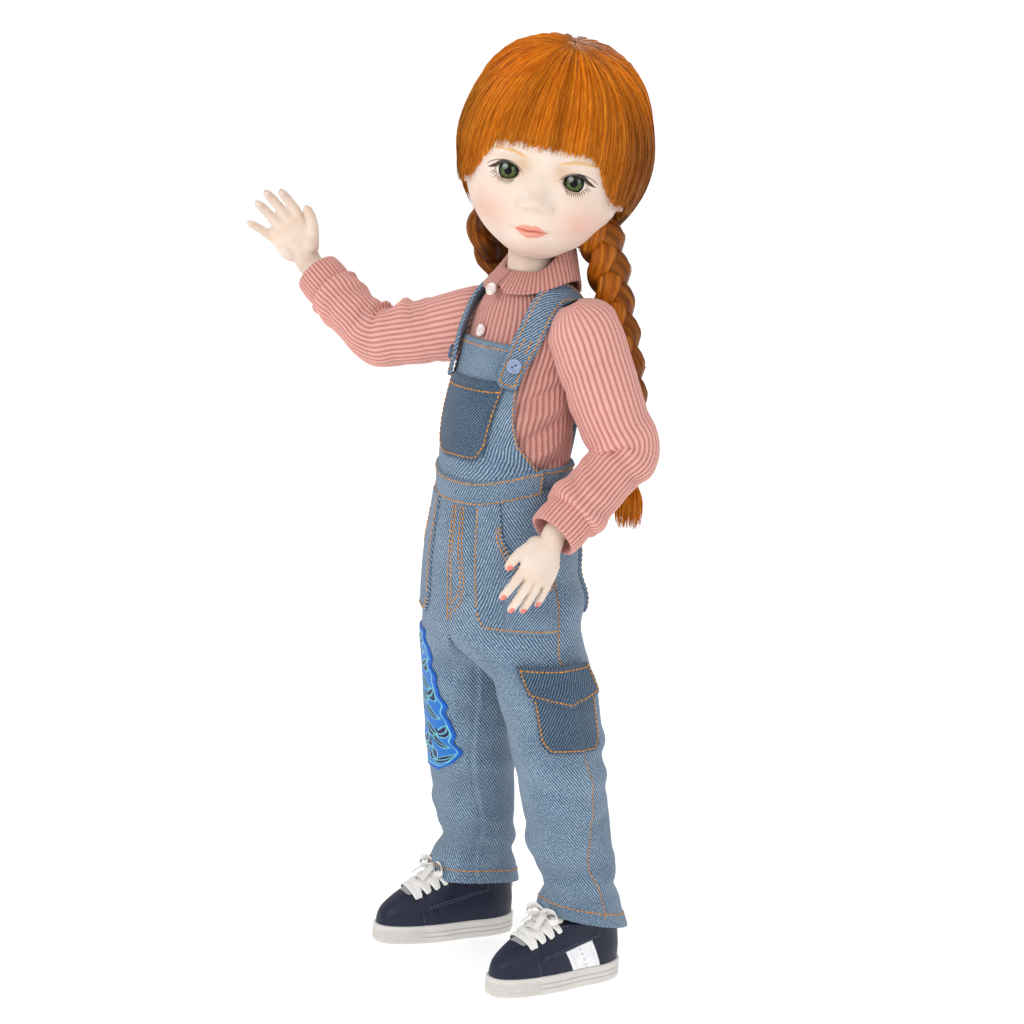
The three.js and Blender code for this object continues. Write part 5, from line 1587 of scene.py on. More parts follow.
def skin_paint_and_shade(x, y, z):
    """Blush and lips painted on the vinyl, with painted shade in the hollows round the eyes, nose and mouth and on
    the sunk rims of the eye openings.
    """
    a = np.abs(x)
    front = (y < -5)[..., None]
    tint = np.ones(x.shape + (3,))
    blush = 1.0 * spot(a, z, 17.5, 19.5, 8.0, 7.5) + 0.7 * spot(x, z, 0, 6, 8, 4)
    tint = tint * (1 - blush[..., None] * np.array([0.02, 0.25, 0.28]))
    # Painted shade round the eyes, in the nostrils, beside the nose wings, at the mouth corners and under the
    # lower lip.
    socket = 1.2 * spot(a, z, 7.4, 38.2, 3.0, 3.6) + 0.6 * spot(a, z, 12, 40.0, 7, 2.0)
    socket += 0.3 * spot(a, z, 13, 31, 6, 2.2)
    socket += 0.3 * spot(a, z, 2.9, 22.8, 1.3, 0.7) + 0.45 * spot(a, z, 6.9, 24.6, 1.1, 2.6)
    socket += 0.35 * spot(a, z, 7.0, 15.2, 1.8, 1.2) + 0.25 * spot(x, z, 0, 10.2, 5, 1.4)
    tint = tint * (1 - socket[..., None] * np.array([0.1, 0.2, 0.3]))
    edge = np.minimum(lip_top(x) - z, z - lip_low(x))
    lips = smooth((edge + 0.35) / 0.8) * (a < 6.6)
    ratio = tint_of(226, 154, 134) / tint_of(224, 206, 191)
    colour = ratio * np.ones_like(tint)
    seam = (bell(z, mouth_line(x), 0.28) * (a < 6.2))[..., None]
    colour = colour * (1 - seam * np.array([0.16, 0.42, 0.42]))
    colour = colour * (1 + 0.04 * np.sin(9 * x)[..., None])
    tint = np.where(front, tint * (1 - lips[..., None]) + colour * lips[..., None], tint)
    _, inside = eye_place(x, z)
    # Painted shade on the sunk rim of each eye opening.
    rim = np.clip(1 - np.abs(inside - 0.25) / 0.45, 0, 1)[..., None] * front
    return tint * (1 - rim * np.array([0.12, 0.3, 0.36]))


def make_face():
    """The face with its modelled features and the sunk eye openings."""
    dense_z = np.linspace(1, 60, 400)
    _, front, _ = rows_at(HEAD_ROWS, dense_z)
    run = run_along(np.column_stack([front, dense_z]))
    heights = np.interp(np.linspace(0, run[-1], 236), run, dense_z)
    theta = np.radians(np.linspace(-118, 118, 380))
    z, t = np.meshgrid(heights, theta, indexing="ij")
    r = form_radius(z, t)
    x = r * np.sin(t)
    y = -r * np.cos(t)
    facing = smooth((np.cos(t) - 0.1) / 0.4)
    y = y - relief(x, z) * facing
    _, inside = eye_place(x, z)
    y = y + 3.2 * smooth(inside / 0.55) * facing
    cloth = Cloth()
    cloth.grid(head_point(np.stack([x, y, z], -1)), False, None, skin_paint_and_shade(x, y, z))
    ride(cloth.piece("face_skin", SKIN, "skin"), "head", "face_shell")


def face_strip(cloth, x, z, half, lift, tint=(1, 1, 1)):
    """A painted stroke along (x, z) points of the face, half as wide as given on each side."""
    step = unit(np.stack([np.gradient(x), np.gradient(z)], -1) + 1e-9)
    side = np.stack([-step[:, 1], step[:, 0]], -1)
    columns = []
    for share, rise in ((-1, 0.0), (0, 1.0), (1, 0.0)):
        px = x + side[:, 0] * half * share
        pz = z + side[:, 1] * half * share
        columns.append(np.stack([px, face_y(px, pz) - lift - 0.05 * rise, pz], -1))
    cloth.grid(head_point(np.stack(columns, 1)), False, None, tint)


# Share along a brow, place across, height and thickness.
BROW_ROWS = ((0, 6.2, 42.3, 0.45), (0.35, 10.4, 43.5, 0.85), (0.6, 13.4, 43.8, 0.8), (1, 18.9, 43.0, 0.25))


def crease_height(e):
    """Height of the painted crease over an eye."""
    away = np.where(e > 0.4, (e - 0.4) / 8.3, (0.4 - e) / 6.0)
    return 3.85 * np.clip(1 - away**2.2, 0, 1) ** 0.85 + 0.2


def make_lashes():
    """Painted lid lines, lashes and brows."""
    lines = Cloth()
    brows = Cloth()
    for s in (-1, 1):
        def stroke(e, h, half, lift, tint=(1, 1, 1)):
            face_strip(lines, s * (EYE_X + e), EYE_Z + h, half, lift, tint)

        lid_e = np.linspace(-4.3, 4.6, 40)
        wing = np.linspace(0, 1, 14)[1:]
        tip = lid_high(np.array([4.6]))[0]
        path_e = np.concatenate([lid_e, 4.6 + 3.6 * wing])
        path_h = np.concatenate([lid_high(lid_e), tip + (-0.45 - tip) * (1 - (1 - wing) ** 1.8)])
        half = 0.17 + 0.42 * smooth((path_e + 2) / 5)
        half = half * np.clip((8.3 - path_e) / 2.6, 0.05, 1)
        stroke(path_e, path_h + half * 0.6, half, 0.12)
        crease_e = np.linspace(-5.3, 8.4, 48)
        stroke(crease_e, crease_height(crease_e), np.full(48, 0.11), 0.1)
        t = np.linspace(0, 1, 6)
        for place in np.linspace(-2.6, 5.4, 12):
            length = 1.8 + 0.12 * rng.standard_normal()
            root = min(place, 4.9)
            lean = 0.3 + 0.07 * max(place, 0)
            ee = place + lean * length * t
            hh = lid_low(np.array([root]))[0] + 0.05 - length * t * math.sqrt(max(1 - lean * lean, 0.2))
            stroke(ee, hh, 0.16 * (1.12 - t), 0.1)
        for place in (-5.3, -4.8, -4.2, -3.5, 3.4, 4.6, 5.8):
            ee = place + (0.35 if place > 0 else -0.55) * t
            hh = crease_height(ee) - 0.5 + 0.8 * t
            stroke(ee, hh, 0.07 * (1.1 - t), 0.1)
        for share in np.linspace(0, 1, 64):
            bx, bz, thick = (float(value) for value in rows_at(BROW_ROWS, np.array(share)))
            bz = bz + rng.uniform(-1, 1) * thick * 0.7 - 0.4
            steep = 0.95 - 1.0 * share
            xx = bx + 1.8 * t
            zz = bz + 1.5 * steep * (t - 0.25 * t * t)
            tone = rng.uniform(0.85, 1.12)
            lift = 0.06 + 0.05 * rng.uniform()
            face_strip(brows, s * xx, zz, 0.13 * (1.08 - t), lift, (tone, tone, tone))
    ride(lines.piece("lash_lines", LINER, "skin"), "head")
    ride(brows.piece("brow_hairs", BROW, "skin"), "head")


def make_eye(side):
    """An eye with a painted iris, painted shadow of the upper lid over its upper part, painted shade towards its
    corners and painted highlights for glints.
    """
    s = SIGN[side]
    middle = vec(s * BALL_X, BALL_Y, EYE_Z)
    aim = unit(vec(s * EYE_X, BALL_Y - math.sqrt(BALL_RADIUS**2 - 1), EYE_Z) - middle)
    axis = unit(aim + vec(-0.004, 0, 0.012))
    x = unit(np.cross(vec(0, 0, 1), axis))
    y = np.cross(axis, x)
    arc = np.concatenate([np.linspace(0.002, 0.47, 56), np.linspace(0.49, 1.35, 24)])
    turn = full_turn(128)
    rho, phi = np.meshgrid(arc, turn, indexing="ij")
    r = BALL_RADIUS * np.sin(rho)
    dome = 0.32 * np.clip(1 - (r / 4.1) ** 2, 0, 1)
    high = BALL_RADIUS * np.cos(rho) + dome
    px = r * np.cos(phi)
    py = r * np.sin(phi)
    local = middle + x * px[..., None] + y * py[..., None] + axis * high[..., None]
    ray = 0.5 + 0.5 * np.sin(23 * phi + 3 * np.sin(5 * phi)) * np.sin(41 * phi + 1.3)
    t = np.clip((r - 1.5) / 1.9, 0, 1)[..., None]
    iris = tint_of(128, 142, 84) * (1 - t) + tint_of(70, 100, 58) * t
    iris = iris * (0.18 + 0.62 * ray[..., None])
    limbal = smooth((r - 2.95) / 0.35)[..., None]
    iris = iris * (1 - limbal) + tint_of(10, 12, 12) * limbal
    pupil = smooth((1.7 - r) / 0.4)[..., None]
    iris = iris * (1 - pupil) + tint_of(5, 5, 6) * pupil
    white = smooth((r - 3.72) / 0.2)[..., None]
    # Painted shade: the white darkens towards the eye's corners.
    corner = 1 - 0.35 * smooth((r - 4.1) / 1.2)[..., None] * np.array([0.35, 0.8, 1.0])
    tint = iris * (1 - white) + np.array([0.86, 0.78, 0.7]) * corner * white
    # Painted shadow of the upper lid over the upper part of the eye.
    upper = smooth(((local[..., 2] - EYE_Z) + 0.2) / 2.4)[..., None]
    tint = tint * (1 - 0.86 * upper)
    # Painted highlights: two glints on the iris.
    glint = 0.85 * smooth(1.5 - np.hypot((px + 1.5) / 0.95, (py - 1.35) / 1.05))
    glint = glint + 0.4 * smooth(1.5 - np.hypot((px - 1.75) / 0.5, (py - 1.1) / 0.85))
    glint = (glint * (0.55 + 0.45 * smooth((py - 0.4) / 1.4)))[..., None]
    tint = tint * (1 - glint) + np.array([0.4, 0.45, 0.42]) * glint
    made = one_grid(f"{side}_eyeball", EYE, "eye", head_point(local), True, None, tint)
    ride(made, "head", f"{side}_eye")


def make_ear(side):
    """A soft shell with a rolled rim, a hollow and a lobe."""
    s = SIGN[side]
    radius = np.linspace(0.02, 1, 30)
    turn = full_turn(72)
    rho, phi = np.meshgrid(radius, turn, indexing="ij")
    wide = 6.2 - 1.2 * np.clip(-np.sin(phi), 0, 1)
    tall = 8.6
    back = rho * np.cos(phi) * wide
    up = rho * np.sin(phi) * tall
    rim = 1.3 * bell(rho, 0.84, 0.12) * smooth((up + 7.5) / 4)
    hollow = -1.5 * spot(back, up, -0.5, -0.5, 2.6, 4.2)
    lobe = 0.9 * spot(back, up, -0.8, -7.2, 2.6, 2.4)
    out = 1.8 * (1 - rho**2) + rim + hollow + lobe - 2.6 * smooth((rho - 0.93) / 0.07)
    x = 30.2 + 0.4 * back + out
    local = np.stack([s * x, 3.0 + back, 30.0 + up], -1)
    # Painted shade in the hollow of the ear.
    tint = np.ones(local.shape) * (1 - 0.1 * bell(rho, 0.3, 0.3))[..., None] ** np.array([0.3, 1, 1])
    ride(one_grid(f"{side}_ear", SKIN, "skin", head_point(local), True, None, tint, flip=s > 0), "head")


def make_neck():
    """The neck with two faint cords."""
    base = joint("neck_nod")
    rows = ((-7, 10.2), (-3, 10.0), (2, 9.6), (7, 9.2), (12, 9.0), (17, 8.8), (22, 8.6))
    rise = unit(HEAD_PIVOT - base)
    heights = np.linspace(-7, 22, 40)
    (radius,) = rows_at(rows, heights)
    path = base + heights[:, None] * rise
    _, side, top = carried_axes(path, vec(0, -1, 0))
    turn = full_turn(64)
    cord = 0.35 * (bell(turned(np.degrees(turn), 62), 0, 14) + bell(turned(np.degrees(turn), 118), 0, 14))
    points = tube(path, side, top, radius, radius, 64)
    middle = path[:, None]
    points = middle + (points - middle) * (1 + cord[None, :, None] / 9)
    # Painted shade under the chin: the neck darkens towards its top.
    shade = 1 - 0.25 * smooth((heights - 9) / 10)[:, None, None] * np.array([0.25, 0.55, 0.75])
    made = one_grid("neck_skin", SKIN, "skin", points, True, None, shade * np.ones((40, 64, 1)))
    ride(made, "neck", "neck_post")


HAIR_MIDDLE = vec(0, 1.0, 38)
CROWN = unit(vec(0.05, -0.22, 1.0))
CROWN_FRONT = unit(np.cross(np.cross(CROWN, vec(0, -1, 0)), CROWN))
CROWN_SIDE = np.cross(CROWN, -CROWN_FRONT)


def hair_direction(alpha, theta):
    """Direction from the head's middle, alpha round the crown and theta down from it."""
    flat = np.sin(alpha)[..., None] * CROWN_SIDE + np.cos(alpha)[..., None] * CROWN_FRONT
    return np.sin(theta)[..., None] * flat + np.cos(theta)[..., None] * CROWN


def form_reach(direction):
    """Distance from the head's middle to the plain head form along each direction."""
    low = np.zeros(direction.shape[:-1])
    high = np.full(direction.shape[:-1], 70.0)
    for _ in range(34):
        middle = (low + high) / 2
        p = HAIR_MIDDLE + direction * middle[..., None]
        around = np.arctan2(p[..., 0], -p[..., 1])
        out = np.hypot(p[..., 0], p[..., 1]) > form_radius(p[..., 2], around)
        out = out | (p[..., 2] > 79.4) | (p[..., 2] < 1)
        high = np.where(out, middle, high)
        low = np.where(out, low, middle)
    return (low + high) / 2


# The hairline: degrees from the front, and height on the head.
HAIR_EDGE = (
    (0, 47.2),
    (20, 46.8),
    (31, 46.0),
    (36, 43.8),
    (41, 39.5),
    (46, 35),
    (51, 31.5),
    (56, 29.3),
    (62, 28.3),
    (80, 28.3),
    (90, 26),
    (101, 18),
    (112, 12),
    (122, 9),
    (150, 7),
    (180, 7),
)


def hair_end(alpha):
    """How far down from the crown the hair reaches at each alpha."""
    theta = np.linspace(0.2, 2.9, 300)
    grid_a = np.asarray(alpha, float)[:, None] + np.zeros(len(theta))
    grid_t = theta[None] + np.zeros((len(alpha), 1))
    direction = hair_direction(grid_a, grid_t)
    p = HAIR_MIDDLE + direction * form_reach(direction)[..., None]
    around = np.degrees(np.abs(np.arctan2(p[..., 0], -p[..., 1])))
    table = np.array(HAIR_EDGE)
    below = p[..., 2] < np.interp(around, table[:, 0], table[:, 1])
    first = np.where(below.any(axis=1), np.argmax(below, axis=1), len(theta) - 1)
    return theta[first]


def hair_thickness(alpha, share):
    """How thick the hair lies over the head form."""
    side = smooth((np.abs(turned(np.degrees(alpha), 0)) - 35) / 40)
    full = 4.4 + 2.4 * side * smooth((share - 0.25) / 0.5)
    full = full - 3.2 * np.clip(np.sin(alpha), 0, 1) * smooth(share / 0.5)
    fringe = 1 - (0.62 - 0.28 * side) * smooth((share - 0.55) / 0.45)
    return full * fringe


def lock_ridges(alpha, share):
    """Ridges of combed locks that run down from the crown."""
    wave = 0.42 * np.sin(26 * alpha + 1.2 * np.sin(3 * alpha) + 0.8 * share)
    wave = wave + 0.3 * np.sin(61 * alpha + 2.1 * np.sin(5 * alpha + 1) - 1.1 * share)
    wave = wave + 0.2 * np.sin(127 * alpha + 1.7 * np.sin(7 * alpha))
    return wave * smooth(share / 0.22)


def hair_surface(alpha, share, end, lift=0.0):
    """A point on the hair, share 0 at the crown and 1 at the edge."""
    theta = 0.01 + share * (end - 0.01)
    direction = hair_direction(alpha, theta)
    reach = form_reach(direction) + hair_thickness(alpha, share) + lock_ridges(alpha, share) + lift
    part = 0.9 * bell(turned(np.degrees(alpha), 172), 0, 3.5) * smooth((0.6 - share) / 0.3)
    return HAIR_MIDDLE + direction * (reach - part)[..., None]


def hair_tone_and_light(alpha, share, jitter):
    """Darker at the crown and at the ends, bright bands of painted highlight between, painted shade on the sides
    of the head with painted light in front, and a tone per lock.
    """
    # Painted highlights: the bright bands across the hair.
    band = 0.84 + 0.32 * bell(share, 0.3, 0.2) + 0.16 * bell(share, 0.75, 0.16)
    band = band * (0.92 + 0.14 * np.sin(9 * alpha + 2 * np.sin(4 * alpha))) * jitter
    band = band - 0.2 * bell(share, 0.0, 0.07)
    # Painted shade on the sides of the head, painted light in front.
    aside = smooth((np.abs(turned(np.degrees(alpha), 0)) - 32) / 50)
    band = band * (1.2 - 0.66 * aside * smooth((share - 0.2) / 0.5))
    return band[..., None] * np.array([1.0, 1.02, 0.84])


def make_hair_cap():
    """The closed cap of combed hair with a ragged edge."""
    columns = 900
    alpha = np.linspace(-np.pi, np.pi, columns, endpoint=False)
    end = hair_end(alpha)
    tight = np.convolve(np.concatenate([end[-6:], end, end[:6]]), np.ones(13) / 13, mode="valid")
    ragged = tight + 0.014 * np.sin(37 * alpha + 2 * np.sin(11 * alpha)) + 0.012 * np.sin(89 * alpha + 1)
    ragged = ragged + 0.01 * np.sin(211 * alpha + 2 * np.sin(23 * alpha))
    share = np.concatenate([np.linspace(0, 1, 84), [1.0, 0.985, 0.93]])
    lift = np.concatenate([np.zeros(80), [-0.15, -0.4, -0.8, -1.3, -2.2, -2.8, -3.2]])
    grid_s, grid_a = np.meshgrid(share, alpha, indexing="ij")
    grid_l = np.broadcast_to(lift[:, None], grid_s.shape)
    points = hair_surface(grid_a, grid_s, ragged[None] + 0 * grid_s, grid_l)
    tint = hair_tone_and_light(grid_a, grid_s, 1.0)
    u = np.linspace(0, 230, columns + 1)[None] + np.zeros((len(share), 1))
    v = (np.arange(len(share)) / len(share) * 90)[:, None] + np.zeros((1, columns + 1))
    cloth = Cloth()
    cloth.grid(head_point(points), True, np.stack([u, v], -1), tint, flip=True)
    ride(cloth.piece("wig_cap", HAIR, "hair"), "head", "wig")
    return alpha, tight


FIBRE_CORNERS = (0, 2.1, 4.2)
LOCK_TONE = np.array([1.0, 0.95, 0.75])


def fibre_rings(path, girth, across, out, corners, wide=1.0):
    """Thin rings along many fibres at once, with a corner at each given angle."""
    rings = [path + girth[..., None] * (across * np.cos(k) * wide + out * np.sin(k)) for k in corners]
    return np.stack(rings, 2)


def make_hair_strands(alpha_table, end_table):
    """Loose fibres lying over the cap, from the crown to just past its edge."""
    count = 3400
    steps = 18
    alpha0 = rng.uniform(-np.pi, np.pi, count)
    end = np.interp(alpha0, alpha_table, end_table)
    first = rng.uniform(0.02, 0.45, count)
    last = rng.uniform(0.86, 1.065, count)
    t = np.linspace(0, 1, steps)[None]
    share = first[:, None] + (last - first)[:, None] * t
    drift = rng.normal(0, 0.012, count)[:, None]
    alpha = alpha0[:, None] + drift * t + 0.006 * np.sin(5 * t + rng.uniform(0, 6, count)[:, None])
    lift = (rng.uniform(0.05, 0.4, count)[:, None]) * np.sin(np.pi * np.clip(t, 0.02, 0.98)) + 0.05
    path = head_point(hair_surface(alpha, share, end[:, None] + 0 * share, lift))
    outward = unit(path - head_point(HAIR_MIDDLE))
    ahead = unit(np.gradient(path, axis=1))
    across = unit(np.cross(ahead, outward))
    girth = (rng.uniform(0.12, 0.24, count)[:, None]) * np.sqrt(np.clip(1.04 - t, 0.03, 1))
    points = fibre_rings(path, girth, across, outward, (0.0, 2 * np.pi / 3, 4 * np.pi / 3), 1.5)
    jitter = rng.uniform(0.72, 1.25, count)[:, None]
    tint = hair_tone_and_light(alpha, share, jitter)
    cloth = Cloth()
    cloth.grids(points, True)
    cloth.tints[-1] = np.repeat(tint[:, :, None], 3, 2).reshape(-1, 3)
    ride(cloth.piece("wig_fibres", HAIR, "hair"), "head")


# Points down the middle of each plait, from its root to its tie, for hips at a height of 149.
RISE = HIP - 149
BRAID_ROUTE = {
    "right": (
        (-21, 0, 303),
        (-25.5, 3, 288),
        (-26, 14, 274),
        (-24, 28, 260),
        (-22.5, 34, 246),
        (-22, 36, 230),
        (-22, 36, 200),
    ),
    "left": (
        (23, 14, 302),
        (23, 21, 286),
        (24.3, 26, 267),
        (27.2, 30.4, 247),
        (27.8, 34, 230),
        (26.6, 36.6, 214),
        (26, 37.5, 200),
    ),
}
BRAID_PERIOD = 37.0
BRAID_GIRTH = {"right": 7.1, "left": 8.2}


def braid_axes(side):
    """A plait's middle line, its length and its cross directions."""
    route = np.array(BRAID_ROUTE[side], float) + vec(0, 0, RISE)
    path = along(route, 240)
    run = run_along(path)
    _, across, top = path_axes(path, unit(vec(SIGN[side] * 0.75, -0.1, 0.15)))
    return path, run, across, top


def make_braid(side):
    """Three plaited strands with loose fibres."""
    path, run, across, top = braid_axes(side)
    share = run / run[-1]
    girth = BRAID_GIRTH[side] * (1 - 0.42 * share) * smooth(0.45 + share * 8)
    cloth = Cloth()
    around = 40
    turn = full_turn(around)
    for strand in range(3):
        phase = 2 * np.pi * run / BRAID_PERIOD + 2 * np.pi * strand / 3
        sway = 0.56 * girth * np.sin(phase)
        depth = 0.34 * girth * np.sin(2 * phase)
        core = path + across * sway[:, None] + top * depth[:, None]
        _, side_way, over = path_axes(core, top)
        plump = 1 + 0.1 * np.cos(2 * phase)
        wide = 0.64 * girth * plump
        high = 0.54 * girth * plump
        groove = 1 + 0.035 * np.sin(11 * turn)[None] + 0.025 * np.sin(19 * turn + 1)[None]
        ring = tube(core, side_way, over, wide, high, around)
        ring = core[:, None] + (ring - core[:, None]) * groove[..., None]
        u = np.linspace(0, 26, around + 1)[None] + np.zeros((len(run), 1)) + 40 * strand
        v = run[:, None] + np.zeros((1, around + 1))
        # Painted light on the lobes of each strand, and painted shade where a strand passes under the others.
        lit = 0.7 + 0.22 * np.sin(phase + 0.6)[:, None] + 0.15 * np.sin(7 * turn + strand)[None]
        deep = 1 - 0.72 * smooth(-depth / (0.3 * girth))[:, None]
        tint = (0.66 * lit * deep)[..., None] * np.array([1.0, 0.92, 0.7])
        cloth.grid(ring, True, np.stack([u, v], -1), tint)
    count = 260
    place = rng.uniform(0.04, 0.9, count)
    fibre_t = np.linspace(0, 1, 12)[None]
    at = np.clip(place[:, None] + 0.11 * fibre_t, 0, 1) * run[-1]
    strand = rng.integers(0, 3, count)[:, None]
    phase = 2 * np.pi * at / BRAID_PERIOD + 2 * np.pi * strand / 3
    wide = np.interp(at, run, girth)
    angle = rng.uniform(0, 2 * np.pi, count)[:, None]
    sway = 0.56 * wide * np.sin(phase) + 0.66 * wide * np.cos(angle)
    depth = 0.34 * wide * np.sin(2 * phase) + 0.55 * wide * np.sin(angle)
    out = sampled(at, run, top)
    fibre = sampled(at, run, path) + sampled(at, run, across) * sway[..., None] + out * depth[..., None]
    aside = unit(np.cross(unit(np.gradient(fibre, axis=1)), out))
    thin = 0.14 * np.sqrt(np.clip(1.03 - fibre_t, 0.03, 1))
    tone = rng.uniform(0.55, 1.05, count)[:, None] * LOCK_TONE
    cloth.grids(fibre_rings(fibre, thin, aside, out, FIBRE_CORNERS), True, tint=tone)
    piece = cloth.piece(f"{side}_plait", HAIR, "hair")
    high = path[0] - vec(0, 0, 8)
    bend(piece, "neck", "head", high - vec(0, 0, 26), high, f"{side}_braid")
    make_braid_end(side, path, across, top)


def make_braid_end(side, path, across, top):
    """The wound tie and the loose tail below it."""
    tip = path[-1]
    down = unit(path[-1] - path[-6])
    rows = np.linspace(-2.4, 2.4, 17)
    ring_path = tip + down * (rows[:, None] + 1.6)
    swell = 3.5 + 0.32 * np.cos(rows * 2 * np.pi / 1.5) - 0.05 * rows**2
    wide = np.repeat(across[-1:], 17, 0)
    high = np.repeat(top[-1:], 17, 0)
    cloth = Cloth()
    cloth.grid(tube(ring_path, wide, high, swell, swell, 32), True)
    tie = cloth.piece(f"{side}_plait_band", TIE, "hair_tie")
    ride(tie, "neck", f"{side}_braid_tie")
    count = 240
    t = np.linspace(0, 1, 12)[None]
    turn = rng.uniform(0, 2 * np.pi, count)[:, None]
    far = np.sqrt(rng.uniform(0, 1, count))[:, None]
    length = rng.uniform(11, 19, count)[:, None]
    flare = far * (2.4 + 2.6 * np.sin(np.pi * np.clip(t * 0.8, 0, 1)) + 0.8 * t)
    core = tip + down * 3.2 + (down[None, None] * (length * t)[..., None])
    aside = across[-1] * (flare * np.cos(turn))[..., None]
    fibre = core + aside + top[-1] * (flare * np.sin(turn))[..., None]
    thin = 0.3 * np.clip(1.05 - t, 0.05, 1) ** 0.6
    tone = rng.uniform(0.75, 1.3, count)[:, None] * np.array([1.0, 0.98, 0.9])
    cloth = Cloth()
    cloth.grids(fibre_rings(fibre, thin, across[-1], top[-1], FIBRE_CORNERS), True, tint=tone)
    ride(cloth.piece(f"{side}_plait_tail", HAIR, "hair"), "neck")


def make_gather(side, alpha_table, end_table):
    """Locks swept from the side hair back to the root of a plait."""
    count = 150
    s = SIGN[side]
    path, _, across, top = braid_axes(side)
    alpha = -s * np.radians(rng.uniform(105, 150, count))
    end = np.interp(alpha, alpha_table, end_table)
    share = rng.uniform(0.72, 0.95, count)
    first = head_point(hair_surface(alpha, share, end, 0.1))
    second = head_point(hair_surface(alpha, share + 0.09, end, 0.25))
    goal = rng.integers(8, 44, count)
    turn = rng.uniform(0, 2 * np.pi, count)
    off = 5.2 * np.sqrt(rng.uniform(0, 1, count))
    inside = across[goal] * (off * np.cos(turn))[:, None]
    last = path[goal] + inside + top[goal] * (off * np.sin(turn))[:, None]
    t = np.linspace(0, 1, 16)[None, :, None]
    reach = np.linalg.norm(last - first, axis=1)[:, None]
    pull = first + unit(second - first) * 0.3 * reach
    fibre = first[:, None] * (1 - t) ** 2 + 2 * pull[:, None] * t * (1 - t) + last[:, None] * t**2
    ahead = unit(np.gradient(fibre, axis=1))
    out = unit(fibre - head_point(HAIR_MIDDLE))
    aside = unit(np.cross(ahead, out))
    taper = np.sqrt(np.clip(np.sin(np.pi * (0.04 + 0.92 * t[..., 0])), 0.02, 1))
    girth = rng.uniform(0.35, 0.75, count)[:, None] * taper
    cloth = Cloth()
    tone = rng.uniform(0.5, 0.9, count)[:, None] * LOCK_TONE
    cloth.grids(fibre_rings(fibre, girth, aside, out, full_turn(6), 1.6), True, tint=tone)
    ride(cloth.piece(f"{side}_swept_locks", HAIR, "hair"), "head")


def make_head():
    make_face()
    make_lashes()
    make_neck()
    for side in SIDES:
        make_eye(side)
        make_ear(side)
        make_braid(side)
    tables = make_hair_cap()
    make_hair_strands(*tables)
    for side in SIDES:
        make_gather(side, *tables)


# Where each hand points and where its palm looks.
HAND_AIM = {
    "right": (vec(-0.41, -0.4, 0.82), vec(0.55, -0.75, 0.1)),
    "left": (vec(-0.03, -0.42, -0.905), vec(-0.95, 0.1, -0.05)),
}
FINGER_LENGTHS = (13.0, 16.0, 17.2, 15.2)
# Where each finger leaves the palm, and its radius there.
FINGER_ROOTS = ((-14.6, 1.95), (-16.0, 2.2), (-16.4, 2.25), (-15.6, 2.2))
THUMB = ((3.4, -1.0, -5), (7.4, -2.3, -9.6), (9.9, -3.0, -14), (11.2, -3.6, -19.6))
# Degrees that a finger bends at its three joints, and that each finger leans.
FINGER_BEND = {"right": (10, 18, 16), "left": (4, 8, 8)}
FINGER_LEAN = {"right": (-20, -4, 0, 3), "left": (-3, 0.5, 3.5, 12)}
HAND_SCALE = {"right": 1.1, "left": 1.02}
# Place along the hand, half width, half thickness and middle.
PALM_ROWS = (
    (-2.0, 4.4, 3.7, 0.2),
    (-5.0, 5.0, 3.7, 0.2),
    (-8.5, 6.7, 3.9, 0.0),
    (-12.5, 8.1, 3.8, -0.1),
    (-16.0, 8.2, 3.2, -0.2),
    (-18.4, 7.6, 2.5, -0.3),
    (-19.6, 6.0, 1.3, -0.4),
)


def hand_axes(side):
    """Columns across the palm, out of its back, and back along the hand."""
    bone, facing = HAND_AIM[side]
    z = -unit(bone)
    x = unit(np.cross(-facing, z))
    return np.stack([x, np.cross(z, x), z], 1)


def finger_path(root, length, lean, bends, count=34):
    """A finger's middle line from inside the palm, bending towards the palm at each joint."""
    lean = math.radians(lean)
    places = np.linspace(0, 1, count)
    curl = bends[0] + bends[1] * smooth((places - 0.3) / 0.2)
    curl = np.radians(curl + bends[2] * smooth((places - 0.62) / 0.2))
    ahead = np.stack([np.sin(lean) * np.cos(curl), -np.sin(curl), -np.cos(lean) * np.cos(curl)], -1)
    steps = ahead * (length / (count - 1))
    path = root + np.concatenate([np.zeros((1, 3)), np.cumsum(steps[:-1], axis=0)])
    return np.concatenate([[root - ahead[0] * 4.5], path])


def finger_girth(path, thick, thin):
    """A finger's radius, fuller at its joints and rounded at its tip."""
    run = run_along(path)
    share = run / run[-1]
    radius = thick + (thin - thick) * share + 0.12 * bell(share, 0.52, 0.06) + 0.1 * bell(share, 0.76, 0.05)
    into_tip = np.clip(thin * 1.35 - (run[-1] - run), 0, None)
    return radius * np.sqrt(np.clip(1 - (into_tip / (thin * 1.36)) ** 2, 0.003, 1))


def limb_tube(path, radius, flat=1.0, hint=(0, 1, 0)):
    _, across, top = path_axes(path, hint)
    return tube(path, across, top, radius, radius * flat, 28)


def closed_tube(rings):
    """Adds a point-like ring at each end, so that the tube is closed."""

    def shrunk(ring):
        middle = ring.mean(axis=1, keepdims=True)
        return middle + 0.001 * (ring - middle)

    return np.concatenate([shrunk(rings[:1]), rings, shrunk(rings[-1:])])


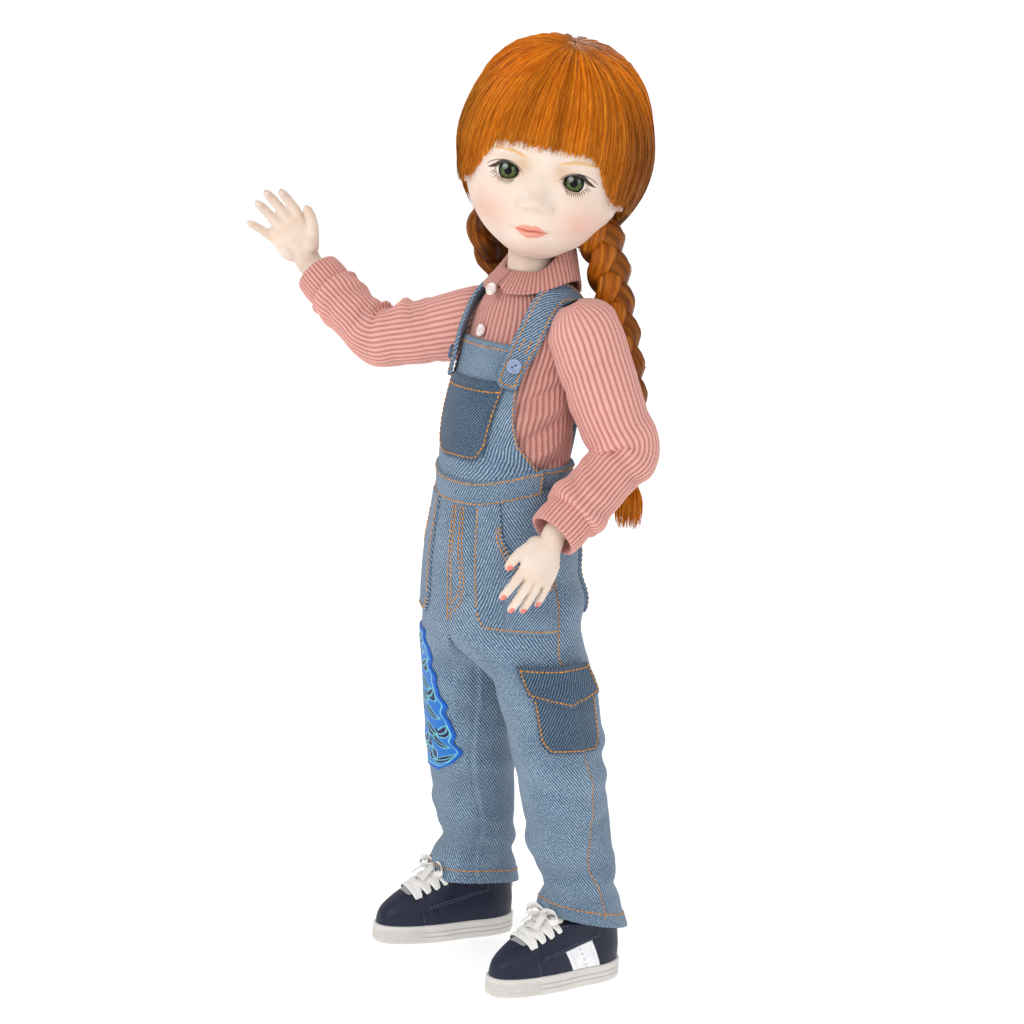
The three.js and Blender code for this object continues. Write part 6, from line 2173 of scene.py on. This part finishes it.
def hand_tint(points, side):
    """Painted shade in the creases of the palm and wrist and between the fingers, and pale and rosy at the finger
    tips.
    """
    s = SIGN[side]
    x, y, z = points[:, 0] * s, points[:, 1], points[:, 2]
    tint = np.ones((len(points), 3))
    palm = smooth((-y - 0.5) / 2)
    crease = 0.8 * bell(z, -16.5 - 0.14 * x, 1.6) * palm
    crease = crease + 0.5 * bell(z, -11 + 0.5 * x, 1.0) * palm * (x > -4)
    crease = crease + 0.5 * bell(z, -2, 2.2)
    web = bell(np.abs((x + 4) % 4 - 2), 2, 0.8) * smooth((-z - 15) / 2) * smooth((z + 22) / 3)
    # Painted shade in the creases and between the fingers.
    crease_shade = np.clip(crease + 0.6 * web, 0, 1)[:, None]
    tint = tint * (1 - crease_shade * np.array([0.02, 0.09, 0.17]))
    tip = smooth((-z - 24) / 7)[:, None]
    return tint * (1 - tip * np.array([0.0, 0.035, 0.03]))


def fuse(name, tubes, voxel, polish):
    """One casting from tubes that overlap: voxels join them and a light polish rounds the joins."""
    rough = Cloth()
    for rings in tubes:
        rough.grid(closed_tube(rings), True)
    lump = rough.piece(name + "_cast", SKIN, "skin")
    join = lump.modifiers.new("join", "REMESH")
    join.mode = "VOXEL"
    join.voxel_size = voxel / 1000
    round_off = lump.modifiers.new("polish", "SMOOTH")
    round_off.factor = 0.5
    round_off.iterations = polish
    scene_now = bpy.context.evaluated_depsgraph_get()
    mesh = bpy.data.meshes.new_from_object(lump.evaluated_get(scene_now))
    bpy.data.objects.remove(lump)
    points = np.empty(len(mesh.vertices) * 3, np.float32)
    mesh.vertices.foreach_get("co", points)
    corners = np.array([list(face.vertices) for face in mesh.polygons if len(face.vertices) == 4])
    return points.reshape(-1, 3).astype(float) * 1000 - SHIFT, corners


def make_hand(side):
    """A hand with its fingers, thumb and painted nails."""
    wrist = joint(f"{side}_wrist_turn")
    elbow = joint(f"{side}_elbow_bend")
    axes = hand_axes(side)
    s = SIGN[side]
    scale = HAND_SCALE[side]

    def place(local):
        return wrist + scale * local @ axes.T

    back = (unit(elbow - wrist) @ axes) * 7.5
    heights = np.linspace(-2.0, -19.6, 30)
    wide, high, middle = rows_at(PALM_ROWS[::-1], heights)
    palm_path = np.stack([0 * heights + 0.25 * s, middle, heights], -1)
    across = np.tile([1.0, 0, 0], (30, 1))
    upward = np.tile([0.0, 1, 0], (30, 1))
    tubes = [tube(palm_path, across, upward, wide, high, 40)]
    neck_path = along([back, back * 0.5, vec(0, 0, 0), vec(0, 0.1, -4), vec(0.2 * s, 0, -9)], 20)
    tubes.append(limb_tube(neck_path, np.linspace(4.5, 4.9, 20), 0.86))
    pads = (
        (vec(3.2 * s, -1.2, -4), vec(6.4 * s, -2.6, -10), 3.4, 3.0),
        (vec(-3.2 * s, -1.0, -5), vec(-5.6 * s, -1.6, -12.5), 3.0, 2.7),
    )
    for low, far, thick, thin in pads:
        pad = along([low, (low + far) / 2 + vec(0, -0.4, 0), far], 16)
        swell = np.sqrt(np.sin(np.linspace(0.25, 2.9, 16)))
        tubes.append(limb_tube(pad, np.linspace(thick, thin, 16) * swell))
    fingers = []
    for k, (height, thick) in enumerate(FINGER_ROOTS):
        root = vec(s * (-6.1 + 4.05 * k), -0.3, height)
        path = finger_path(root, FINGER_LENGTHS[k], s * FINGER_LEAN[side][k], FINGER_BEND[side])
        fingers.append((path, finger_girth(path, thick, thick * 0.68)))
    thumb = along([vec(x * s, y, z) for x, y, z in THUMB], 30)
    fingers.append((thumb, finger_girth(thumb, 2.9, 1.65)))
    for path, radius in fingers:
        tubes.append(limb_tube(path, radius, 0.92))
    points, corners = fuse(f"{side}_hand", [place(rings) for rings in tubes], 0.36, 7)
    tint = hand_tint((points - wrist) @ axes / scale, side)
    cloth = Cloth()
    cloth.points.append(points)
    cloth.faces.append(corners)
    cloth.flats.append(points[corners.ravel()][:, :2])
    cloth.tints.append(tint)
    ride(cloth.piece(f"{side}_hand_skin", SKIN, "skin"), f"{side}_hand", f"{side}_hand")
    nails = Cloth()
    for path, radius in fingers:
        make_nail(nails, place, path, radius)
    ride(nails.piece(f"{side}_nails", NAIL, "skin"), f"{side}_hand")


def make_nail(cloth, place, path, radius):
    """A small painted plate on the back of a finger's tip."""
    run = run_along(path)
    t = np.linspace(run[-1] - 2.7, run[-1] - 0.12, 14)
    turn = np.radians(np.linspace(-56, 56, 13))
    _, across, top = path_axes(path, (0, 1, 0))
    girth = np.interp(t, run, radius)
    shape = np.sqrt(np.clip(1 - ((t - run[-1] + 1.4) / 1.42) ** 2, 0.0, 1))
    angle = turn[None] * (0.35 + 0.65 * shape[:, None])
    lift = girth[:, None] * 0.97 + 0.16 * np.cos(turn * 1.5)[None] * (0.3 + 0.7 * shape[:, None]) - 0.06
    upward = sampled(t, run, top)[:, None] * (0.92 * np.cos(angle))[..., None]
    aside = sampled(t, run, across)[:, None] * np.sin(angle)[..., None]
    points = sampled(t, run, path)[:, None] + lift[..., None] * (upward + aside)
    cloth.grid(place(points), False, None, (1, 1, 1), flip=True)


SHOE_TURN = {"right": -13, "left": -3}
SHOE_POWER = 2.4
# Height over the ankle, half width, and reach to the toe and the heel.
SHOE_ROWS = (
    (-15.2, 11.2, 41.4, 17.9),
    (-12.0, 11.35, 41.0, 18.0),
    (-9.0, 11.25, 39.6, 18.1),
    (-6, 10.9, 36.2, 17.9),
    (-2.5, 10.4, 30.5, 17.7),
    (1.0, 10.3, 23.2, 17.9),
    (4, 10.5, 17, 18.1),
    (7, 10.6, 12.5, 18.2),
)
SHOE_LOW = -15.2
SOLE_HALF, SOLE_TOE, SOLE_HEEL = 11.9, 42.6, 18.6
HEIGHT_TABLE = np.linspace(SHOE_LOW, 7, 240)
TOE_TABLE = rows_at(SHOE_ROWS, HEIGHT_TABLE)[1]


def shoe_place(side):
    """Puts points of a shoe's own frame at its ankle."""
    ankle = joint(f"{side}_ankle_bend")
    turn = spin("Z", SHOE_TURN[side])
    return lambda local: ankle + local @ turn.T


def outline(angle, half, toe, heel, power):
    """A shoe-shaped ring; angle 0 is the doll's left and 90 the heel."""
    cos, sin = np.cos(angle), np.sin(angle)
    long = np.where(sin < 0, toe, heel)
    x = half * np.sign(cos) * np.abs(cos) ** (2 / power)
    y = long * np.sign(sin) * np.abs(sin) ** (2 / power)
    waist = 1 - 0.07 * bell(y, -6, 9)
    return np.stack([x * waist, y], -1)


def shoe_curve(y, s):
    """The upper cut across at y: s 0 is the middle of the instep and 1 the sole."""
    top = np.interp(-y, TOE_TABLE[::-1], HEIGHT_TABLE[::-1])
    z = top - (top - SHOE_LOW) * np.abs(s) ** SHOE_POWER
    half, toe, _ = rows_at(SHOE_ROWS, z)
    x = half * np.clip(1 - (np.abs(y) / toe) ** SHOE_POWER, 0, 1) ** (1 / SHOE_POWER)
    x = x * (1 - 0.07 * bell(y, -6, 9))
    return np.stack([np.sign(s) * x, y + 0 * x, z], -1)


def instep(y, s, offset):
    """A point on the upper of a shoe, off it by an offset."""
    dy = shoe_curve(y + 0.06, s) - shoe_curve(y - 0.06, s)
    ds = shoe_curve(y, s + 0.012) - shoe_curve(y, s - 0.012)
    normal = unit(np.cross(ds, dy) + 1e-12)
    return shoe_curve(y, s) + normal * np.asarray(offset)[..., None]


def side_wall(y, z, sign, offset):
    """A point on the side of a shoe, off it by an offset."""

    def bare(y, z):
        half, toe, heel = rows_at(SHOE_ROWS, z)
        reach = np.where(y < 0, toe, heel)
        x = half * np.clip(1 - (np.abs(y) / reach) ** SHOE_POWER, 1e-4, 1) ** (1 / SHOE_POWER)
        return np.stack([sign * x * (1 - 0.07 * bell(y, -6, 9)), y + 0 * x, z + 0 * x], -1)

    dy = bare(y + 0.06, z) - bare(y - 0.06, z)
    dz = bare(y, z + 0.06) - bare(y, z - 0.06)
    normal = unit(np.cross(dy, dz)) * sign
    return bare(y, z) + normal * np.asarray(offset)[..., None]


HATCH_PITCH = 1.55


def make_sole(side, place):
    """The sole, with a hatched toe, grooved sides and its tread."""
    around = 720
    angle = full_turn(around)
    profile = [(-22.0, -3.0), (-22.0, -1.2), (-21.85, -0.5), (-21.5, -0.12)]
    profile += [(z, 0.0) for z in np.linspace(-21.1, -15.2, 62)]
    profile += [(-14.85, -0.1), (-14.6, -0.42), (-14.55, -0.9), (-14.7, -1.6), (-15.1, -2.4)]
    base = outline(angle, SOLE_HALF, SOLE_TOE, SOLE_HEEL, 2.5)
    step = np.linalg.norm(np.roll(base, -1, 0) - base, axis=1)
    run = np.concatenate([[0], np.cumsum(step)[:-1]])
    tangent = unit(np.roll(base, -1, 0) - np.roll(base, 1, 0))
    outward = np.stack([tangent[:, 1], -tangent[:, 0]], -1)
    toe = smooth((-base[:, 1] - 24.4) / 0.8)
    rows = []
    tints = []
    for z, inset in profile:
        wall = smooth((z + 21.4) / 0.5) * smooth((-15.6 - z) / 0.4)
        slants = [np.abs(np.sin((run + slope * z) * np.pi / HATCH_PITCH)) for slope in (1.15, -1.15)]
        hatch = np.minimum(*slants)
        grooves = bell(z, -17.5, 0.16) + bell(z, -19.4, 0.16)
        raised = toe * (0.34 * hatch - 0.1) * smooth((-16.3 - z) / 0.4)
        pattern = wall * (raised - (1 - toe) * 0.42 * grooves)
        ring = base + outward * (inset + pattern)[:, None]
        rows.append(np.concatenate([ring, np.full((around, 1), z)], 1))
        # Painted shade in the hatching and the grooves, and towards the bottom edge of the sole.
        hollow = toe * (1 - hatch) ** 2 * 0.7 + (1 - toe) * grooves
        shade = 1 - 0.2 * wall * hollow - 0.05 * smooth((-21 - z) / 1.0)
        tints.append(shade[:, None] * np.array([1, 0.995, 0.985]))
    rows = np.stack(rows)
    lid = rows[-1:] * np.array([0.7, 0.8, 1.0])
    floor = rows[:1] * np.array([0.02, 0.02, 1.0]) + vec(0, -10, 0)
    points = np.concatenate([floor, rows, lid])
    tint = np.concatenate([tints[:1], tints, tints[-1:]])
    cloth = Cloth()
    cloth.grid(place(points), True, None, tint)
    tread = Cloth()
    for k in range(15):
        y = -38 + 3.7 * k
        half = SOLE_HALF * (1 - abs(y / (SOLE_TOE if y < 0 else SOLE_HEEL)) ** 2.5) ** 0.4 * 0.86
        waves = np.full(30, y) + 1.1 * np.cos(np.linspace(-6, 6, 30))
        path = np.stack([np.linspace(-half, half, 30), waves, np.full(30, -21.95)], -1)
        _, across, top = path_axes(path, vec(0, 0, 1))
        tread.grid(place(tube(path, across, top, 0.5, 0.12, 10)), True)
    ride(cloth.piece(f"{side}_sole_rubber", RUBBER, "shoe_rubber"), f"{side}_foot", f"{side}_shoe_sole")
    ride(tread.piece(f"{side}_sole_tread", RUBBER, "shoe_rubber"), f"{side}_foot")


CAP_Y = -24.5


def cap_line(z):
    """Where the toe cap ends at a height."""
    return CAP_Y - 0.22 * (z + 14.5)


def make_upper(side, place):
    """The leather upper with its toe cap and rolled rim."""
    around = 420
    angle = full_turn(around)
    heights = np.concatenate([np.linspace(SHOE_LOW, -4, 46), np.linspace(-3.8, 4.4, 44)])
    half, toe, heel = rows_at(SHOE_ROWS, heights)
    rows = []
    for z, h, t, b in zip(heights, half, toe, heel):
        ring = outline(angle, h, t, b, SHOE_POWER)
        rows.append(np.concatenate([ring, np.full((around, 1), z)], 1))
    rows = np.stack(rows)
    y, z = rows[..., 1], rows[..., 2]
    seam = bell(y, cap_line(z), 0.32) * (z < -1.5)
    cap = smooth((cap_line(z) - y) / 0.4) * (z < 1)
    crease = 0.25 * np.sin(y * 0.9 + 0.4 * z) * bell(y, -20, 5) * bell(z, -8, 4)
    normal = grid_normals(rows, True)
    middle = vec(0, -12, -8)
    outward = np.sign(np.sum(normal * (rows - middle), -1, keepdims=True))
    rows = rows + normal * outward * (0.28 * cap - 0.3 * seam + crease)[..., None]
    rim = []
    for drop, pull in ((0.25, 0.35), (0.1, 0.8), (-0.5, 1.1), (-3, 1.3)):
        inner = rows[-1] * np.array([1 - pull / 10.5, 1 - pull / 17.5, 1]) + vec(0, 0, drop)
        rim.append(inner)
    points = np.concatenate([rows, np.stack(rim)])
    tint = np.ones(points.shape)
    y, z = rows[..., 1], rows[..., 2]
    raw = np.exp(-(((y - cap_line(z) + 0.22) / 0.16) ** 2)) * (z < -1.5)
    tint[: len(rows)] *= 1 + raw[..., None] * np.array([9.0, 8.0, 5.4])
    tint[: len(rows)] *= 1 - 0.35 * (seam * (1 - raw))[..., None]
    tint[: len(rows)] *= 1 + 0.5 * smooth((z + 13.6) / -1.2)[..., None]
    made = one_grid(f"{side}_shoe_body", LEATHER, "shoe_leather", place(points), True, None, tint)
    ride(made, f"{side}_foot", f"{side}_shoe_upper")


def eyestay_edges(y):
    """Lower and upper edge of the lace panel."""
    low = -8.3 + 5.4 * (y + 24) / 27
    top = np.interp(-y, TOE_TABLE[::-1], HEIGHT_TABLE[::-1])
    high = np.minimum(top - (top - SHOE_LOW) * 0.34**SHOE_POWER, 4.3)
    return low, high


def eyestay(sign, place):
    """The lace panel's surface on one side of a shoe."""

    def surface(u, v, offset):
        y = -24.2 + 27.5 * u
        low, high = eyestay_edges(y)
        return place(side_wall(y, low + (high - low) * v, sign, offset))

    return surface


def make_trim(side, place):
    leather = Cloth()
    thread = Cloth()
    for sign in (-1, 1):
        surface = eyestay(sign, place)
        raised = slab(surface, 60, 24, 0.0, 0.62)
        edge = np.ones(raised.shape)
        edge[:2] *= np.array([7.5, 6.8, 4.8])
        leather.grid(raised, False, None, edge, flip=sign < 0)
        for route, width in (([(0.03, 0.13), (0.97, 0.13)], 0.34), ([(0.02, 0.9), (0.45, 0.9)], 0.3)):
            stitches(thread, surface, route, 0.62, 1.5, 0.9, width, (0.14, 0.14, 0.2))
    ride(leather.piece(f"{side}_eyestay", LEATHER, "shoe_leather"), f"{side}_foot")
    ride(thread.piece(f"{side}_shoe_thread", LACE, "lace"), f"{side}_foot")
    make_band(side, place)
    make_heel_tab(side, place)
    make_tongue(side, place)
    make_laces(side, place)


def make_band(side, place):
    """One broad pale band with a row of punched dots on the outer side of the shoe."""
    sign = SIGN[side]

    def surface(u, v, offset):
        y = -9.6 + 13.0 * u - 4.0 * v
        low, _ = eyestay_edges(y)
        z = -14.4 + (low + 14.3) * v
        return place(side_wall(y, z, sign, offset))

    cloth = Cloth()
    cloth.grid(slab(surface, 26, 24, 0.0, 0.42, 0.2), False, None, (1, 1, 1), flip=sign < 0)
    ride(cloth.piece(f"{side}_side_band", BAND, "shoe_leather"), f"{side}_foot")
    dots = Cloth()
    turn = full_turn(14)
    for column, many in ((0.5, 4), (0.14, 7), (0.86, 7)):
        size = 0.42 if column == 0.5 else 0.2
        for v in np.linspace(0.14, 0.86, many):
            rings = []
            for share, lift in ((1.0, 0.43), (0.82, 0.46), (0.7, 0.4), (0.02, 0.36)):
                u_ring = column + share * size * np.cos(turn) / 13.0
                v_ring = v + share * size * np.sin(turn) / 8.0
                rings.append(surface(u_ring, v_ring, np.full(14, lift)))
            # The punched dots show the dark leather, darkened further by painted shade in the holes.
            dots.grid(np.stack(rings), True, None, (0.5, 0.5, 0.6), flip=sign < 0)
    ride(dots.piece(f"{side}_side_dots", LEATHER, "shoe_leather"), f"{side}_foot")


def make_heel_tab(side, place):
    """A pale tab over the heel."""

    def surface(u, v, offset):
        angle = np.radians(90 + 34 * (u - 0.5))
        z = -4.6 + 9.2 * v
        half, _, heel = rows_at(SHOE_ROWS, z)
        grow = 1 + offset / 18
        x = half * grow * np.sign(np.cos(angle)) * np.abs(np.cos(angle)) ** (2 / SHOE_POWER)
        y = heel * grow * np.abs(np.sin(angle)) ** (2 / SHOE_POWER)
        return place(np.stack([x, y, z], -1))

    cloth = Cloth()
    cloth.grid(slab(surface, 20, 16, 0.0, 0.6, 0.25), False, None, (1, 1, 1))
    ride(cloth.piece(f"{side}_heel_tab", BAND, "shoe_leather"), f"{side}_foot")


LACE_REACH = 0.52


def make_tongue(side, place):
    """The cloth tongue, with a grey felt edge in front and a turned-down top behind the knot."""
    cloth = Cloth()
    y = np.linspace(-30.5, -13.2, 40)
    s = np.linspace(-0.36, 0.36, 25)
    yy, ss = np.meshgrid(y, s, indexing="ij")
    puff = 0.75 * (1 - (ss / 0.37) ** 2) + 0.1
    front = bell(yy, -30.5, 0.6)
    points = instep(yy, ss, puff * (1 - 0.6 * front))
    crest = np.concatenate([points, points[-1:] + vec(0, 1.6, 2.2), points[-1:] + vec(0, 2.4, 1.4)])
    tint = np.ones(crest.shape)
    felt = smooth((-27.6 - yy + 6 * np.abs(ss)) / 0.5)
    tint[: len(y)] *= 1 - felt[..., None] * np.array([0.62, 0.61, 0.58])
    cloth.grid(place(crest), False, None, tint)
    tongue = ride(cloth.piece(f"{side}_tongue", LACE, "lace"), f"{side}_foot", f"{side}_shoe_lace")
    cut_flat(tongue, 16, 19, "laid", f"{side}_shoe_body")


def make_laces(side, place):
    """Crossing laces over the tongue, the lowest one straight, and the bow."""
    laces = Cloth()
    for k, yk in enumerate((-27.0, -24.4, -20.7, -17.0)):
        for lean in (-1, 1):
            s = np.linspace(-LACE_REACH, LACE_REACH, 40)
            t = s / LACE_REACH
            y = yk - 0.9 * (1 - t * t) + lean * 1.9 * t * (1 if k else 0.1)
            lift = 0.8 + 0.6 * (1 - t * t) + 0.22 * lean * np.sin(3 * t)
            path = instep(y, s, lift - 0.75 * np.abs(t) ** 8)
            wide = 1.35 - 0.3 * np.abs(t) ** 3
            ribbon(laces, place, path, instep(y, s, lift + 1) - instep(y, s, lift), wide, 0.34)
            if k == 0:
                break
    make_bow(laces, place)
    ride(laces.piece(f"{side}_laces", LACE, "lace"), f"{side}_foot")


def ribbon(cloth, place, path, up, wide, thick):
    """A flat woven cord along a path."""
    _, across, top = path_axes(path, up)
    rings = tube(path, across, top, wide, thick, 16)
    flat = spread_uv(rings, True)
    cloth.grid(closed_tube(place(rings)), True, np.concatenate([flat[:1], flat, flat[-1:]]))


# One loop and one tail of a bow, from its knot.
BOW_LOOP = (
    (0, 0, 0),
    (3, -0.4, 1.6),
    (6.6, -0.6, 1.8),
    (8.8, -1.8, 0.2),
    (7.6, -3.2, -1.2),
    (4, -2.6, -0.6),
    (0, -0.6, 0.1),
)
BOW_TAIL = ((0, 0, 0), (2.0, -2.6, 0.4), (3.6, -6.0, -1.4), (4.6, -8.4, -3.4))


def make_bow(cloth, place):
    """Two loops, two tails and the knot."""
    knot = shoe_curve(np.array([-16.4]), np.array([0.0]))[0] + vec(0, 0, 2.6)
    for sign in (-1, 1):
        path = along([knot + vec(sign * x, y, z) for x, y, z in BOW_LOOP], 60)
        ribbon(cloth, place, path, vec(0, 0.9, 0.5), np.full(60, 1.4), 0.32)
        path = along([knot + vec(sign * x, y, z) for x, y, z in BOW_TAIL], 40)
        ribbon(cloth, place, path, vec(sign * 0.25, 0.2, 1), np.full(40, 1.25), 0.3)
    turn = np.linspace(-2.0, 2.0, 24)
    wrap = np.stack([0.4 * turn, -1.7 * np.cos(turn) + 0.4, 0.4 + 1.5 * np.sin(turn)], -1) + knot
    ribbon(cloth, place, wrap, vec(1, 0.1, 0.1), np.full(24, 0.4), 1.2)


def make_shoe(side):
    place = shoe_place(side)
    make_sole(side, place)
    make_upper(side, place)
    make_trim(side, place)


def make_limbs():
    for side in SIDES:
        make_hand(side)
        make_shoe(side)


PLAIN = {
    "skin": SKIN_PLAIN,
    "elastic": ELASTIC,
    "steel": STEEL,
}


def dress_solids():
    """Gives every solid a plain finish: its slot's own for skin, elastic and steel, and plain skin for any other
    slot.
    """
    for entry in frame["record"]["subparts"]:
        shown = frame["nodes"][entry["node"]]
        shown.data.materials.clear()
        shown.data.materials.append(PLAIN.get(entry["material_slot"], SKIN_PLAIN))


# Degrees, then millimetres and pixels.
CAMERA_TURN, CAMERA_LIFT, CAMERA_ROLL = 49.0, 12.0, 2.8
CAMERA_AWAY = 1230
AIM_HEIGHT = 185
PHOTO_SIZE = 1024


def set_up(made, x, y, z, place):
    """Shows an object with its three axes at its place in metres."""
    columns = np.eye(4)
    for k, column in enumerate((x, y, z, place)):
        columns[:3, k] = column
    made.matrix_world = Matrix(columns.tolist())
    bpy.context.scene.collection.objects.link(made)


def set_camera():
    """A camera that sees the doll as the photograph does."""
    azimuth, lift, roll = (math.radians(a) for a in (CAMERA_TURN, CAMERA_LIFT, CAMERA_ROLL))
    target = vec(0, 0, AIM_HEIGHT) + SHIFT
    away = vec(math.sin(azimuth) * math.cos(lift), -math.cos(azimuth) * math.cos(lift), math.sin(lift))
    place = (target + CAMERA_AWAY * away) / 1000
    right = unit(np.cross(-away, vec(0, 0, 1)))
    up = np.cross(right, -away)
    x = right * math.cos(roll) + up * math.sin(roll)
    y = up * math.cos(roll) - right * math.sin(roll)
    data = bpy.data.cameras.new("photo_camera")
    data.lens = 111.88
    data.sensor_width = 36
    data.shift_x = 1.16 / PHOTO_SIZE
    data.shift_y = -2.0 / PHOTO_SIZE
    camera = bpy.data.objects.new("photo_camera", data)
    set_up(camera, x, y, away, place)
    bpy.context.scene.camera = camera


def add_light(name, place, aim, size, power):
    """A round lamp that faces its aim."""
    data = bpy.data.lights.new(name, "AREA")
    data.shape = "DISK"
    data.size = size
    data.energy = power
    lamp = bpy.data.objects.new(name, data)
    back = unit(place - aim)
    x = unit(np.cross(vec(0, 0, 1), back))
    set_up(lamp, x, np.cross(back, x), back, place)


def set_stage():
    """Floor, air and lamps of a bright studio."""
    look = Look("studio_floor", {"Roughness": 0.9, "Specular IOR Level": 0.1})
    look.shader.inputs["Emission Color"].default_value = (1, 1, 1, 1)
    look.shader.inputs["Emission Strength"].default_value = 0.34
    haze = look.noise(look.solid(), 0.02, 2)
    look.colour(look.ramp(haze, (0.3, (0.955, 0.955, 0.955, 1)), (0.7, (0.965, 0.965, 0.965, 1))))
    mesh = bpy.data.meshes.new("studio_floor")
    half = 40.0
    under = -0.0002
    corners = [(-half, -half, under), (half, -half, under), (half, half, under), (-half, half, under)]
    mesh.from_pydata(corners, [], [(0, 1, 2, 3)])
    mesh.materials.append(look.material)
    floor = bpy.data.objects.new("studio_floor", mesh)
    bpy.context.scene.collection.objects.link(floor)
    world = bpy.data.worlds.new("studio_air")
    world.use_nodes = True
    sky = world.node_tree.nodes["Background"]
    sky.inputs["Color"].default_value = (1, 1, 1, 1)
    sky.inputs["Strength"].default_value = 0.74
    bpy.context.scene.world = world
    aim = (SHIFT + vec(0, 0, 190)) / 1000
    add_light("key_light", aim + vec(0.25, -1.3, 0.9), aim, 0.9, 5.3)
    add_light("side_light", aim + vec(1.5, -0.3, 0.7), aim, 0.8, 2.2)
    face = aim + vec(0, 0, 0.13)
    add_light("eye_light", face + vec(0.335, -1.2, 0.36), face, 0.2, 1.8)
    add_light("small_eye_light", face + vec(1.21, -0.42, 0.22), face, 0.14, 0.5)
    add_light("back_light", aim + vec(-0.9, 1.1, 0.9), aim, 0.8, 3)
    bpy.context.scene.view_settings.view_transform = "Standard"


set_stage()
set_camera()
dress_solids()
make_overalls()
make_shirt()
make_head()
make_limbs()
